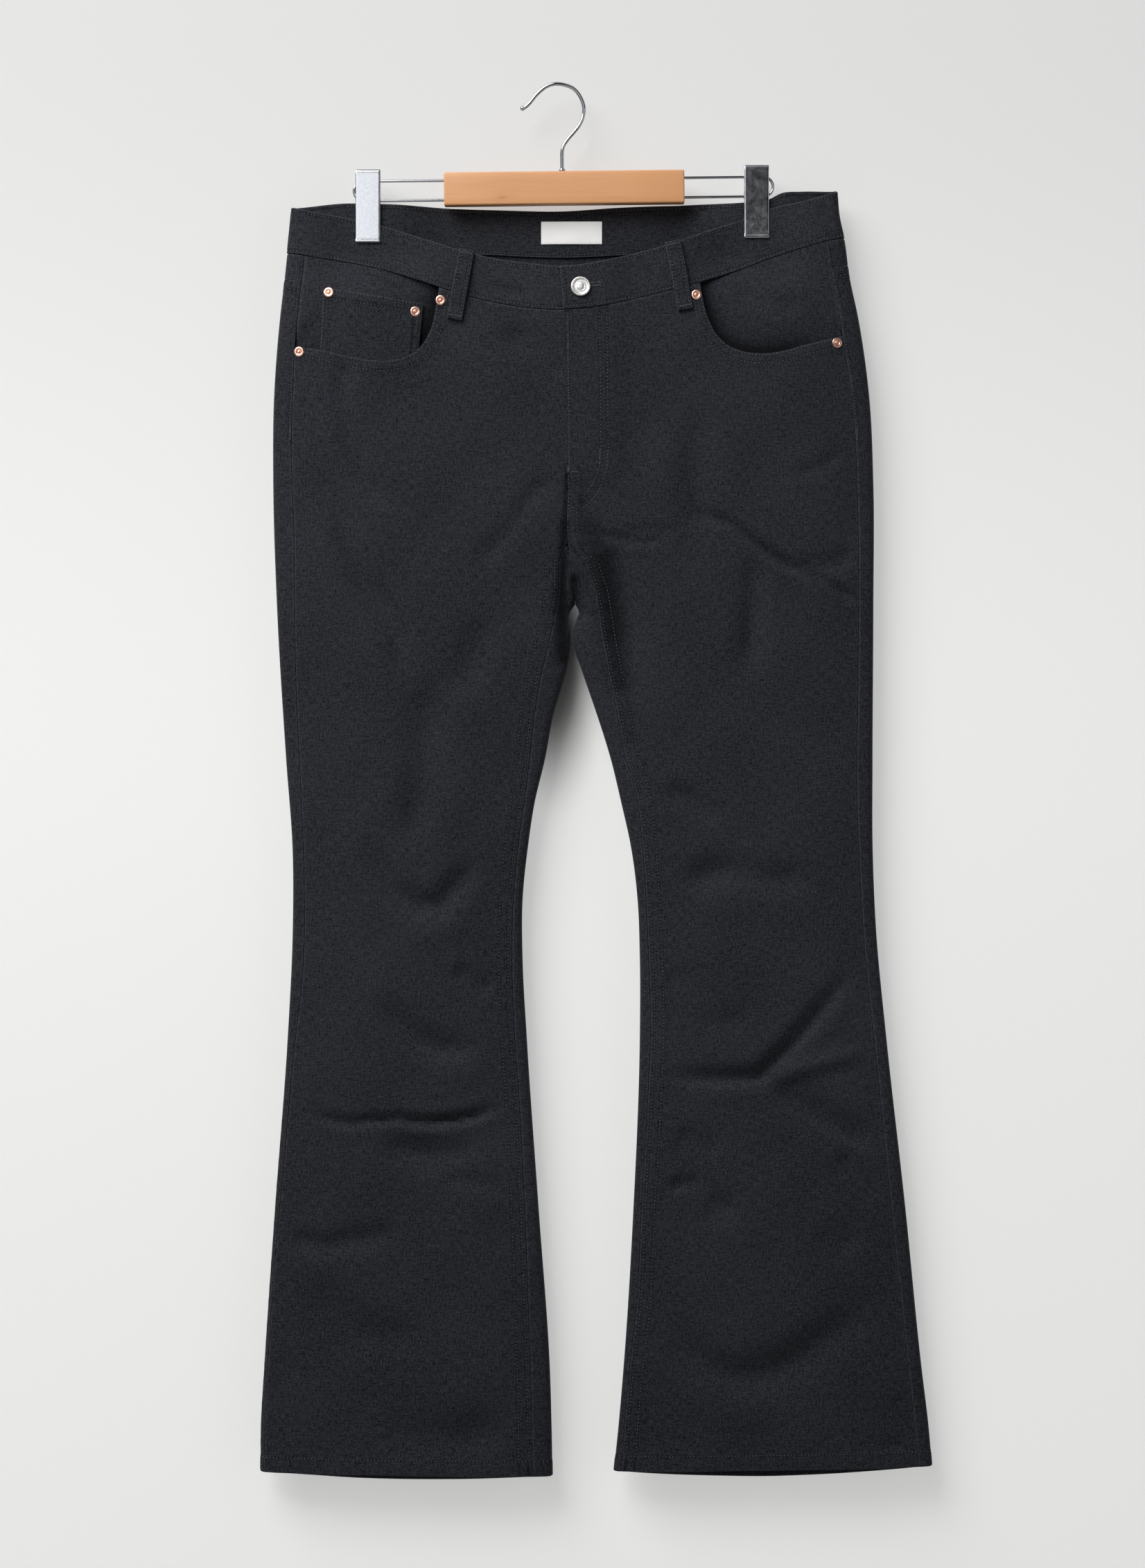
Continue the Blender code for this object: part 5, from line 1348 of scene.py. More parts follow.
class Dresser:
    """Puts finished pieces on the part, each in place of the solids that it replaces."""

    def piece(self, made: Object, slot: str, replaced: Iterable[str] = ()) -> Object:
        """Puts a piece on the part: attaches it to the root, hides the solids that it replaces and logs its
        triangles.

        Args:
            made: the object.
            slot: the record's material slot; not used.
            replaced: the nodes that it stands for.

        Returns:
            The object.
        """
        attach(made, "root")
        if replaced:
            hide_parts(*replaced)
        made.data.calc_loop_triangles()
        log.info("%s: %d triangles", made.name, len(made.data.loop_triangles))
        return made

    def cloth(self, sheet: Sheet, finish: bpy.types.Material, node: str, rests_on: Sequence[str],
              slot: str = "denim") -> Object:
        """Builds a sheet of cloth and puts it on the part, in place of its node's solid.

        Args:
            sheet: the shell.
            finish: its material.
            node: the node that it stands for.
            rests_on: what it hangs from or lies on; not used.
            slot: the record's material slot.

        Returns:
            The object.
        """
        made = self.piece(sheet.build(finish), slot, [node])
        flat, area = sheet.cut()
        list(rests_on)
        return made


@dataclass
class Layer:
    """Places of a sheet's points before they are lifted out, and how they lie."""

    x: Array
    z: Array
    face: Array
    lift: Array
    rolled: Array
    wall: Array | float
    flat: Array
    wear: Array
    side: Array | float

    def sheet(self, name: str, quads: Array) -> Sheet:
        """The shell on these places.

        Args:
            name: its name.
            quads: the quads between the points.

        Returns:
            The shell.
        """
        outer = FORM.cloth(self.x, self.z, self.side, self.face, self.lift + self.rolled)
        held_in = np.clip(-self.rolled, 0, None) * INNER_ROLL
        inner = FORM.cloth(self.x, self.z, self.side, self.face, self.lift - self.wall + held_in)
        return Sheet(name, outer.reshape(-1, 3), inner.reshape(-1, 3), quads,
                     self.flat.reshape(-1, 2), self.wear.ravel())

    def grid(self, name: str) -> Sheet:
        """The shell on these places where they lie in rows and columns."""
        return self.sheet(name, ladder(np.arange(self.x.size).reshape(self.x.shape)))


# ---------------------------------------------------------------- panels


def rows_down(top: Array, floor: Array, edge: Edge) -> Array:
    """Heights of a panel's rows, from its top edge down to its hem.

    Args:
        top: each column's height at the top.
        floor: each column's height at the hem.
        edge: the top edge's finish.

    Returns:
        Heights, with a row for each line.
    """
    upper = Spread(edge.near, between=30).places(top, np.full_like(top, SEAT_Z)).T
    middle = np.arange(SEAT_Z - ROW_STEP, LOW_Z, -ROW_STEP)
    even = np.repeat(middle[:, None], len(top), axis=1)
    lower = Spread(end=HEM_EDGE.near, between=2).places(np.full_like(top, LOW_Z - 2.0), floor).T
    return np.concatenate([upper, even, lower])


@dataclass
class FrontPanel:
    """One front: its waist and pocket mouth, the rise seam and inseam, the outseam and the hem."""

    side: Side
    waist_columns: int = 30
    mouth_columns: int = 46
    column_step: float = 2.5
    waist_z: float = -190.0
    corner_z: float = -192.0
    mouth_z: float = -225.0
    even_from: float = -245.0
    even_over: float = 90.0

    def inner_line(self, z: Array) -> Array:
        """x of the inner edge: the rise seam, then the inseam."""
        line = np.where(z > JUNCTION_Z, RISE[Face.FRONT](z), INSEAM[self.side](np.minimum(z, JUNCTION_Z)))
        under = 0.0
        if self.side == Side.RIGHT:
            under = FLY_UNDERLAP * ease((z - FLY_SHUT_TOP_Z) / (FLY_OPEN_Z - FLY_SHUT_TOP_Z))
        return line + self.side * SEAM_GAP / 2 + under

    def outer_line(self, z: Array) -> Array:
        """x of the outseam's edge."""
        return OUTSEAM[self.side](z) - self.side * SEAM_GAP / 2

    def base_lift(self, x: Array, z: Array) -> Array:
        """The left front lies on the right one along the fly, and the hem is proud."""
        fly = (1 - ease((x - FLY_FLAT) / FLY_RAMP)) * ease((z - FLY_SHUT_Z) / (FLY_LAP_Z - FLY_SHUT_Z))
        lift = FLY_LIFT * fly if self.side == Side.LEFT else 0 * x
        return lift + HEM_PROUD * in_hem(z - hem_height(x, self.side, Face.FRONT))

    def seams(self, x: Array, z: Array) -> list[Seam]:
        """The sewn edges round the panel, and the fly's straight rows."""
        side, left = self.side, self.side == Side.LEFT
        inner, outer = side * (x - self.inner_line(z)), side * (self.outer_line(z) - x)
        leg, fly = ease((JUNCTION_Z + 4 - z) / 8), ease((z - FLY_LAP_Z) / 8) * left
        beside = 1.0 * (side * (x - POCKET_MOUTHS[side][0].x) > -3.0)
        return [
            Seam(INSEAM_EDGE, inner, z, leg),
            Seam(FLY_EDGE, inner, z, fly),
            Seam(RISE_EDGE, inner, z, (1 - leg) * (1 - fly) * left),
            Seam(FLY_CURVE, inner, z, ease((z - FLY_STRAIGHT_Z) / 6) * left),
            Seam(OUTSEAM_EDGE, outer, z),
            Seam(HEM_EDGE, z - hem_height(x, side, Face.FRONT), x),
            Seam(MOUTH_EDGE, -mouth_distance(x, z, side), x, beside),
            Seam(PLAIN, WAIST_SEAM[Face.FRONT](x) - WAIST_GAP - z, x, 1 - beside),
        ]

    def lift(self, x: Array, z: Array) -> Array:
        """How far out the panel's face lies."""
        return self.base_lift(x, z) + lifted(self.seams(x, z))

    def layer(self) -> Layer:
        """The places of the panel's points."""
        side, mouth = self.side, MOUTH_LINE[self.side]
        waist = lambda x: WAIST_SEAM[Face.FRONT](x) - WAIST_GAP
        start, end = FLY_FINE if side == Side.LEFT else FINE, OUTSEAM_EDGE.near
        near_in, near_out = np.array(start), np.array(end)[::-1]
        z_in = settle(waist, np.full(len(near_in), self.waist_z),
                      lambda z: (self.inner_line(z) + side * near_in,))
        z_out = settle(mouth, np.full(len(near_out), self.mouth_z),
                       lambda z: (self.outer_line(z) - side * near_out,))
        corner = POCKET_MOUTHS[side][0]
        first = float(self.inner_line(np.array(self.corner_z))) + side * (start[-1] + self.column_step)
        x_waist = np.linspace(first, corner.x, self.waist_columns)
        x_mouth, z_mouth = mouth_points(side, self.mouth_columns, side * (end[-1] + self.column_step))
        x = np.concatenate([x_waist, x_mouth[1:]])
        z = np.concatenate([waist(x_waist), z_mouth[1:]])
        width = side * (self.outer_line(z) - self.inner_line(z)) - start[-1] - end[-1]
        above = (side * (x - self.inner_line(z)) - start[-1]) / width
        even = np.linspace(0, 1, len(above) + 2)[1:-1]
        spread = Spread(start, end, len(above))
        top = np.concatenate([z_in, z, z_out])
        over, low = (spread.weights(share) for share in (above, even))

        def across(heights: Array) -> Array:
            """x of every column at its own height."""
            down = ease((self.even_from - heights) / self.even_over)
            share = over[0] * (1 - down) + low[0] * down
            offset = over[1] * (1 - down) + low[1] * down
            edge, far = self.inner_line(heights), self.outer_line(heights)
            return edge + (far - edge) * share + side * offset

        low_x = across(np.full(len(top), HEMS[side].outer))
        rows = rows_down(top, hem_height(low_x, side, Face.FRONT), MOUTH_EDGE)
        places = across(rows)
        wall = WALL + (HEM_WALL - WALL) * in_hem(rows - hem_height(places, side, Face.FRONT))
        seams = self.seams(places, rows)
        face = np.full_like(rows, Face.FRONT)
        # Paler rubbed edges, less painted shade beside the stitches and in the crotch folds.
        wear = toned(seams) - FORM.hollow(places, rows, face, "dark")
        return Layer(places, rows, face, self.base_lift(places, rows), lifted(seams),
                     wall, np.stack([places, rows], axis=-1), wear, side)

    def build(self, dresser: Dresser, finishes: Finishes) -> Object:
        """The panel, in place of its solid."""
        name = f"front_panel_{self.side.word}"
        return dresser.cloth(self.layer().grid(f"{name}_denim"), finishes.denim, name, ["waistband"])


@dataclass
class BackPanel:
    """One back, which comes round both folds on to the front, with the gore beside the crotch."""

    side: Side
    middle: int = 44
    yoke_z: float = -185.0

    def spreads(self) -> list[Spread]:
        """The columns' groups: outseam, outer fold, middle, inner fold, inner strip."""
        near = (0.0, 0.35, 0.9, 1.9, 3.2, 5.0)
        return [Spread(near, between=3), Spread(between=3), Spread(between=self.middle), Spread(between=4),
                Spread(end=near, between=3)]

    def arcs(self, z: Array, leg: bool) -> Array:
        """Lengths along the cloth of the columns, from the outseam round to the inner seam.

        Args:
            z: heights, one for each row and column.
            leg: below the crotch, with the inner fold and the strip past it.

        Returns:
            The arcs, in the shape of z.
        """
        side = self.side
        outseam = FORM.arc(side * (OUTER[side](z) - OUTSEAM[side](z))) - SEAM_GAP / 2
        if leg:
            span = FORM.leg_span(z, side)
            inseam = FORM.arc(side * (INSEAM[side](z) - INNER[side](z))) - SEAM_GAP / 2
            marks = [outseam, 0 * z, 0 * z - FORM.quarter, FORM.quarter - span, -span, -span - inseam]
        else:
            inner = FORM.arc(side * (OUTER[side](z) - RISE[Face.BACK](z))) - SEAM_GAP / 2
            marks = [outseam, 0 * z, 0 * z - FORM.quarter, FORM.fold_radius - inner, -inner]
        arcs, column = np.empty_like(z), 0
        for group, (first, last) in enumerate(zip(marks, marks[1:])):
            spread = self.spreads()[group]
            share, offset = spread.weights()
            for k in range(1 if group else 0, len(share)):
                a, b = first[..., column], last[..., column]
                room = spread.room(np.abs(b - a))
                arcs[..., column] = a + (b - a) * share[k] + np.sign(b - a) * offset[k] * room
                column += 1
        return arcs

    def counts(self) -> tuple[int, int]:
        """How many columns there are above the crotch and below it."""
        sizes = [len(s.weights()[0]) - (1 if i else 0) for i, s in enumerate(self.spreads())]
        return sum(sizes[:4]), sum(sizes)

    def row(self, z: Array, leg: bool) -> tuple[Array, Array]:
        """x and wall of every column at its own height."""
        return FORM.wrap(self.arcs(z, leg), z, self.side)

    def yoke_heights(self) -> Array:
        """Heights at which the columns meet the yoke seam."""
        start = np.full(self.counts()[0], self.yoke_z)
        return settle(lambda x, face: YOKE_LINE(x), start, lambda z: self.row(z, False))

    def hem_lift(self, x: Array, z: Array, face: Array) -> Array:
        """The hem is proud all round."""
        return HEM_PROUD * in_hem(z - hem_height(x, self.side, face))

    def seams(self, x: Array, z: Array, face: Array) -> list[Seam]:
        """The sewn edges round the panel."""
        side, front = self.side, face == Face.FRONT
        strip = side * (x - OUTSEAM[side](z)) - SEAM_GAP / 2
        outer = np.where(front & (strip > -1), strip, FAR)
        inner = side * (INSEAM[side](z) - x) - SEAM_GAP / 2
        rise = np.where(~front & (z > CROTCH.z), side * (x - RISE[Face.BACK](z)) - SEAM_GAP / 2, FAR)
        stitched = ease((z - OUTSEAM_STITCHED_Z) / 6)
        return [
            Seam(OUTSEAM_EDGE, outer, z, 1 - stitched),
            Seam(OUTSEAM_STITCHED, outer, z, stitched),
            Seam(PLAIN, np.where(front & (strip < -1) & (z < JUNCTION_Z), inner, FAR), z),
            Seam(RISE_EDGE if side == Side.LEFT else PLAIN, rise, z),
            Seam(YOKE_EDGE, YOKE_LINE(x) - SEAM_GAP / 2 - z, x),
            Seam(HEM_EDGE, z - hem_height(x, side, face), x),
        ]

    def lift(self, x: Array, z: Array, face: Array) -> Array:
        """How far out the panel's face lies."""
        return self.hem_lift(x, z, face) + lifted(self.seams(x, z, face))

    def build(self, dresser: Dresser, finishes: Finishes) -> Object:
        """The panel, in place of its solid."""
        side = self.side
        seat_columns, leg_columns = self.counts()
        top = self.yoke_heights() - SEAM_GAP / 2
        upper = Spread(YOKE_EDGE.near, between=22).places(top, np.full_like(top, SEAT_Z)).T
        even = np.arange(SEAT_Z - ROW_STEP, CROTCH.z + 1.0, -ROW_STEP)
        seat_z = np.concatenate([upper, np.repeat(even[:, None], seat_columns, axis=1)])
        seat_x, seat_face = self.row(seat_z, False)
        seat_u = self.arcs(seat_z, False)

        first = self.arcs(np.full(seat_columns, CROTCH.z), False)
        first_x, first_face = FORM.wrap(first, np.full(seat_columns, CROTCH.z), side)
        inseam = float(INSEAM[side](CROTCH.z)) - side * SEAM_GAP / 2
        gore_columns = leg_columns - seat_columns + 1
        strip = self.spreads()[4]
        gore_first = strip.places(first_x[-1], inseam)
        leg_even = np.arange(CROTCH.z - 1.6, LOW_Z, -ROW_STEP)
        leg_upper = np.repeat(leg_even[:, None], leg_columns, axis=1)
        x_low, face_low = self.row(np.full(leg_columns, HEMS[side].outer), True)
        floor = hem_height(x_low, side, face_low)
        lower = Spread(end=HEM_EDGE.near, between=2).places(np.full_like(floor, LOW_Z - 2.0), floor).T
        leg_z = np.concatenate([leg_upper, lower])
        leg_x, leg_face = self.row(leg_z, True)
        leg_u = self.arcs(leg_z, True)
        row_x = np.concatenate([first_x, gore_first[1:]])
        row_face = np.concatenate([first_face, np.full(gore_columns - 1, float(Face.FRONT))])
        row_u = np.concatenate([first, first[-1] - np.abs(gore_first[1:] - first_x[-1])])
        leg_z = np.concatenate([np.full((1, leg_columns), CROTCH.z), leg_z])
        leg_x, leg_face = np.concatenate([row_x[None], leg_x]), np.concatenate([row_face[None], leg_face])
        leg_u = np.concatenate([row_u[None], leg_u])

        gore_top = JUNCTION_Z - 2.0 if side == Side.RIGHT else JUNCTION_Z - 6.0
        gore_z = np.arange(gore_top, CROTCH.z + 1.0, -GORE_STEP)
        gore_x = strip.places(RISE[Face.FRONT](gore_z) + side * SEAM_GAP / 2,
                              INSEAM[side](gore_z) - side * SEAM_GAP / 2)
        gore_z = np.repeat(gore_z[:, None], gore_columns, axis=1)
        gore_face = np.full_like(gore_x, Face.FRONT)
        gore_u = first[-1] - np.abs(gore_x - gore_x[:, :1])

        parts = ((seat_x, leg_x, gore_x), (seat_z, leg_z, gore_z), (seat_face, leg_face, gore_face),
                 (seat_u, leg_u, gore_u))
        x, z, face, u = (np.concatenate([p.ravel() for p in part]) for part in parts)
        seat = np.arange(seat_x.size).reshape(seat_x.shape)
        leg = seat.size + np.arange(leg_x.size).reshape(leg_x.shape)
        gore = seat.size + leg.size + np.arange(gore_x.size).reshape(gore_x.shape)
        quads = np.concatenate([
            ladder(seat), ladder([seat[-1], leg[0, :seat_columns]]), ladder(leg), ladder(gore),
            ladder([gore[-1], leg[0, seat_columns - 1:]]),
        ])
        wall = WALL + (HEM_WALL - WALL) * in_hem(z - hem_height(x, side, face))
        seams = self.seams(x, z, face)
        # Paler rubbed edges, less painted shade beside the stitches and in the crotch folds.
        layer = Layer(x, z, face, self.hem_lift(x, z, face), lifted(seams), wall, np.stack([-u, z], axis=-1),
                      toned(seams) - FORM.hollow(x, z, face, "dark"), side)
        name = f"back_panel_{side.word}"
        sheet = layer.sheet(f"{name}_denim", quads)
        return dresser.cloth(sheet, finishes.denim, name, [f"yoke_{side.word}"])


@dataclass
class Yoke:
    """Half of the back yoke, which reaches round the side fold to the outseam."""

    side: Side
    tuck: float = 1.0
    tuck_start: float = 0.9
    tuck_end: float = 1.8
    tuck_drop: float = 2.3

    def build(self, dresser: Dresser, finishes: Finishes) -> Object:
        """The yoke, in place of its solid, with its top edge tucked behind the waistband to shut the seam."""
        side, back = self.side, BackPanel(self.side)
        bottom = back.yoke_heights() + SEAM_GAP / 2
        waist = lambda x, face: by_face(WAIST_SEAM, x, face) - WAIST_GAP
        top = settle(waist, bottom + 40.0, lambda z: back.row(z, False)) + WAIST_GAP + self.tuck
        z = Spread(PLAIN.near, PLAIN.near, 10).places(top, bottom).T
        x, face = back.row(z, False)
        behind = (self.tuck_end - (top - z)) / (self.tuck_end - self.tuck_start)
        tucked = -self.tuck_drop * np.clip(behind, 0, 1)
        strip = np.where(face == Face.FRONT, side * (x - OUTSEAM[side](z)) - SEAM_GAP / 2, FAR)
        rise = np.where(face == Face.BACK, side * (x - RISE[Face.BACK](z)) - SEAM_GAP / 2, FAR)
        seams = [
            Seam(PLAIN, z - YOKE_LINE(x), x),
            Seam(PLAIN, waist(x, face) - z, x),
            Seam(OUTSEAM_STITCHED, strip, z),
            Seam(RISE_EDGE if side == Side.LEFT else PLAIN, rise, z),
        ]
        layer = Layer(x, z, face, tucked, lifted(seams), WALL, np.stack([-back.arcs(z, False), z], axis=-1),
                      toned(seams), side)
        name = f"yoke_{side.word}"
        return dresser.cloth(layer.grid(f"{name}_denim"), finishes.denim, name, ["waistband"])


# ---------------------------------------------------------------- pockets


def mouth_points(side: Side, count: int, stop: float) -> tuple[Array, Array]:
    """Places evenly along a pocket's mouth.

    Args:
        side: the wearer's side.
        count: how many.
        stop: how far short of the outseam the last one lies, as a signed x.

    Returns:
        x and z of each.
    """
    mouth = POCKET_MOUTHS[side]
    x = np.linspace(mouth[0].x, mouth[-1].x - stop, 400)
    z = MOUTH_LINE[side](x)
    length = np.concatenate([[0], np.cumsum(np.hypot(np.diff(x), np.diff(z)))])
    even = np.interp(np.linspace(0, length[-1], count), length, x)
    return even, MOUTH_LINE[side](even)


def mouth_distance(x: Array, z: Array, side: Side) -> Array:
    """How far points lie from the pocket's mouth; negative under the front panel."""
    x, z = np.asarray(x, float), np.asarray(z, float)
    line = np.stack(mouth_points(side, 60, 0.0), axis=1)
    best = np.full(np.shape(x), np.inf)
    for start, end in zip(line, line[1:]):
        best = np.minimum(best, along_stretch(x, z, start, end)[1])
    under = (side * x < side * line[0, 0]) | (z < MOUTH_LINE[side](x))
    return np.where(under, -best, best)


def facing_drop(x: Array, z: Array, side: Side) -> Array:
    """How far a facing lies below the panels: wholly at the mouth, and level with them higher up."""
    reach = SEAM_EASE + (MOUTH_EASE - SEAM_EASE) * ease(side * (OUTSEAM[side](z) - x) / SEAM_EASE_WIDTH)
    return FACING_DROP[side] * (1 - ease(mouth_distance(x, z, side) / reach))


def coin_lift(x: Array, z: Array) -> Array:
    """How far out the coin pocket's face lies, on the facing."""
    return LAYER_GAP + COIN_WALL - facing_drop(x, z, Side.RIGHT)


def mouth_and_under(side: Side, count: int, stop: float) -> tuple[Array, Array]:
    """A pocket's mouth, and the way under the front panel beside it.

    Args:
        side: the wearer's side.
        count: how many points.
        stop: how far short of the outseam the last one lies, as a signed x.

    Returns:
        The points and the way at each, with x and z last.
    """
    mouth = np.stack(mouth_points(side, count, stop), axis=1)
    way = np.gradient(mouth, axis=0)
    way /= np.linalg.norm(way, axis=1, keepdims=True)
    return mouth, np.stack([side * way[:, 1], -side * way[:, 0]], axis=1)


def tucked_mouth(side: Side, count: int = 40) -> Array:
    """The mouth's line moved under the front panel."""
    mouth, under = mouth_and_under(side, count, 0.0)
    tucked = mouth + MOUTH_TUCK * under
    tucked[-1, 0] = OUTSEAM[side](tucked[-1, 1]) - side * SEAM_GAP
    return tucked


@dataclass
class FrontPocket:
    """A front pocket: the facing inside its mouth and, on the wearer's right, the coin pocket."""

    side: Side
    gape: float = 2.2
    gape_reach: float = 14.0
    gape_fade: float = 60.0
    # dark and dim, with their reaches, set a painted shadow inside the mouth.
    dark: float = 1.1
    dark_reach: float = 9.0
    dim: float = 0.3
    dim_reach: float = 16.0
    coin_width: float = 86.0
    coin_depth: float = 52.0
    coin_gape: float = 0.8

    def facing(self, dresser: Dresser, finishes: Finishes) -> Object:
        """The facing, in place of its solid."""
        side = self.side
        tucked = tucked_mouth(side)
        top_x = np.linspace(tucked[0, 0], OUTSEAM[side](-145.0) - side * SEAM_GAP, len(tucked))
        top_z = WAIST_SEAM[Face.FRONT](top_x) - WAIST_GAP
        tucked[0, 1] = min(tucked[0, 1], top_z[0] - 6.0)
        share = Spread(PLAIN.near, between=26).places(0.0, 90.0)[:, None] / 90.0
        x = top_x + (tucked[:, 0] - top_x) * share
        z = top_z + (tucked[:, 1] - top_z) * share
        x[:, -1] = OUTSEAM[side](z[:, -1]) - side * SEAM_GAP
        seams = [Seam(OUTSEAM_EDGE, side * (OUTSEAM[side](z) - x), z)]
        gap = np.clip(mouth_distance(x, z, side), 0, None)
        middle = ease(side * (OUTSEAM[side](z) - x) / self.gape_fade)
        gape = self.gape * np.exp(-((gap / self.gape_reach) ** 2)) * middle
        # Painted shadow on the facing inside the mouth, under the front panel's edge.
        shadow = self.dark * np.exp(-((gap / self.dark_reach) ** 2)) + self.dim * np.exp(-gap / self.dim_reach)
        layer = Layer(x, z, np.full_like(x, Face.FRONT), -facing_drop(x, z, side) - gape, lifted(seams),
                      WALL, np.stack([x, z], axis=-1), toned(seams) - shadow * middle, side)
        name = f"pocket_facing_{side.word}"
        return dresser.cloth(layer.grid(f"{name}_denim"), finishes.facing_denim, name, ["waistband"])

    def coin_grid(self) -> tuple[Array, Array, Array]:
        """Places of the coin pocket, and the share of the way down it."""
        from_top = (0.0, 0.3, 0.8, 1.5, 2.4, 4.5, 7.5, 8.6, 9.7, 12.0)
        share = Spread(PATCH_EDGE.near, PATCH_EDGE.near, 22).places(0.0, self.coin_width) / self.coin_width
        down = Spread(from_top, between=16).places(0.0, self.coin_depth)[:, None] / self.coin_depth
        top_x = COIN_TOP[0].x + (COIN_TOP[1].x - COIN_TOP[0].x) * share
        top_z = COIN_TOP[0].z + (COIN_TOP[1].z - COIN_TOP[0].z) * share
        foot_x = COIN_SIDES_AT_MOUTH[0] + (COIN_SIDES_AT_MOUTH[1] - COIN_SIDES_AT_MOUTH[0]) * share
        foot_z = MOUTH_LINE[Side.RIGHT](foot_x) - COIN_TUCK
        return top_x + (foot_x - top_x) * down, top_z + (foot_z - top_z) * down, share

    def coin_pocket(self, dresser: Dresser, finishes: Finishes) -> Object:
        """The coin pocket, in place of its solid."""
        x, z, share = self.coin_grid()
        width = COIN_TOP[1].x - COIN_TOP[0].x
        start, end = share * width + 0 * z, (1 - share) * width + 0 * z
        top = COIN_TOP[0].z + (COIN_TOP[1].z - COIN_TOP[0].z) * share - z
        edge = Edge(rows=(1.5, 7.4), band=9.0, rise=0.25, roll=0.6, pucker=0.06)
        hem = Edge(rows=(1.6, 8.8), band=10.2, rise=0.3, roll=0.6, pucker=0.06)
        seams = [Seam(edge, start, z), Seam(edge, end, z), Seam(hem, top, x)]
        gape = self.coin_gape * np.exp(-((end / self.gape_reach) ** 2))
        gape = gape * ease((top - 4) / 12) * ease((58 - top) / 20)
        layer = Layer(x, z, np.full_like(x, Face.FRONT), coin_lift(x, z) + gape, lifted(seams), COIN_WALL,
                      np.stack([x, z], axis=-1), toned(seams), Side.RIGHT)
        return dresser.cloth(layer.grid("coin_pocket_denim"), finishes.denim, "coin_pocket",
                             ["pocket_facing_right"])


@dataclass
class BackPocket:
    """A patch pocket with a pointed foot."""

    side: Side
    width: float = 152.0
    foot: float = 128.0
    edge_height: float = 132.0
    point_height: float = 160.0
    mean_height: float = 150.0
    hem: Edge = Edge(rows=(2.0, 11.0), band=12.6, rise=0.4, roll=0.9, pucker=0.06)

    def width_at(self, down: Array) -> Array:
        """Its width at a share of the way down."""
        return self.width + (self.foot - self.width) * down

    def depth_at(self, along: Array) -> Array:
        """Its height at a place across, most at the pointed foot."""
        return self.edge_height + (self.point_height - self.edge_height) * (1 - np.abs(2 * along))

    def place(self, along: Array, down: Array) -> tuple[Array, Array]:
        """Places from the pocket's own width and height.

        Args:
            along: -0.5 to 0.5 across.
            down: 0 at the top edge to 1 at the foot.

        Returns:
            x and z.
        """
        at = BACK_POCKETS[self.side]
        right, up = along * self.width_at(down), -self.depth_at(along) * down
        level, rise = math.cos(math.radians(at.tilt)), math.sin(math.radians(at.tilt))
        return at.x + right * level - up * rise, at.z + right * rise + up * level

    def build(self, dresser: Dresser, finishes: Finishes) -> Object:
        """The pocket, in place of its solid."""
        near = PATCH_EDGE.near
        along = Spread(near, near, 36).places(0.0, self.width) / self.width - 0.5
        from_top = (0.0, 0.35, 0.9, 2.0, 3.2, 6.0, 9.6, 11.0, 12.4, 14.5)
        down = Spread(from_top, near, 34).places(0.0, self.mean_height)[:, None] / self.mean_height
        x, z = self.place(along, down)
        width, depth = self.width_at(down), self.depth_at(along)
        left, right = (0.5 + along) * width, (0.5 - along) * width
        top, foot = depth * down, depth * (1 - down) * 0.93
        near_edge = np.minimum(np.minimum(left, right), foot)
        seams = [Seam(PATCH_EDGE, near_edge, x + z), Seam(self.hem, top, x)]
        face, base = np.full_like(x, Face.BACK), np.full_like(x, LAYER_GAP + BACK_POCKET_WALL)
        layer = Layer(x, z, face, base, lifted(seams), BACK_POCKET_WALL, np.stack([x, z], axis=-1),
                      toned(seams), self.side)
        name = f"back_pocket_{self.side.word}"
        return dresser.cloth(layer.grid(f"{name}_denim"), finishes.denim, name, [f"back_panel_{self.side.word}"])

    def rows(self) -> list[tuple[Array, Array]]:
        """Places of its stitch rows."""
        lines = []
        for inset in PATCH_EDGE.rows:
            along = np.concatenate([[-0.5], np.linspace(-0.5, 0.5, 61), [0.5]])
            down = np.concatenate([[0.0], np.ones(61), [0.0]])
            width = self.width_at(down)
            along = np.clip(along, -0.5 + inset / width, 0.5 - inset / width)
            depth = self.depth_at(along)
            lines.append(self.place(along, down - np.where(down > 0, inset / 0.93 / depth, -1.0 / depth)))
        for inset in self.hem.rows:
            along = np.linspace(-0.5 + 1.0 / self.width, 0.5 - 1.0 / self.width, 40)
            lines.append(self.place(along, inset / self.depth_at(along)))
        return lines


# ---------------------------------------------------------------- waistband


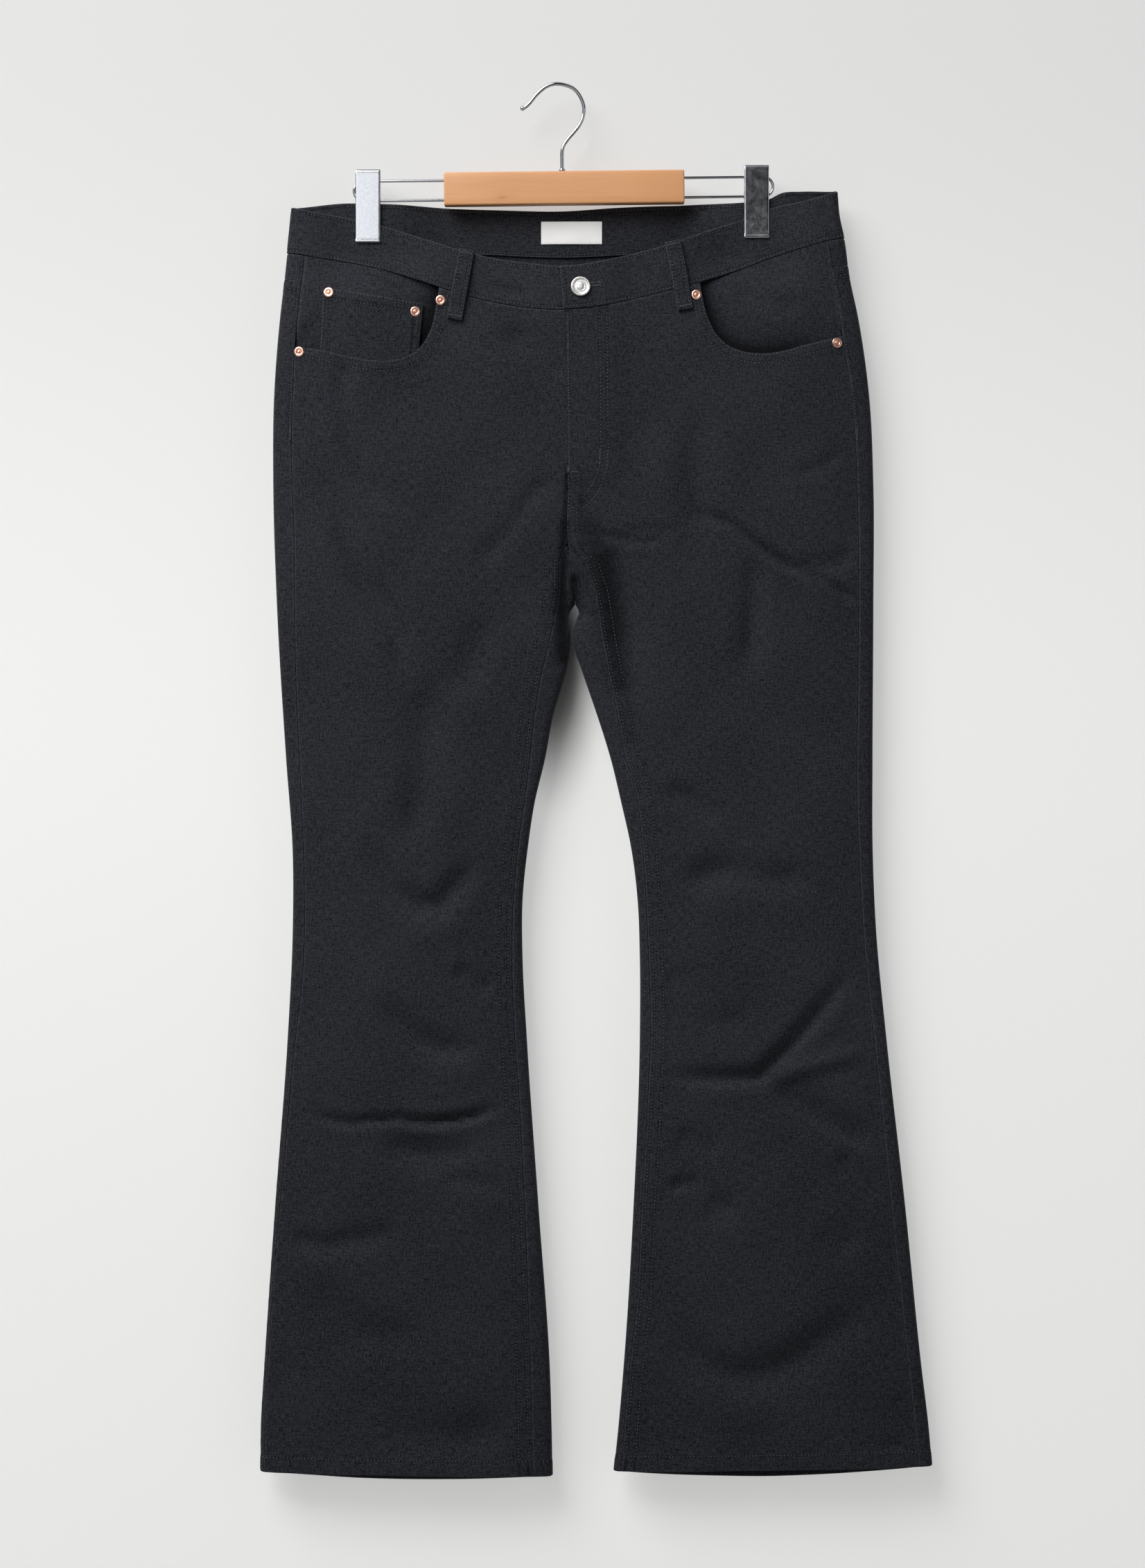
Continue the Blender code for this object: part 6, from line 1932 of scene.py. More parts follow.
@dataclass
class Waistband:
    """One strip all round, from its buttoned end in front to the underlap beneath it."""

    step: float = 2.6
    ripple: float = 0.16

    @staticmethod
    def lift(x: Array, side: Array, face: Array) -> Array:
        """The buttoned end lies on the underlap."""
        raised = (WAISTBAND_WALL + LAYER_GAP) * (1 - ease((x - LAP_FLAT) / LAP_RAMP))
        return WAISTBAND_PROUD + np.where((side == Side.LEFT) & (face == Face.FRONT), raised, 0)

    def run(self, side: Side, face: Face, end: float, lean: float, turned: bool) -> tuple[Array, ...]:
        """The places of one quarter of the strip.

        Args:
            side: the wearer's side.
            face: the wall.
            end: x of its end, at mid height.
            lean: how far the end leans for each millimetre down.
            turned: it starts at the fold.

        Returns:
            x, z, side and face, and how far points lie from its end, its top and its seam, each with a row
            for each line of points.
        """
        length = abs(OUTER[side](-150.0) - end)
        near = FLY_EDGE.near if face == Face.FRONT else (0.0,)
        spread = Spread(near, (0.0,), int(length / self.step))
        places = spread.places(0.0, length) / length
        fold = np.linspace(0, 1, 5)[1:]
        share = np.concatenate([places, np.ones(4)])
        round_fold = np.concatenate([np.zeros(len(places)), fold])

        def arc(z: Array) -> Array:
            """Length along the cloth from the fold to each column."""
            whole = FORM.arc(side * (OUTER[side](z) - end + lean * (z - LAP_MIDDLE_Z)))
            return (FORM.quarter + (whole - FORM.quarter) * (1 - share)) * (1 - round_fold)

        def across(z: Array) -> tuple[Array]:
            """x of each column."""
            return (OUTER[side](z) - side * FORM.distance(arc(z)),)

        start = np.full(len(share), -150.0)
        top = settle(WAIST_TOP[face], start, across)
        seam = settle(WAIST_SEAM[face], start, across)
        z = Spread(BAND_TOP.near, BAND_SEAM.near, 7).places(top, seam).T
        x, u = across(z)[0], arc(z)
        order = slice(None, None, -1) if turned else slice(None)
        sides, faces = np.full_like(x, side), np.full_like(x, face)
        ends = np.abs(whole_end(side, face, end, lean, z, u))
        below, above = np.broadcast_to(top, z.shape) - z, z - np.broadcast_to(seam, z.shape)
        return tuple(part[:, order] for part in (x, z, sides, faces, ends, below, above))

    def build(self, dresser: Dresser, finishes: Finishes) -> Object:
        """The waistband, in place of its solid."""
        quarters = [
            self.run(Side.LEFT, Face.FRONT, LAP_END, LAP_LEAN, False),
            self.run(Side.LEFT, Face.BACK, MIDDLE_BACK_X, 0.0, True),
            self.run(Side.RIGHT, Face.BACK, MIDDLE_BACK_X, 0.0, False),
            self.run(Side.RIGHT, Face.FRONT, UNDERLAP_END, 0.0, True),
        ]
        joined = [np.concatenate([part if k == 0 else part[:, 1:] for k, part in enumerate(parts)], axis=1)
                  for parts in zip(*quarters)]
        x, z, side, face, ends, below, above = joined
        points = FORM.cloth(x, z, side, face, 0.0)
        steps = np.linalg.norm(np.diff(points[len(points) // 2], axis=0), axis=1)
        along = np.concatenate([[0], np.cumsum(steps)])
        flat = np.stack([np.broadcast_to(along, x.shape), -below], axis=-1)
        way = flat[..., 0]
        seams = [Seam(BAND_TOP, below, way), Seam(BAND_SEAM, above, way), Seam(BAND_END, ends, z)]
        ripple = self.ripple * np.sin(way / 6.3) * np.sin(way / 41.0) * ease(below / 8) * ease(above / 8)
        layer = Layer(x, z, face, self.lift(x, side, face), lifted(seams) + ripple, WAISTBAND_WALL, flat,
                      toned(seams), side)
        return dresser.cloth(layer.grid("waistband_denim"), finishes.band_denim, "waistband",
                             ["clip_right_front", "clip_left_front", "clip_right_back", "clip_left_back"])


def whole_end(side: Side, face: Face, end: float, lean: float, z: Array, arc: Array) -> Array:
    """How far points of the waistband lie from its own end; far off on the back, which has none."""
    if face == Face.BACK:
        return np.full_like(z, FAR)
    return FORM.arc(side * (OUTER[side](z) - end + lean * (z - LAP_MIDDLE_Z))) - arc


@dataclass
class BeltLoop:
    """A folded strip with its ends turned under."""

    loop: Loop
    width: float = 13.0
    wall: float = 2.2
    turned_end: float = 7.0
    length: float = 61.0
    end: Edge = Edge(roll=0.8)
    edge: Edge = Edge(rows=(2.6,), roll=0.7, reach=1.0, groove=0.25, near=(0.0, 0.3, 0.8, 1.6, 2.6, 3.6))

    def place(self, along: Array, across: Array) -> tuple[Array, Array]:
        """x and z from the share of the way down and the distance from the middle."""
        run, drop = self.loop.bottom.x - self.loop.top.x, self.loop.bottom.z - self.loop.top.z
        return self.loop.top.x + run * along + across, self.loop.top.z + drop * along - across * run / drop

    def seams(self, along: Array, across: Array) -> list[Seam]:
        """The sewn edges down its sides, and its folded ends."""
        length = math.hypot(self.loop.bottom.x - self.loop.top.x, self.loop.bottom.z - self.loop.top.z)
        ends = np.minimum(along, 1 - along) * length
        side = self.width / 2 - np.abs(across)
        return [Seam(self.edge, side, along * length), Seam(self.end, ends, across)]

    def lift(self, along: Array, across: Array) -> Array:
        """How far out the loop's face lies."""
        sides, end = self.seams(along, across)
        thick = 0.7 * (1 - ease((end.distance - self.turned_end) / 1.5))
        return LOOP_CLEARANCE(along) + self.wall + thick + lifted([sides, end])

    def build(self, dresser: Dresser, finishes: Finishes) -> Object:
        """The loop, in place of its solid."""
        near = (0.0, 0.3, 0.8, 1.6, 2.6, 4.0, 5.6, 6.6, 7.6, 9.0)
        half, rim = self.width / 2, self.edge.near
        down = Spread(near, near, 14).places(0.0, self.length) / self.length
        along, across = np.meshgrid(down, Spread(rim, rim, 3).places(-half, half), indexing="ij")
        x, z = self.place(along, across)
        side = np.where(x < CROTCH.x, Side.RIGHT, Side.LEFT)
        lift = self.lift(along, across)
        base = LOOP_CLEARANCE(along) + self.wall
        layer = Layer(x, z, np.full_like(x, self.loop.face), base, lift - base, self.wall,
                      np.stack([across, along * self.length], axis=-1), toned(self.seams(along, across)), side)
        return dresser.cloth(layer.grid(f"{self.loop.name}_denim"), finishes.denim, self.loop.name, ["waistband"])


@dataclass
class Label:
    """A bare white label, flat on the inside of the back waistband."""

    x: float = 13.6
    z: float = -125.4
    width: float = 52.8
    height: float = 19.4
    wall: float = 0.9
    behind: float = WAISTBAND_WALL - WAISTBAND_PROUD + SEAM_GAP

    def build(self, dresser: Dresser, finishes: Finishes) -> Object:
        """The label, in place of its solid."""
        near = (0.0, 0.25, 0.7, 1.4, 2.4)
        z, x = np.meshgrid(Spread(near, near, 8).places(self.z + self.height / 2, self.z - self.height / 2),
                           Spread(near, near, 26).places(self.x - self.width / 2, self.x + self.width / 2),
                           indexing="ij")
        side_edge = self.width / 2 - np.abs(x - self.x)
        end = self.height / 2 - np.abs(z - self.z)
        drawn = 0.35 * np.exp(-((side_edge / 3.0) ** 2)) + 0.12 * np.sin(x / 5.3) * np.sin(z / 4.1)
        layer = Layer(x, z, np.full_like(x, Face.BACK), np.full_like(x, -self.behind), 0 * x,
                      self.wall - drawn - 0.25 * np.exp(-((end / 0.8) ** 2)),
                      np.stack([x, z], axis=-1), 0 * x, Side.LEFT)
        return dresser.cloth(layer.grid("label_tape"), finishes.label, "label", ["waistband"], "label_cloth")


# ---------------------------------------------------------------- sewing


@dataclass
class Stitches:
    """Rows of stitches in one joined mesh, each stitch a small arched bead of thread."""

    name: str
    pitch: float = 3.0
    length: float = 2.05
    width: float = 0.8
    height: float = 0.55
    seed: int = 7
    bar_pitch: float = 0.62
    bar_lean: float = 0.22
    bar_thread: float = 0.5
    starts: list[Array] = field(default_factory=list)
    frames: list[Array] = field(default_factory=list)
    sizes: list[Array] = field(default_factory=list)

    def row(self, x: Array, z: Array, side: Any, face: Any, lift: Callable[[Array, Array], Array],
            pitch: float | None = None, length: float | None = None, width: float | None = None,
            inside: bool = False) -> None:
        """Adds a row along places on the cloth.

        Args:
            x: places across.
            z: heights.
            side: the wearer's side.
            face: the wall.
            lift: how far out the cloth's face lies at places.
            pitch: from one stitch to the next.
            length: of a stitch.
            width: of a stitch.
            inside: the row shows on the cloth's inner face.
        """
        x, z = np.asarray(x, float), np.asarray(z, float)
        run = np.concatenate([[0], np.cumsum(np.hypot(np.diff(x), np.diff(z)))])
        fine = np.linspace(0, run[-1], max(int(run[-1] / 0.75), 4))
        x, z = np.interp(fine, run, x), np.interp(fine, run, z)
        out = lift(x, z)
        path = FORM.cloth(x, z, side, face, out)
        normal = FORM.cloth(x, z, side, face, out + 1.0) - path
        self.along(path, -normal if inside else normal, pitch, length, width)

    def along(self, path: Array, normal: Array, pitch: float | None = None, length: float | None = None,
              width: float | None = None) -> None:
        """Adds stitches along a path.

        Args:
            path: points.
            normal: the way out at each.
            pitch: from one stitch to the next.
            length: of a stitch.
            width: of a stitch.
        """
        pitch, length, width = pitch or self.pitch, length or self.length, width or self.width
        steps = np.linalg.norm(np.diff(path, axis=0), axis=1)
        run = np.concatenate([[0], np.cumsum(steps)])
        count = max(int(run[-1] / pitch), 1)
        middles = (np.arange(count) + 0.5) * run[-1] / count
        at = lambda where, values: np.stack([np.interp(where, run, values[:, i]) for i in range(3)], axis=1)
        centre, out = at(middles, path), at(middles, normal)
        tangent = at(middles + length / 3, path) - at(middles - length / 3, path)
        self.add(centre, tangent, out, length, width)

    def add(self, centre: Array, tangent: Array, out: Array, length: float, width: float) -> None:
        """Keeps stitches by their middles, the ways they run and the ways out."""
        tangent = tangent / np.linalg.norm(tangent, axis=1, keepdims=True)
        out = out - (out * tangent).sum(axis=1, keepdims=True) * tangent
        out = out / np.linalg.norm(out, axis=1, keepdims=True)
        self.starts.append(centre)
        self.frames.append(np.stack([tangent, np.cross(out, tangent), out], axis=1))
        self.sizes.append(np.tile([length, width], (len(centre), 1)))

    def bartack(self, x: float, z: float, length: float, width: float, angle: float, side: Any, face: Any,
                lift: Callable[[Array, Array], Array]) -> None:
        """Adds a short dense bar of stitches across a line.

        Args:
            x: its middle across.
            z: its middle height.
            length: of the bar.
            width: of the bar, which is the stitches' length.
            angle: of the bar from level, in degrees.
            side: the wearer's side.
            face: the wall.
            lift: how far out the cloth's face lies at places.
        """
        turn = math.radians(angle)
        count = int(length / self.bar_pitch)
        t = (np.arange(count) + 0.5) / count - 0.5
        bar_x, bar_z = x + t * length * math.cos(turn), z + t * length * math.sin(turn)
        out = lift(bar_x, bar_z) + 0.1
        centre = FORM.cloth(bar_x, bar_z, side, face, out)
        normal = FORM.cloth(bar_x, bar_z, side, face, out + 1.0) - centre
        over = np.array([-math.sin(turn), 0.0, math.cos(turn)])
        way = np.array([math.cos(turn), 0, math.sin(turn)])
        lean = np.where(np.arange(count) % 2 == 0, self.bar_lean, -self.bar_lean)[:, None] * way
        self.add(centre, over + lean, normal, width, self.bar_thread)

    def build(self, dresser: Dresser, finishes: Finishes) -> Object:
        """The joined mesh."""
        rings, sides = 4, 6
        t = np.linspace(-0.46, 0.46, rings)
        fat = np.array([0.62, 1.0, 1.0, 0.62])
        rise = 0.5 - 1.15 * (2 * t) ** 2
        angle = 2 * math.pi * np.arange(sides) / sides
        bead = [(t[i], math.cos(a) * 0.5 * fat[i], (math.sin(a) * 0.5 * fat[i]) + rise[i] * 0.45)
                for i in range(rings) for a in angle]
        bead += [(-0.53, 0.0, -0.75), (0.53, 0.0, -0.75)]
        first, last = rings * sides, rings * sides + 1
        ring = np.arange(rings * sides).reshape(rings, sides)
        faces = ladder(np.concatenate([ring, ring[:, :1]], axis=1))
        caps = [(first, (j + 1) % sides, j) for j in range(sides)]
        end = (rings - 1) * sides
        caps += [(last, end + j, end + (j + 1) % sides) for j in range(sides)]
        centre, frame, size = (np.concatenate(part) for part in (self.starts, self.frames, self.sizes))
        chance = np.random.default_rng(self.seed)
        size = size * (1 + 0.07 * chance.standard_normal((len(size), 1)))
        skew = 0.06 * chance.standard_normal(len(size))
        tangent = frame[:, 0] + skew[:, None] * frame[:, 1]
        scale = np.stack([*size.T, np.full(len(size), self.height)], axis=1)
        local = np.array(bead)[None] * scale[:, None]
        points = centre[:, None] + local[..., :1] * tangent[:, None] + local[..., 1:2] * frame[:, None, 1]
        points = points + local[..., 2:] * frame[:, None, 2]
        offsets = len(bead) * np.arange(len(centre))[:, None]
        quads = (faces[None] + offsets[..., None]).reshape(-1, 4)
        tips = (np.array(caps)[None] + offsets[..., None]).reshape(-1, 3)
        mesh = bpy.data.meshes.new(self.name)
        mesh.from_pydata((points.reshape(-1, 3) * MM).tolist(), [], quads.tolist() + tips.tolist())
        mesh.shade_smooth()
        mesh.materials.append(finishes.thread)
        made = bpy.data.objects.new(self.name, mesh)
        bpy.context.scene.collection.objects.link(made)
        return dresser.piece(made, "denim")


class Sewing:
    """All the stitching, in a few joined meshes."""

    def __init__(self, dresser: Dresser, finishes: Finishes) -> None:
        """Keeps what it works with.

        Args:
            finishes: the part's finishes.
        """
        self.dresser = dresser
        self.finishes = finishes

    def fronts(self) -> None:
        """Inseams, hems, fly, pocket mouths and coin pocket."""
        stitches = Stitches("front_stitching")
        for side in Side:
            panel = FrontPanel(side)
            lift = panel.lift
            hem = HEMS[side]
            z = np.linspace(-402.0 if side == Side.RIGHT else -408.0, hem.inner + 14.0, 400)
            for row in INSEAM_EDGE.rows:
                stitches.row(panel.inner_line(z) + side * row, z, side, Face.FRONT, lift)
            x = np.linspace(float(panel.inner_line(np.array(-1190.0))) + side * 1.0,
                            float(panel.outer_line(np.array(-1190.0))) - side * 1.0, 80)
            stitches.row(x, hem_height(x, side, Face.FRONT) + HEM_EDGE.rows[0], side, Face.FRONT, lift)
            mouth, under = mouth_and_under(side, 60, side * 1.0)
            for row in MOUTH_EDGE.rows:
                line = mouth + row * under
                keep = line[:, 1] < WAIST_SEAM[Face.FRONT](line[:, 0]) - 1.5
                stitches.row(line[keep, 0], line[keep, 1], side, Face.FRONT, lift)
        self.fly(stitches)
        self.coin_pocket(stitches)
        stitches.build(self.dresser, self.finishes)

    def fly(self, stitches: Stitches) -> None:
        """The fly's edge row, its two curved rows, the rise seam below and the bartacks."""
        panel = FrontPanel(Side.LEFT)
        lift = panel.lift
        z = np.linspace(-199.0, FLY_LAP_Z, 60)
        stitches.row(panel.inner_line(z) + FLY_EDGE.rows[0], z, Side.LEFT, Face.FRONT, lift, 2.6, 2.1, 0.55)
        curves = (
            ((0.0, -314.0), (-1.3, -329.0), (-5.4, -342.0), (-11.6, -352.3), (-17.0, -358.5)),
            ((0.0, -316.0), (-1.5, -333.0), (-6.4, -348.0), (-13.6, -359.4), (-22.2, -367.0)),
        )
        for row, curve in zip(FLY_ROWS, curves):
            straight = np.linspace(-198.0, curve[0][1], 40)
            end = float(panel.inner_line(np.array(curve[0][1]))) + row
            bend = np.array(curve)[1:]
            steps = np.arange(len(curve))
            fine = np.linspace(0, len(curve) - 1, 60)[1:]
            turned = end + Curve(steps, [0.0, *bend[:, 0]])(fine)
            x = np.concatenate([panel.inner_line(straight) + row, turned])
            z = np.concatenate([straight, Curve(steps, [curve[0][1], *bend[:, 1]])(fine)])
            stitches.row(x, z, Side.LEFT, Face.FRONT, lift)
        z = np.linspace(-338.0, JUNCTION_Z + 3.0, 30)
        for row in RISE_EDGE.rows:
            stitches.row(panel.inner_line(z) + row, z, Side.LEFT, Face.FRONT, lift)
        stitches.bartack(15.8, -336.0, 7.0, 1.9, 2.0, Side.LEFT, Face.FRONT, lift)
        stitches.bartack(38.0, -321.0, 9.0, 1.9, 90.0, Side.LEFT, Face.FRONT, lift)
        for side, x, z in ((Side.RIGHT, -229.0, -302.0), (Side.LEFT, 260.2, -302.5)):
            back = BackPanel(side)
            stitches.bartack(x, z, 11.5, 2.0, 88.0, side, Face.FRONT,
                             lambda a, b: back.lift(a, b, np.full_like(a, Face.FRONT)) + 0.25)

    def coin_pocket(self, stitches: Stitches) -> None:
        """The coin pocket's hem rows and its two rows down each side."""
        lift = lambda x, z: coin_lift(x, z) - 0.05
        start, end = COIN_TOP
        for row in (1.6, 8.8):
            x = np.linspace(start.x + 1.2, end.x - 1.2, 30)
            z = start.z + (end.z - start.z) * (x - start.x) / (end.x - start.x) - row
            stitches.row(x, z, Side.RIGHT, Face.FRONT, lift)
        for top, foot, way in ((start, COIN_SIDES_AT_MOUTH[0], 1.0), (end, COIN_SIDES_AT_MOUTH[1], -1.0)):
            for row in (1.5, 7.4):
                t = np.linspace(0.03, 1, 30)
                x = top.x + (foot - top.x) * t + way * row
                z = top.z + (MOUTH_LINE[Side.RIGHT](np.array(foot)) - top.z) * t - 0.16 * way * row
                keep = mouth_distance(x, z, Side.RIGHT) > 1.0
                stitches.row(x[keep], z[keep], Side.RIGHT, Face.FRONT, lift)

    def backs(self) -> None:
        """Outseams, hems, yoke seams, the seat seam and the back pockets."""
        stitches = Stitches("back_stitching", seed=11)
        for side in Side:
            panel = BackPanel(side)

            def lift(x: Array, z: Array, face: Face = Face.BACK) -> Array:
                """How far out the back panel's face lies."""
                return panel.lift(x, z, np.full_like(x, face))

            front_lift = lambda a, b: lift(a, b, Face.FRONT)
            z = np.linspace(float(YOKE_LINE(OUTSEAM[side](-160.0))) - 1.0, -313.0, 60)
            x = OUTSEAM[side](z) + side * (OUTSEAM_STITCHED.rows[0] + SEAM_GAP / 2)
            stitches.row(x, z, side, Face.FRONT, front_lift, 2.7, 2.1, 0.55)
            hem = HEMS[side]
            fold, inner_fold = OUTER[side](hem.outer) - side * 3.0, INNER[side](hem.inner) + side * 3.0
            x = np.linspace(fold, inner_fold, 80)
            stitches.row(x, hem_height(x, side, Face.BACK) + HEM_EDGE.rows[0], side, Face.BACK, lift)
            outseam, inseam = OUTSEAM[side](CUFF_Z) + side, INSEAM[side](CUFF_Z) - side
            for start, end in ((fold, outseam), (inseam, inner_fold)):
                x = np.linspace(start, end, 12)
                stitches.row(x, hem_height(x, side, Face.FRONT) + HEM_EDGE.rows[0], side, Face.FRONT, front_lift)
            for row in YOKE_EDGE.rows:
                middle, turned = RISE[Face.BACK](np.array(-205.0)) + side, OUTER[side](-170.0) - side * 3.0
                x = np.linspace(middle, turned, 80)
                stitches.row(x, YOKE_LINE(x) - row - SEAM_GAP / 2, side, Face.BACK, lift)
                x = np.linspace(OUTER[side](-165.0) - side * 3.0, OUTSEAM[side](-170.0) + side * 1.2, 12)
                stitches.row(x, YOKE_LINE(x) - row - SEAM_GAP / 2, side, Face.FRONT, front_lift)
            pocket = BackPocket(side)
            raised = LAYER_GAP + BACK_POCKET_WALL - 0.05
            for x, z in pocket.rows():
                stitches.row(x, z, side, Face.BACK, lambda a, b: np.full_like(a, raised))
            for end in (-1, 1):
                x, z = pocket.place(np.array(end * (0.5 - 3.6 / pocket.width)), np.array(0.03))
                stitches.bartack(float(x), float(z), 6.5, 2.2, 0.0, side, Face.BACK,
                                 lambda a, b: np.full_like(a, raised + 0.3))
        back = BackPanel(Side.LEFT)
        z = np.linspace(-150.0, CROTCH.z + 22.0, 120)
        for row in RISE_EDGE.rows:
            stitches.row(RISE[Face.BACK](z) + row + SEAM_GAP / 2, z, Side.LEFT, Face.BACK,
                         lambda a, b: back.lift(a, b, np.full_like(a, Face.BACK)))
        stitches.build(self.dresser, self.finishes)

    def waist(self) -> None:
        """The waistband's rows, outside and in, the belt loops and the buttonhole."""
        stitches = Stitches("waist_stitching", seed=13)
        top, seam = BAND_TOP.rows[0], BAND_SEAM.rows[0]
        dip = -BAND_TOP.groove
        quarters = ((Side.LEFT, Face.FRONT), (Side.LEFT, Face.BACK), (Side.RIGHT, Face.BACK),
                    (Side.RIGHT, Face.FRONT))
        for side, face in quarters:
            start = LAP_END + 3.0 * side if face == Face.FRONT else MIDDLE_BACK_X
            lift = lambda a, b: Waistband.lift(a, side, face) + dip
            for line, row in ((WAIST_TOP[face], -top), (WAIST_SEAM[face], seam)):
                fold = OUTER[side](line(side * 999.0) + row) - side * 2.0
                x = np.linspace(start, fold, 200)
                stitches.row(x, line(x) + row, side, face, lift)
            if face == Face.BACK:
                x = np.linspace(MIDDLE_BACK_X, MIDDLE_BACK_X + side * 190.0, 160)
                within = lambda a, b: np.full_like(a, WAISTBAND_PROUD - WAISTBAND_WALL - 0.02)
                stitches.row(x, WAIST_TOP[face](x) - top, side, face, within, inside=True)
                stitches.row(x, WAIST_SEAM[face](x) + seam, side, face, within, inside=True)
        z = np.linspace(-161.5, -193.5, 20)
        stitches.row(LAP_END - LAP_LEAN * (z - LAP_MIDDLE_Z) + 2.6, z, Side.LEFT, Face.FRONT,
                     lambda a, b: Waistband.lift(a, Side.LEFT, Face.FRONT) + dip)
        for loop in BELT_LOOPS:
            self.loop_rows(stitches, BeltLoop(loop))
        self.buttonhole(stitches)
        stitches.build(self.dresser, self.finishes)

    def loop_rows(self, stitches: Stitches, loop: BeltLoop) -> None:
        """Two rows down a belt loop, and a bartack across each end."""
        centre = loop.loop.top.x
        side = Side.RIGHT if centre < CROTCH.x else Side.LEFT
        drop = loop.loop.bottom.z - loop.loop.top.z
        run = loop.loop.bottom.x - loop.loop.top.x

        def lift(x: Array, z: Array) -> Array:
            """How far out the loop's face lies."""
            along = ((x - loop.loop.top.x) * run + (z - loop.loop.top.z) * drop) / (run**2 + drop**2)
            across = x - loop.loop.top.x - run * along
            return loop.lift(np.clip(along, 0, 1), across)

        for way in (-1, 1):
            t = np.linspace(0.03, 0.97, 40)
            x, z = loop.place(t, np.full_like(t, way * (loop.width / 2 - loop.edge.rows[0])))
            stitches.row(x, z, side, loop.loop.face, lift)
        tilt = -math.degrees(math.atan2(run, -drop))
        for along in (0.05, 0.95):
            x, z = loop.place(np.array(along), np.array(0.0))
            stitches.bartack(float(x), float(z), loop.width - 2.0, 1.9, -tilt, side, loop.loop.face,
                             lambda a, b: lift(a, b) + 0.05)

    def buttonhole(self, stitches: Stitches) -> None:
        """The stitched slit that the button passes through, seen past the button."""
        lift = lambda x, z: Waistband.lift(x, Side.LEFT, Face.FRONT)
        for up in (-1.3, 1.3):
            stitches.bartack(27.0, -175.6 + up + 0.4, 22.0, 2.2, 6.0, Side.LEFT, Face.FRONT, lift)
        stitches.bartack(38.6, -174.6, 4.6, 2.6, 96.0, Side.LEFT, Face.FRONT, lift)


# ---------------------------------------------------------------- hard pieces


class Bench:
    """Modelling by hand: a primitive at a time, shaped in edit mode and finished with modifiers."""

    @staticmethod
    def clear() -> None:
        """Leaves nothing selected."""
        if bpy.context.object is not None and bpy.context.object.mode != "OBJECT":
            bpy.ops.object.mode_set(mode="OBJECT")
        bpy.ops.object.select_all(action="DESELECT")

    @staticmethod
    def edit(picked: Callable[[Vector], bool] | None, kind: str = "VERT") -> None:
        """Goes to edit mode with what lies in some places selected.

        Args:
            picked: a test of a vertex's or face's middle place in metres, or None for all.
            kind: VERT or FACE.
        """
        if bpy.context.object.mode != "EDIT":
            bpy.ops.object.mode_set(mode="EDIT")
        bpy.ops.mesh.select_mode(type=kind)
        bpy.ops.mesh.select_all(action="SELECT" if picked is None else "DESELECT")
        if picked is None:
            return
        mesh = bpy.context.object.data
        shape = bmesh.from_edit_mesh(mesh)
        for part in shape.verts if kind == "VERT" else shape.faces:
            place = part.co if kind == "VERT" else part.calc_center_median()
            if picked(place):
                part.select_set(True)
        shape.select_flush(True)
        bmesh.update_edit_mesh(mesh)

    @staticmethod
    def apply(kind: str, **settings: Any) -> None:
        """Adds a modifier to the active object and applies it.

        Args:
            kind: the modifier's type.
            settings: its properties.
        """
        bpy.ops.object.mode_set(mode="OBJECT")
        made = bpy.context.object.modifiers.new(kind.lower(), kind)
        for name, value in settings.items():
            setattr(made, name, value)
        bpy.ops.object.modifier_apply(modifier=made.name)

    @staticmethod
    def join(pieces: Sequence[Object]) -> Object:
        """Makes one object of several."""
        Bench.clear()
        for made in pieces:
            made.select_set(True)
        bpy.context.view_layer.objects.active = pieces[0]
        bpy.ops.object.join()
        return bpy.context.object

    @staticmethod
    def settle(made: Object, name: str, finish: bpy.types.Material, turn: Matrix | None = None,
               sharp: float = 32.0) -> Object:
        """Puts a piece's place in its mesh, smooths it and gives it its finish.

        Args:
            made: the object.
            name: its name.
            finish: its material.
            turn: a last turn about the origin.
            sharp: the angle in degrees past which an edge stays sharp.

        Returns:
            The object.
        """
        Bench.clear()
        made.select_set(True)
        bpy.context.view_layer.objects.active = made
        bpy.ops.object.transform_apply(location=True, rotation=True, scale=True)
        if turn is not None:
            made.data.transform(turn)
        made.name = name
        made.data.name = name
        made.data.materials.clear()
        made.data.materials.append(finish)
        bpy.ops.object.shade_smooth_by_angle(angle=math.radians(sharp))
        return made

    @staticmethod
    def spun(profile: Sequence[tuple[float, float]], steps: int) -> Object:
        """A closed round piece about Z, from a profile of (radius, height) in millimetres.

        Args:
            profile: from the outer foot to the middle of the top.
            steps: how many sides it has.

        Returns:
            The object.
        """
        Bench.clear()
        bpy.ops.mesh.primitive_plane_add(size=MM)
        bpy.ops.object.mode_set(mode="EDIT")
        mesh = bpy.context.object.data
        shape = bmesh.from_edit_mesh(mesh)
        bmesh.ops.delete(shape, geom=shape.verts[:], context="VERTS")
        points = [shape.verts.new((r * MM, 0, h * MM)) for r, h in profile]
        for a, b in zip(points, points[1:]):
            shape.edges.new((a, b))
        for part in (*shape.verts, *shape.edges):
            part.select_set(True)
        bmesh.update_edit_mesh(mesh)
        bpy.ops.mesh.spin(steps=steps, angle=2 * math.pi, center=(0, 0, 0), axis=(0, 0, 1))
        bpy.ops.mesh.select_all(action="SELECT")
        bpy.ops.mesh.remove_doubles(threshold=1e-6)
        bpy.ops.mesh.normals_make_consistent(inside=False)
        bpy.ops.object.mode_set(mode="OBJECT")
        return bpy.context.object


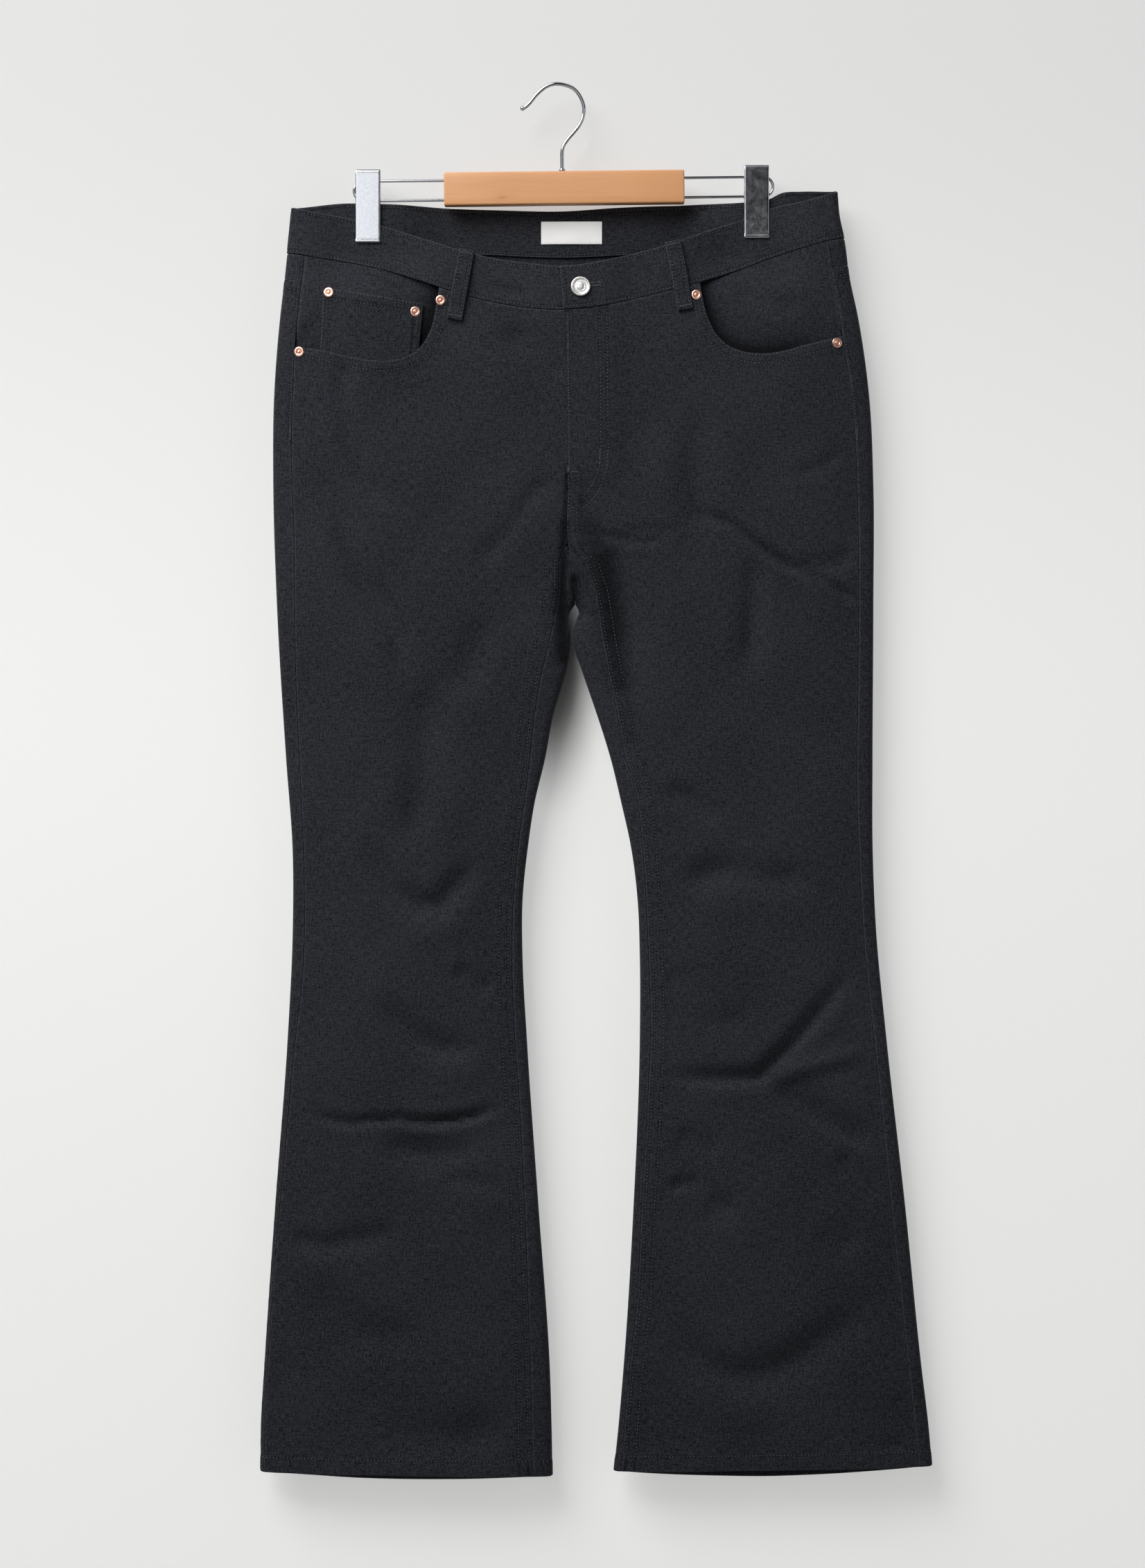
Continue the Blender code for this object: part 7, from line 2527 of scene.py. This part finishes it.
def rounded(profile: Sequence[tuple[float, float]], steps: int) -> list[tuple[float, float]]:
    """A smooth profile through a few points.

    Args:
        profile: the points.
        steps: how many come between two of them.

    Returns:
        The finer points.
    """
    points = np.array(profile, float)
    along = np.concatenate([[0], np.cumsum(np.linalg.norm(np.diff(points, axis=0), axis=1))])
    spans = [np.linspace(a, b, steps, endpoint=False) for a, b in zip(along, along[1:])]
    fine = np.concatenate([*spans, along[-1:]])
    x, z = Curve(along, points[:, 0])(fine), Curve(along, points[:, 1])(fine)
    return list(zip(np.clip(x, 0, None).tolist(), z.tolist()))


def seat_on(place: Place, side: Side, lift: Callable[[Array, Array], Array], reach: float) -> Matrix:
    """The place and turn of a round piece that sits just clear of the cloth.

    Args:
        place: where it sits on the front wall.
        side: the wearer's side.
        lift: how far out the cloth lies.
        reach: the piece's radius.

    Returns:
        The matrix, in metres.
    """

    def at(along: float, up: float) -> Array:
        """The cloth's point beside the place."""
        x, z = np.array(place.x + along), np.array(place.z + up)
        return FORM.cloth(x, z, side, Face.FRONT, lift(x, z))

    way = np.cross(at(reach, 0) - at(-reach, 0), at(0, reach) - at(0, -reach))
    way = Vector(way / np.linalg.norm(way))
    turn = Vector((0, 0, 1)).rotation_difference(way).to_matrix().to_4x4()
    return Matrix.Translation(Vector(at(0, 0) * MM) + way * SEAM_GAP * MM) @ turn


@dataclass
class Fastenings:
    """The jeans button and the six rivets."""

    button_place: Place = Place(21.2, -176.6)
    button_profile: tuple = (
        (0.0, 0.0), (6.0, 0.0), (7.9, 0.15), (8.5, 0.9), (8.35, 1.75), (7.7, 2.35), (7.0, 2.3), (6.2, 1.75),
        (4.6, 1.62), (3.8, 1.66), (3.45, 1.5), (3.1, 1.62), (2.8, 2.3), (2.0, 2.55), (0.0, 2.6),
    )
    button_reach: float = 7.9
    rivet_profile: tuple = (
        (0.0, 0.0), (3.8, 0.0), (4.3, 0.12), (4.4, 0.55), (4.1, 0.98), (3.4, 1.2), (2.5, 1.12), (1.85, 0.8),
        (1.5, 0.45), (1.3, 0.6), (1.2, 1.2), (0.9, 1.65), (0.4, 1.78), (0.0, 1.72),
    )
    rivet_reach: float = 4.35
    rivet_places: tuple = ((-99.2, -188.0), (-121.0, -197.6), (-195.4, -181.0), (-221.4, -231.6),
                           (121.0, -183.4), (242.4, -224.0))

    def button(self, dresser: Dresser, finishes: Finishes) -> Object:
        """The button, in place of its solid."""
        made = Bench.spun(rounded(self.button_profile, 5), 72)
        lift = lambda x, z: Waistband.lift(x, Side.LEFT, Face.FRONT)
        made.matrix_world = seat_on(self.button_place, Side.LEFT, lift, self.button_reach)
        return dresser.piece(Bench.settle(made, "jeans_button", finishes.nickel), "nickel", ["button"])

    def rivets(self, dresser: Dresser, finishes: Finishes) -> None:
        """The rivets, each in place of its solid."""
        for number, place in enumerate(self.rivet_places, 1):
            at = Place(*place)
            side = Side.RIGHT if at.x < CROTCH.x else Side.LEFT
            on_coin = side == Side.RIGHT and mouth_distance(np.array(at.x), np.array(at.z), side) > 0
            lift = coin_lift if on_coin else (lambda x, z: 0.0 * x)
            made = Bench.spun(rounded(self.rivet_profile, 4), 40)
            dent = Vector((0.5 * MM, 0.25 * MM, 0))
            Bench.edit(lambda p: (p - dent).to_2d().length < 0.75 * MM and p.z > 1.0 * MM)
            bpy.ops.transform.translate(value=(0, 0, -0.45 * MM))
            bpy.ops.object.mode_set(mode="OBJECT")
            spin = Matrix.Rotation(2.1 * number, 4, "Z")
            made.matrix_world = seat_on(at, side, lift, self.rivet_reach) @ spin
            made = Bench.settle(made, f"copper_rivet_{number}", finishes.copper)
            dresser.piece(made, "copper", [f"rivet_{number}"])


@dataclass
class Hanger:
    """The hook, the wooden bar, the two wires and the two sprung clips."""

    tilt: float = math.radians(0.66)
    hook_wire: float = 3.4
    wire: float = 2.5
    wire_spacing: float = 16.9
    bar_length: float = 208.0
    bar_height: float = 28.7
    bar_depth: float = 12.0
    bar_x: float = 6.2
    bar_z: float = -88.9
    wire_z: float = -89.3
    wire_sink: float = 9.0
    clip_width: float = 21.5
    clip_height: float = 63.0
    clip_sheet: float = 1.0
    clip_top: float = -71.0
    clip_flange: float = 1.0
    pin_radius: float = 2.6
    pin_length: float = 12.0
    pin_off: float = 3.5
    hook_points: tuple = (
        (-28.9, -19.1), (-27.1, -18.4), (-23.1, -15.0), (-17.0, -7.6), (-10.9, -2.2), (-5.4, 0.7), (0.8, 1.7),
        (8.1, 0.6), (15.5, -2.8), (20.9, -9.5), (24.0, -18.6), (23.1, -27.2), (19.7, -34.6), (14.8, -40.7),
        (10.0, -46.2), (6.2, -51.7), (4.7, -57.8), (4.6, -65.2), (4.6, -73.9),
    )
    ball_radius: float = 2.3
    collar_profile: tuple = ((0.0, 0.0), (2.2, 0.0), (2.75, 0.5), (2.75, 1.6), (2.3, 2.3), (1.75, 2.6),
                             (1.6, 3.4), (0.0, 3.5))

    @property
    def turn(self) -> Matrix:
        """The hanger's turn about the rail in its hook."""
        return Matrix.Rotation(-self.tilt, 4, "Y")

    def tube(self, points: Array, radius: float) -> Object:
        """A wire along points in the hanger's plane, made a mesh.

        Args:
            points: x and z of each, in millimetres.
            radius: of the wire.

        Returns:
            The object.
        """
        Bench.clear()
        bpy.ops.curve.primitive_bezier_curve_add(location=(0, 0, 0))
        made = bpy.context.object
        made.data.splines.clear()
        spline = made.data.splines.new("POLY")
        spline.points.add(len(points) - 1)
        for point, (x, z) in zip(spline.points, points):
            point.co = (x * MM, 0, z * MM, 1)
        made.data.bevel_depth = radius * MM
        made.data.bevel_resolution = 6
        made.data.use_fill_caps = True
        bpy.ops.object.convert(target="MESH")
        return bpy.context.object

    def hook(self, dresser: Dresser, finishes: Finishes) -> Object:
        """The hook with the ball on its tip and the collar at the bar."""
        steps = np.arange(len(self.hook_points))
        fine = np.linspace(0, len(self.hook_points) - 1, 150)
        points = np.stack([Curve(steps, [p[i] for p in self.hook_points])(fine) for i in (0, 1)], axis=1)
        wire = self.tube(points, self.hook_wire / 2)
        tip = points[0]
        Bench.clear()
        bpy.ops.mesh.primitive_uv_sphere_add(segments=32, ring_count=20, radius=self.ball_radius * MM,
                                             location=(tip[0] * MM, 0, tip[1] * MM))
        Bench.edit(lambda p: p.x > 0.5 * MM)
        bpy.ops.transform.resize(value=(1.0, 0.92, 0.92))
        bpy.ops.object.mode_set(mode="OBJECT")
        ball = bpy.context.object
        foot = self.bar_z + self.bar_height / 2 + SEAM_GAP
        collar = Bench.spun(rounded(self.collar_profile, 4), 36)
        collar.matrix_world = Matrix.Translation(Vector((points[-1][0], 0, foot)) * MM)
        made = Bench.join([wire, ball, collar])
        made = Bench.settle(made, "chrome_hook", finishes.chrome, self.turn, 50.0)
        return dresser.piece(made, "chrome", ["hanger_hook"])

    def bar(self, dresser: Dresser, finishes: Finishes) -> Object:
        """The bar, with rounded edges, drilled for the wires and the hook."""
        Bench.clear()
        size = tuple(length * MM for length in (self.bar_length, self.bar_depth, self.bar_height))
        bpy.ops.mesh.primitive_cube_add(size=1, location=(self.bar_x * MM, 0, self.bar_z * MM), scale=size)
        made = bpy.context.object
        bpy.ops.object.transform_apply(location=True, rotation=False, scale=True)
        Bench.edit(None)
        bpy.ops.mesh.subdivide(number_cuts=3)
        middle = self.bar_depth / 2 * MM
        band = self.bar_height * 0.3 * MM
        Bench.edit(lambda p: abs(p.y) > middle * 0.95 and abs(p.z - self.bar_z * MM) < band)
        bpy.ops.transform.resize(value=(1.0, 1.03, 1.0))
        Bench.apply("BEVEL", width=1.5 * MM, segments=4, limit_method="ANGLE", angle_limit=math.radians(40))
        for side in Side:
            for up in (-1, 1):
                end = self.bar_x + side * self.bar_length / 2
                place = Vector((end, 0, self.wire_z + up * self.wire_spacing / 2))
                bpy.ops.object.select_all(action="DESELECT")
                bpy.ops.mesh.primitive_cylinder_add(vertices=20, radius=(self.wire / 2 + SEAM_GAP) * MM,
                                                    depth=2 * self.wire_sink * MM, location=place * MM,
                                                    rotation=(0, math.pi / 2, 0))
                drill = bpy.context.object
                Bench.clear()
                bpy.context.view_layer.objects.active = made
                made.select_set(True)
                Bench.apply("BOOLEAN", object=drill, operation="DIFFERENCE")
                bpy.data.objects.remove(drill, do_unlink=True)
        made = Bench.settle(made, "wooden_bar", finishes.wood, self.turn, 40.0)
        return dresser.piece(made, "wood", ["hanger_bar"])

    def wire_loop(self, side: Side, dresser: Dresser, finishes: Finishes) -> Object:
        """One wire out along the top, round the end and back into the bar."""
        reach = {Side.RIGHT: -177.0, Side.LEFT: 188.2}[side]
        radius = self.wire_spacing / 2
        turn = reach - side * (radius + self.wire / 2)
        start = self.bar_x + side * (self.bar_length / 2 - self.wire_sink + 0.5)
        angle = np.linspace(math.pi / 2, -math.pi / 2, 33)
        bend = np.stack([turn + side * radius * np.cos(angle), self.wire_z + radius * np.sin(angle)], axis=1)
        points = np.concatenate([[[start, self.wire_z + radius]], bend, [[start, self.wire_z - radius]]])
        made = self.tube(points, self.wire / 2)
        made = Bench.settle(made, f"chrome_wire_{side.word}", finishes.chrome, self.turn, 50.0)
        return dresser.piece(made, "chrome", [f"hanger_wire_{side.word}"])

    def clip_plate(self, side: Side, face: Face) -> Object:
        """One sprung plate: its sides turned back at the top, a turned-in head and a lip that grips."""
        drop = CLIP_X[side] * math.sin(self.tilt)
        top, plate = self.clip_top + drop, FORM.gripped + WAISTBAND_PROUD + SEAM_GAP
        out = (plate + self.clip_sheet) * MM
        bottom = top - self.clip_height
        half = self.clip_width / 2
        Bench.clear()
        bpy.ops.mesh.primitive_grid_add(x_subdivisions=12, y_subdivisions=44, size=MM,
                                        location=(CLIP_X[side] * MM, face * out, (top + bottom) / 2 * MM),
                                        rotation=(math.pi / 2, 0, 0))
        made = bpy.context.object
        made.scale = (self.clip_width, self.clip_height, 1)
        bpy.ops.object.transform_apply(location=True, rotation=True, scale=True)
        at_side = lambda p: abs(abs(p.x - CLIP_X[side] * MM) - half * MM) < 0.3 * MM
        for above, back in ((0.3, 0.75), (1.6, 0.25)):
            Bench.edit(lambda p: p.z > (top - above) * MM)
            bpy.ops.transform.translate(value=(0, -face * back * MM, 0))
        for above, forward in ((2.3, 0.9), (0.8, -0.4)):
            Bench.edit(lambda p: p.z < (bottom + above) * MM)
            bpy.ops.transform.translate(value=(0, face * forward * MM, 0))
        Bench.edit(at_side)
        flange = (0, -face * self.clip_flange * MM, 0)
        bpy.ops.mesh.extrude_edges_move(TRANSFORM_OT_translate={"value": flange})
        folded = (plate + self.clip_sheet - 0.5 * self.clip_flange) * MM
        deep = (plate + self.clip_sheet - self.clip_flange - self.wire / 2 - SEAM_GAP - 0.1) * MM
        Bench.edit(lambda p: at_side(p) and (top - 24.0) * MM < p.z < (top - 1.8) * MM and abs(p.y) < folded)
        bpy.ops.transform.translate(value=(0, -face * deep, 0))
        Bench.edit(None)
        bpy.ops.mesh.normals_make_consistent(inside=False)
        bpy.ops.object.mode_set(mode="OBJECT")
        Bench.apply("BEVEL", width=0.75 * MM, segments=4, limit_method="ANGLE", angle_limit=math.radians(45))
        middle = min(made.data.polygons, key=lambda p: (p.center - Vector((CLIP_X[side] * MM, face * out,
                                                                           (top + bottom) / 2 * MM))).length)
        Bench.apply("SOLIDIFY", thickness=0.6 * MM, offset=-1.0 if middle.normal.y * face > 0 else 1.0)
        Bench.apply("BEVEL", width=0.15 * MM, segments=2, limit_method="ANGLE", angle_limit=math.radians(50))
        Bench.edit(None)
        bpy.ops.mesh.normals_make_consistent(inside=False)
        bpy.ops.object.mode_set(mode="OBJECT")
        return made

    def clip(self, side: Side, dresser: Dresser, finishes: Finishes) -> None:
        """A clip: two plates and the pin that they turn on."""
        name = side.word
        drop = CLIP_X[side] * math.sin(self.tilt)
        for face, place in ((Face.FRONT, "front"), (Face.BACK, "back")):
            plate = self.clip_plate(side, face)
            made = Bench.settle(plate, f"chrome_clip_{name}_{place}", finishes.plate, sharp=30.0)
            dresser.piece(made, "chrome", [f"clip_{name}_{place}"])
        z = self.wire_z - self.wire_spacing / 2 + self.wire / 2 + LAYER_GAP + self.pin_radius + drop
        x = CLIP_X[side] - side * self.pin_off
        Bench.clear()
        bpy.ops.mesh.primitive_cylinder_add(vertices=40, radius=self.pin_radius * MM,
                                            depth=self.pin_length * MM, location=(x * MM, 0, z * MM),
                                            rotation=(0, math.pi / 2, 0))
        Bench.edit(lambda p: abs(p.z) > self.pin_length * 0.45 * MM, "FACE")
        bpy.ops.mesh.inset(thickness=0.7 * MM, depth=0.25 * MM)
        Bench.apply("BEVEL", width=0.2 * MM, segments=2, limit_method="ANGLE", angle_limit=math.radians(40))
        made = Bench.settle(bpy.context.object, f"chrome_pin_{name}", finishes.chrome)
        dresser.piece(made, "chrome", [f"clip_{name}_pin"])


# ---------------------------------------------------------------- room


class Lamp(NamedTuple):
    """A soft area light: where it stands, what it faces, its size in metres and its power in watts."""

    name: str
    place: tuple[float, float, float]
    target: tuple[float, float, float]
    size: tuple[float, float]
    power: float
    colour: tuple[float, float, float] = (1.0, 1.0, 1.0)


MIDDLE = (0.0, 0.0, -0.6)
LAMPS = (
    Lamp("key", (-1.6, -2.0, 1.95), MIDDLE, (2.4, 2.2), 182.0, (1.0, 0.99, 0.98)),
    Lamp("window", (-0.8, -3.5, 0.5), (-0.8, 0.0, 0.5), (1.2, 1.6), 12.0, (0.97, 0.985, 1.0)),
    Lamp("fill", (2.6, -1.8, -0.3), MIDDLE, (1.6, 2.0), 8.0),
    Lamp("behind_left", (-1.6, 2.2, 0.5), MIDDLE, (1.4, 1.6), 26.0),
    Lamp("behind_right", (1.8, 2.2, 0.1), MIDDLE, (1.4, 1.6), 20.0),
)


@dataclass
class Room:
    """A pale wall close behind the part, a pale floor, soft lights and the camera."""

    wall_y: float = 0.024
    floor_z: float = -1.5
    camera_x: float = 0.0144
    camera_z: float = -0.6045
    camera_away: float = 2.9
    view_height: float = 1.3578

    def stage(self) -> None:
        """The wall and the floor."""
        for plaster, place, turn, size in (
            (Plaster("wall", (0.40, 0.40, 0.395), True, 0.44), (0, self.wall_y, 0), (math.pi / 2, 0, 0), 9.0),
            (Plaster("floor", (0.30, 0.30, 0.29), False, 0.0), (0, 0, self.floor_z), (0, 0, 0), 12.0),
        ):
            Bench.clear()
            bpy.ops.mesh.primitive_plane_add(size=size, location=place, rotation=turn)
            made = bpy.context.object
            bpy.ops.object.transform_apply(location=True, rotation=True, scale=True)
            made.name = plaster.name
            made.data.materials.append(plaster.make())
            made.visible_shadow = not plaster.one_sided
            made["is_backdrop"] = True

    def lights(self) -> None:
        """A key from the upper left, a window on the left behind the camera, a weak fill, and two from behind."""
        for lamp in LAMPS:
            data = bpy.data.lights.new(lamp.name, "AREA")
            data.shape = "RECTANGLE"
            data.size, data.size_y = lamp.size
            data.energy, data.color = lamp.power, lamp.colour
            made = bpy.data.objects.new(lamp.name, data)
            made.location = lamp.place
            way = Vector(lamp.target) - Vector(lamp.place)
            made.rotation_euler = way.to_track_quat("-Z", "Y").to_euler()
            made.visible_camera = False
            bpy.context.scene.collection.objects.link(made)

    def air(self) -> None:
        """The world: pale to look at, and as light bright from the sides but dim behind the camera."""
        world = bpy.data.worlds.new("air")
        world.use_nodes = True
        bpy.context.scene.world = world
        tree = world.node_tree
        tree.nodes.clear()
        way, ray = tree.nodes.new("ShaderNodeTexCoord"), tree.nodes.new("ShaderNodeLightPath")
        dot, room = tree.nodes.new("ShaderNodeVectorMath"), tree.nodes.new("ShaderNodeMapRange")
        seen, lit = (tree.nodes.new("ShaderNodeBackground") for _ in range(2))
        both, out = tree.nodes.new("ShaderNodeMixShader"), tree.nodes.new("ShaderNodeOutputWorld")
        dot.operation = "DOT_PRODUCT"
        dot.inputs[1].default_value = (0, -1, 0)
        for socket, value in zip(room.inputs[1:5], (0.55, 0.85, 0.25, 0.02)):
            socket.default_value = value
        seen.inputs[0].default_value = (0.86, 0.86, 0.855, 1)
        lit.inputs[0].default_value = (0.93, 0.96, 1.0, 1)
        for start, end in (
            (way.outputs["Generated"], dot.inputs[0]), (dot.outputs["Value"], room.inputs[0]),
            (room.outputs[0], lit.inputs[1]), (ray.outputs["Is Camera Ray"], both.inputs[0]),
            (lit.outputs[0], both.inputs[1]), (seen.outputs[0], both.inputs[2]),
            (both.outputs[0], out.inputs[0]),
        ):
            tree.links.new(start, end)

    def camera(self) -> None:
        """The camera, level and square to the part, with the photograph's frame."""
        data = bpy.data.cameras.new("camera")
        data.sensor_fit = "AUTO"
        data.sensor_width = 36.0
        data.lens = 36.0 * self.camera_away / self.view_height
        made = bpy.data.objects.new("camera", data)
        made.location = (self.camera_x, -self.camera_away, self.camera_z)
        made.rotation_euler = (math.pi / 2, 0, 0)
        bpy.context.scene.collection.objects.link(made)
        bpy.context.scene.camera = made

    def build(self) -> None:
        """All of it."""
        self.stage()
        self.lights()
        self.air()
        self.camera()
        bpy.context.scene.view_settings.view_transform = "Standard"


# ---------------------------------------------------------------- the whole


def corners(pair: Iterable[Vector]) -> list[list[float]]:
    """A box as plain lists."""
    return [[float(value) for value in corner] for corner in pair]


def main() -> None:
    """Dresses the part, piece by piece."""
    logging.basicConfig(level=logging.INFO, format="%(message)s")
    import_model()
    cad_box = corners(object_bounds())
    finishes, dresser = Finishes(), Dresser()
    for side in Side:
        FrontPanel(side).build(dresser, finishes)
        BackPanel(side).build(dresser, finishes)
        Yoke(side).build(dresser, finishes)
        FrontPocket(side).facing(dresser, finishes)
        BackPocket(side).build(dresser, finishes)
    FrontPocket(Side.RIGHT).coin_pocket(dresser, finishes)
    Waistband().build(dresser, finishes)
    for loop in BELT_LOOPS:
        BeltLoop(loop).build(dresser, finishes)
    Label().build(dresser, finishes)
    sewing = Sewing(dresser, finishes)
    sewing.fronts()
    sewing.backs()
    sewing.waist()
    fastenings = Fastenings()
    fastenings.button(dresser, finishes)
    fastenings.rivets(dresser, finishes)
    hanger = Hanger()
    hanger.hook(dresser, finishes)
    hanger.bar(dresser, finishes)
    for side in Side:
        hanger.wire_loop(side, dresser, finishes)
        hanger.clip(side, dresser, finishes)
    Room().build()
    {"cad": cad_box, "visual": corners(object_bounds())}


if __name__ == "__main__":
    main()
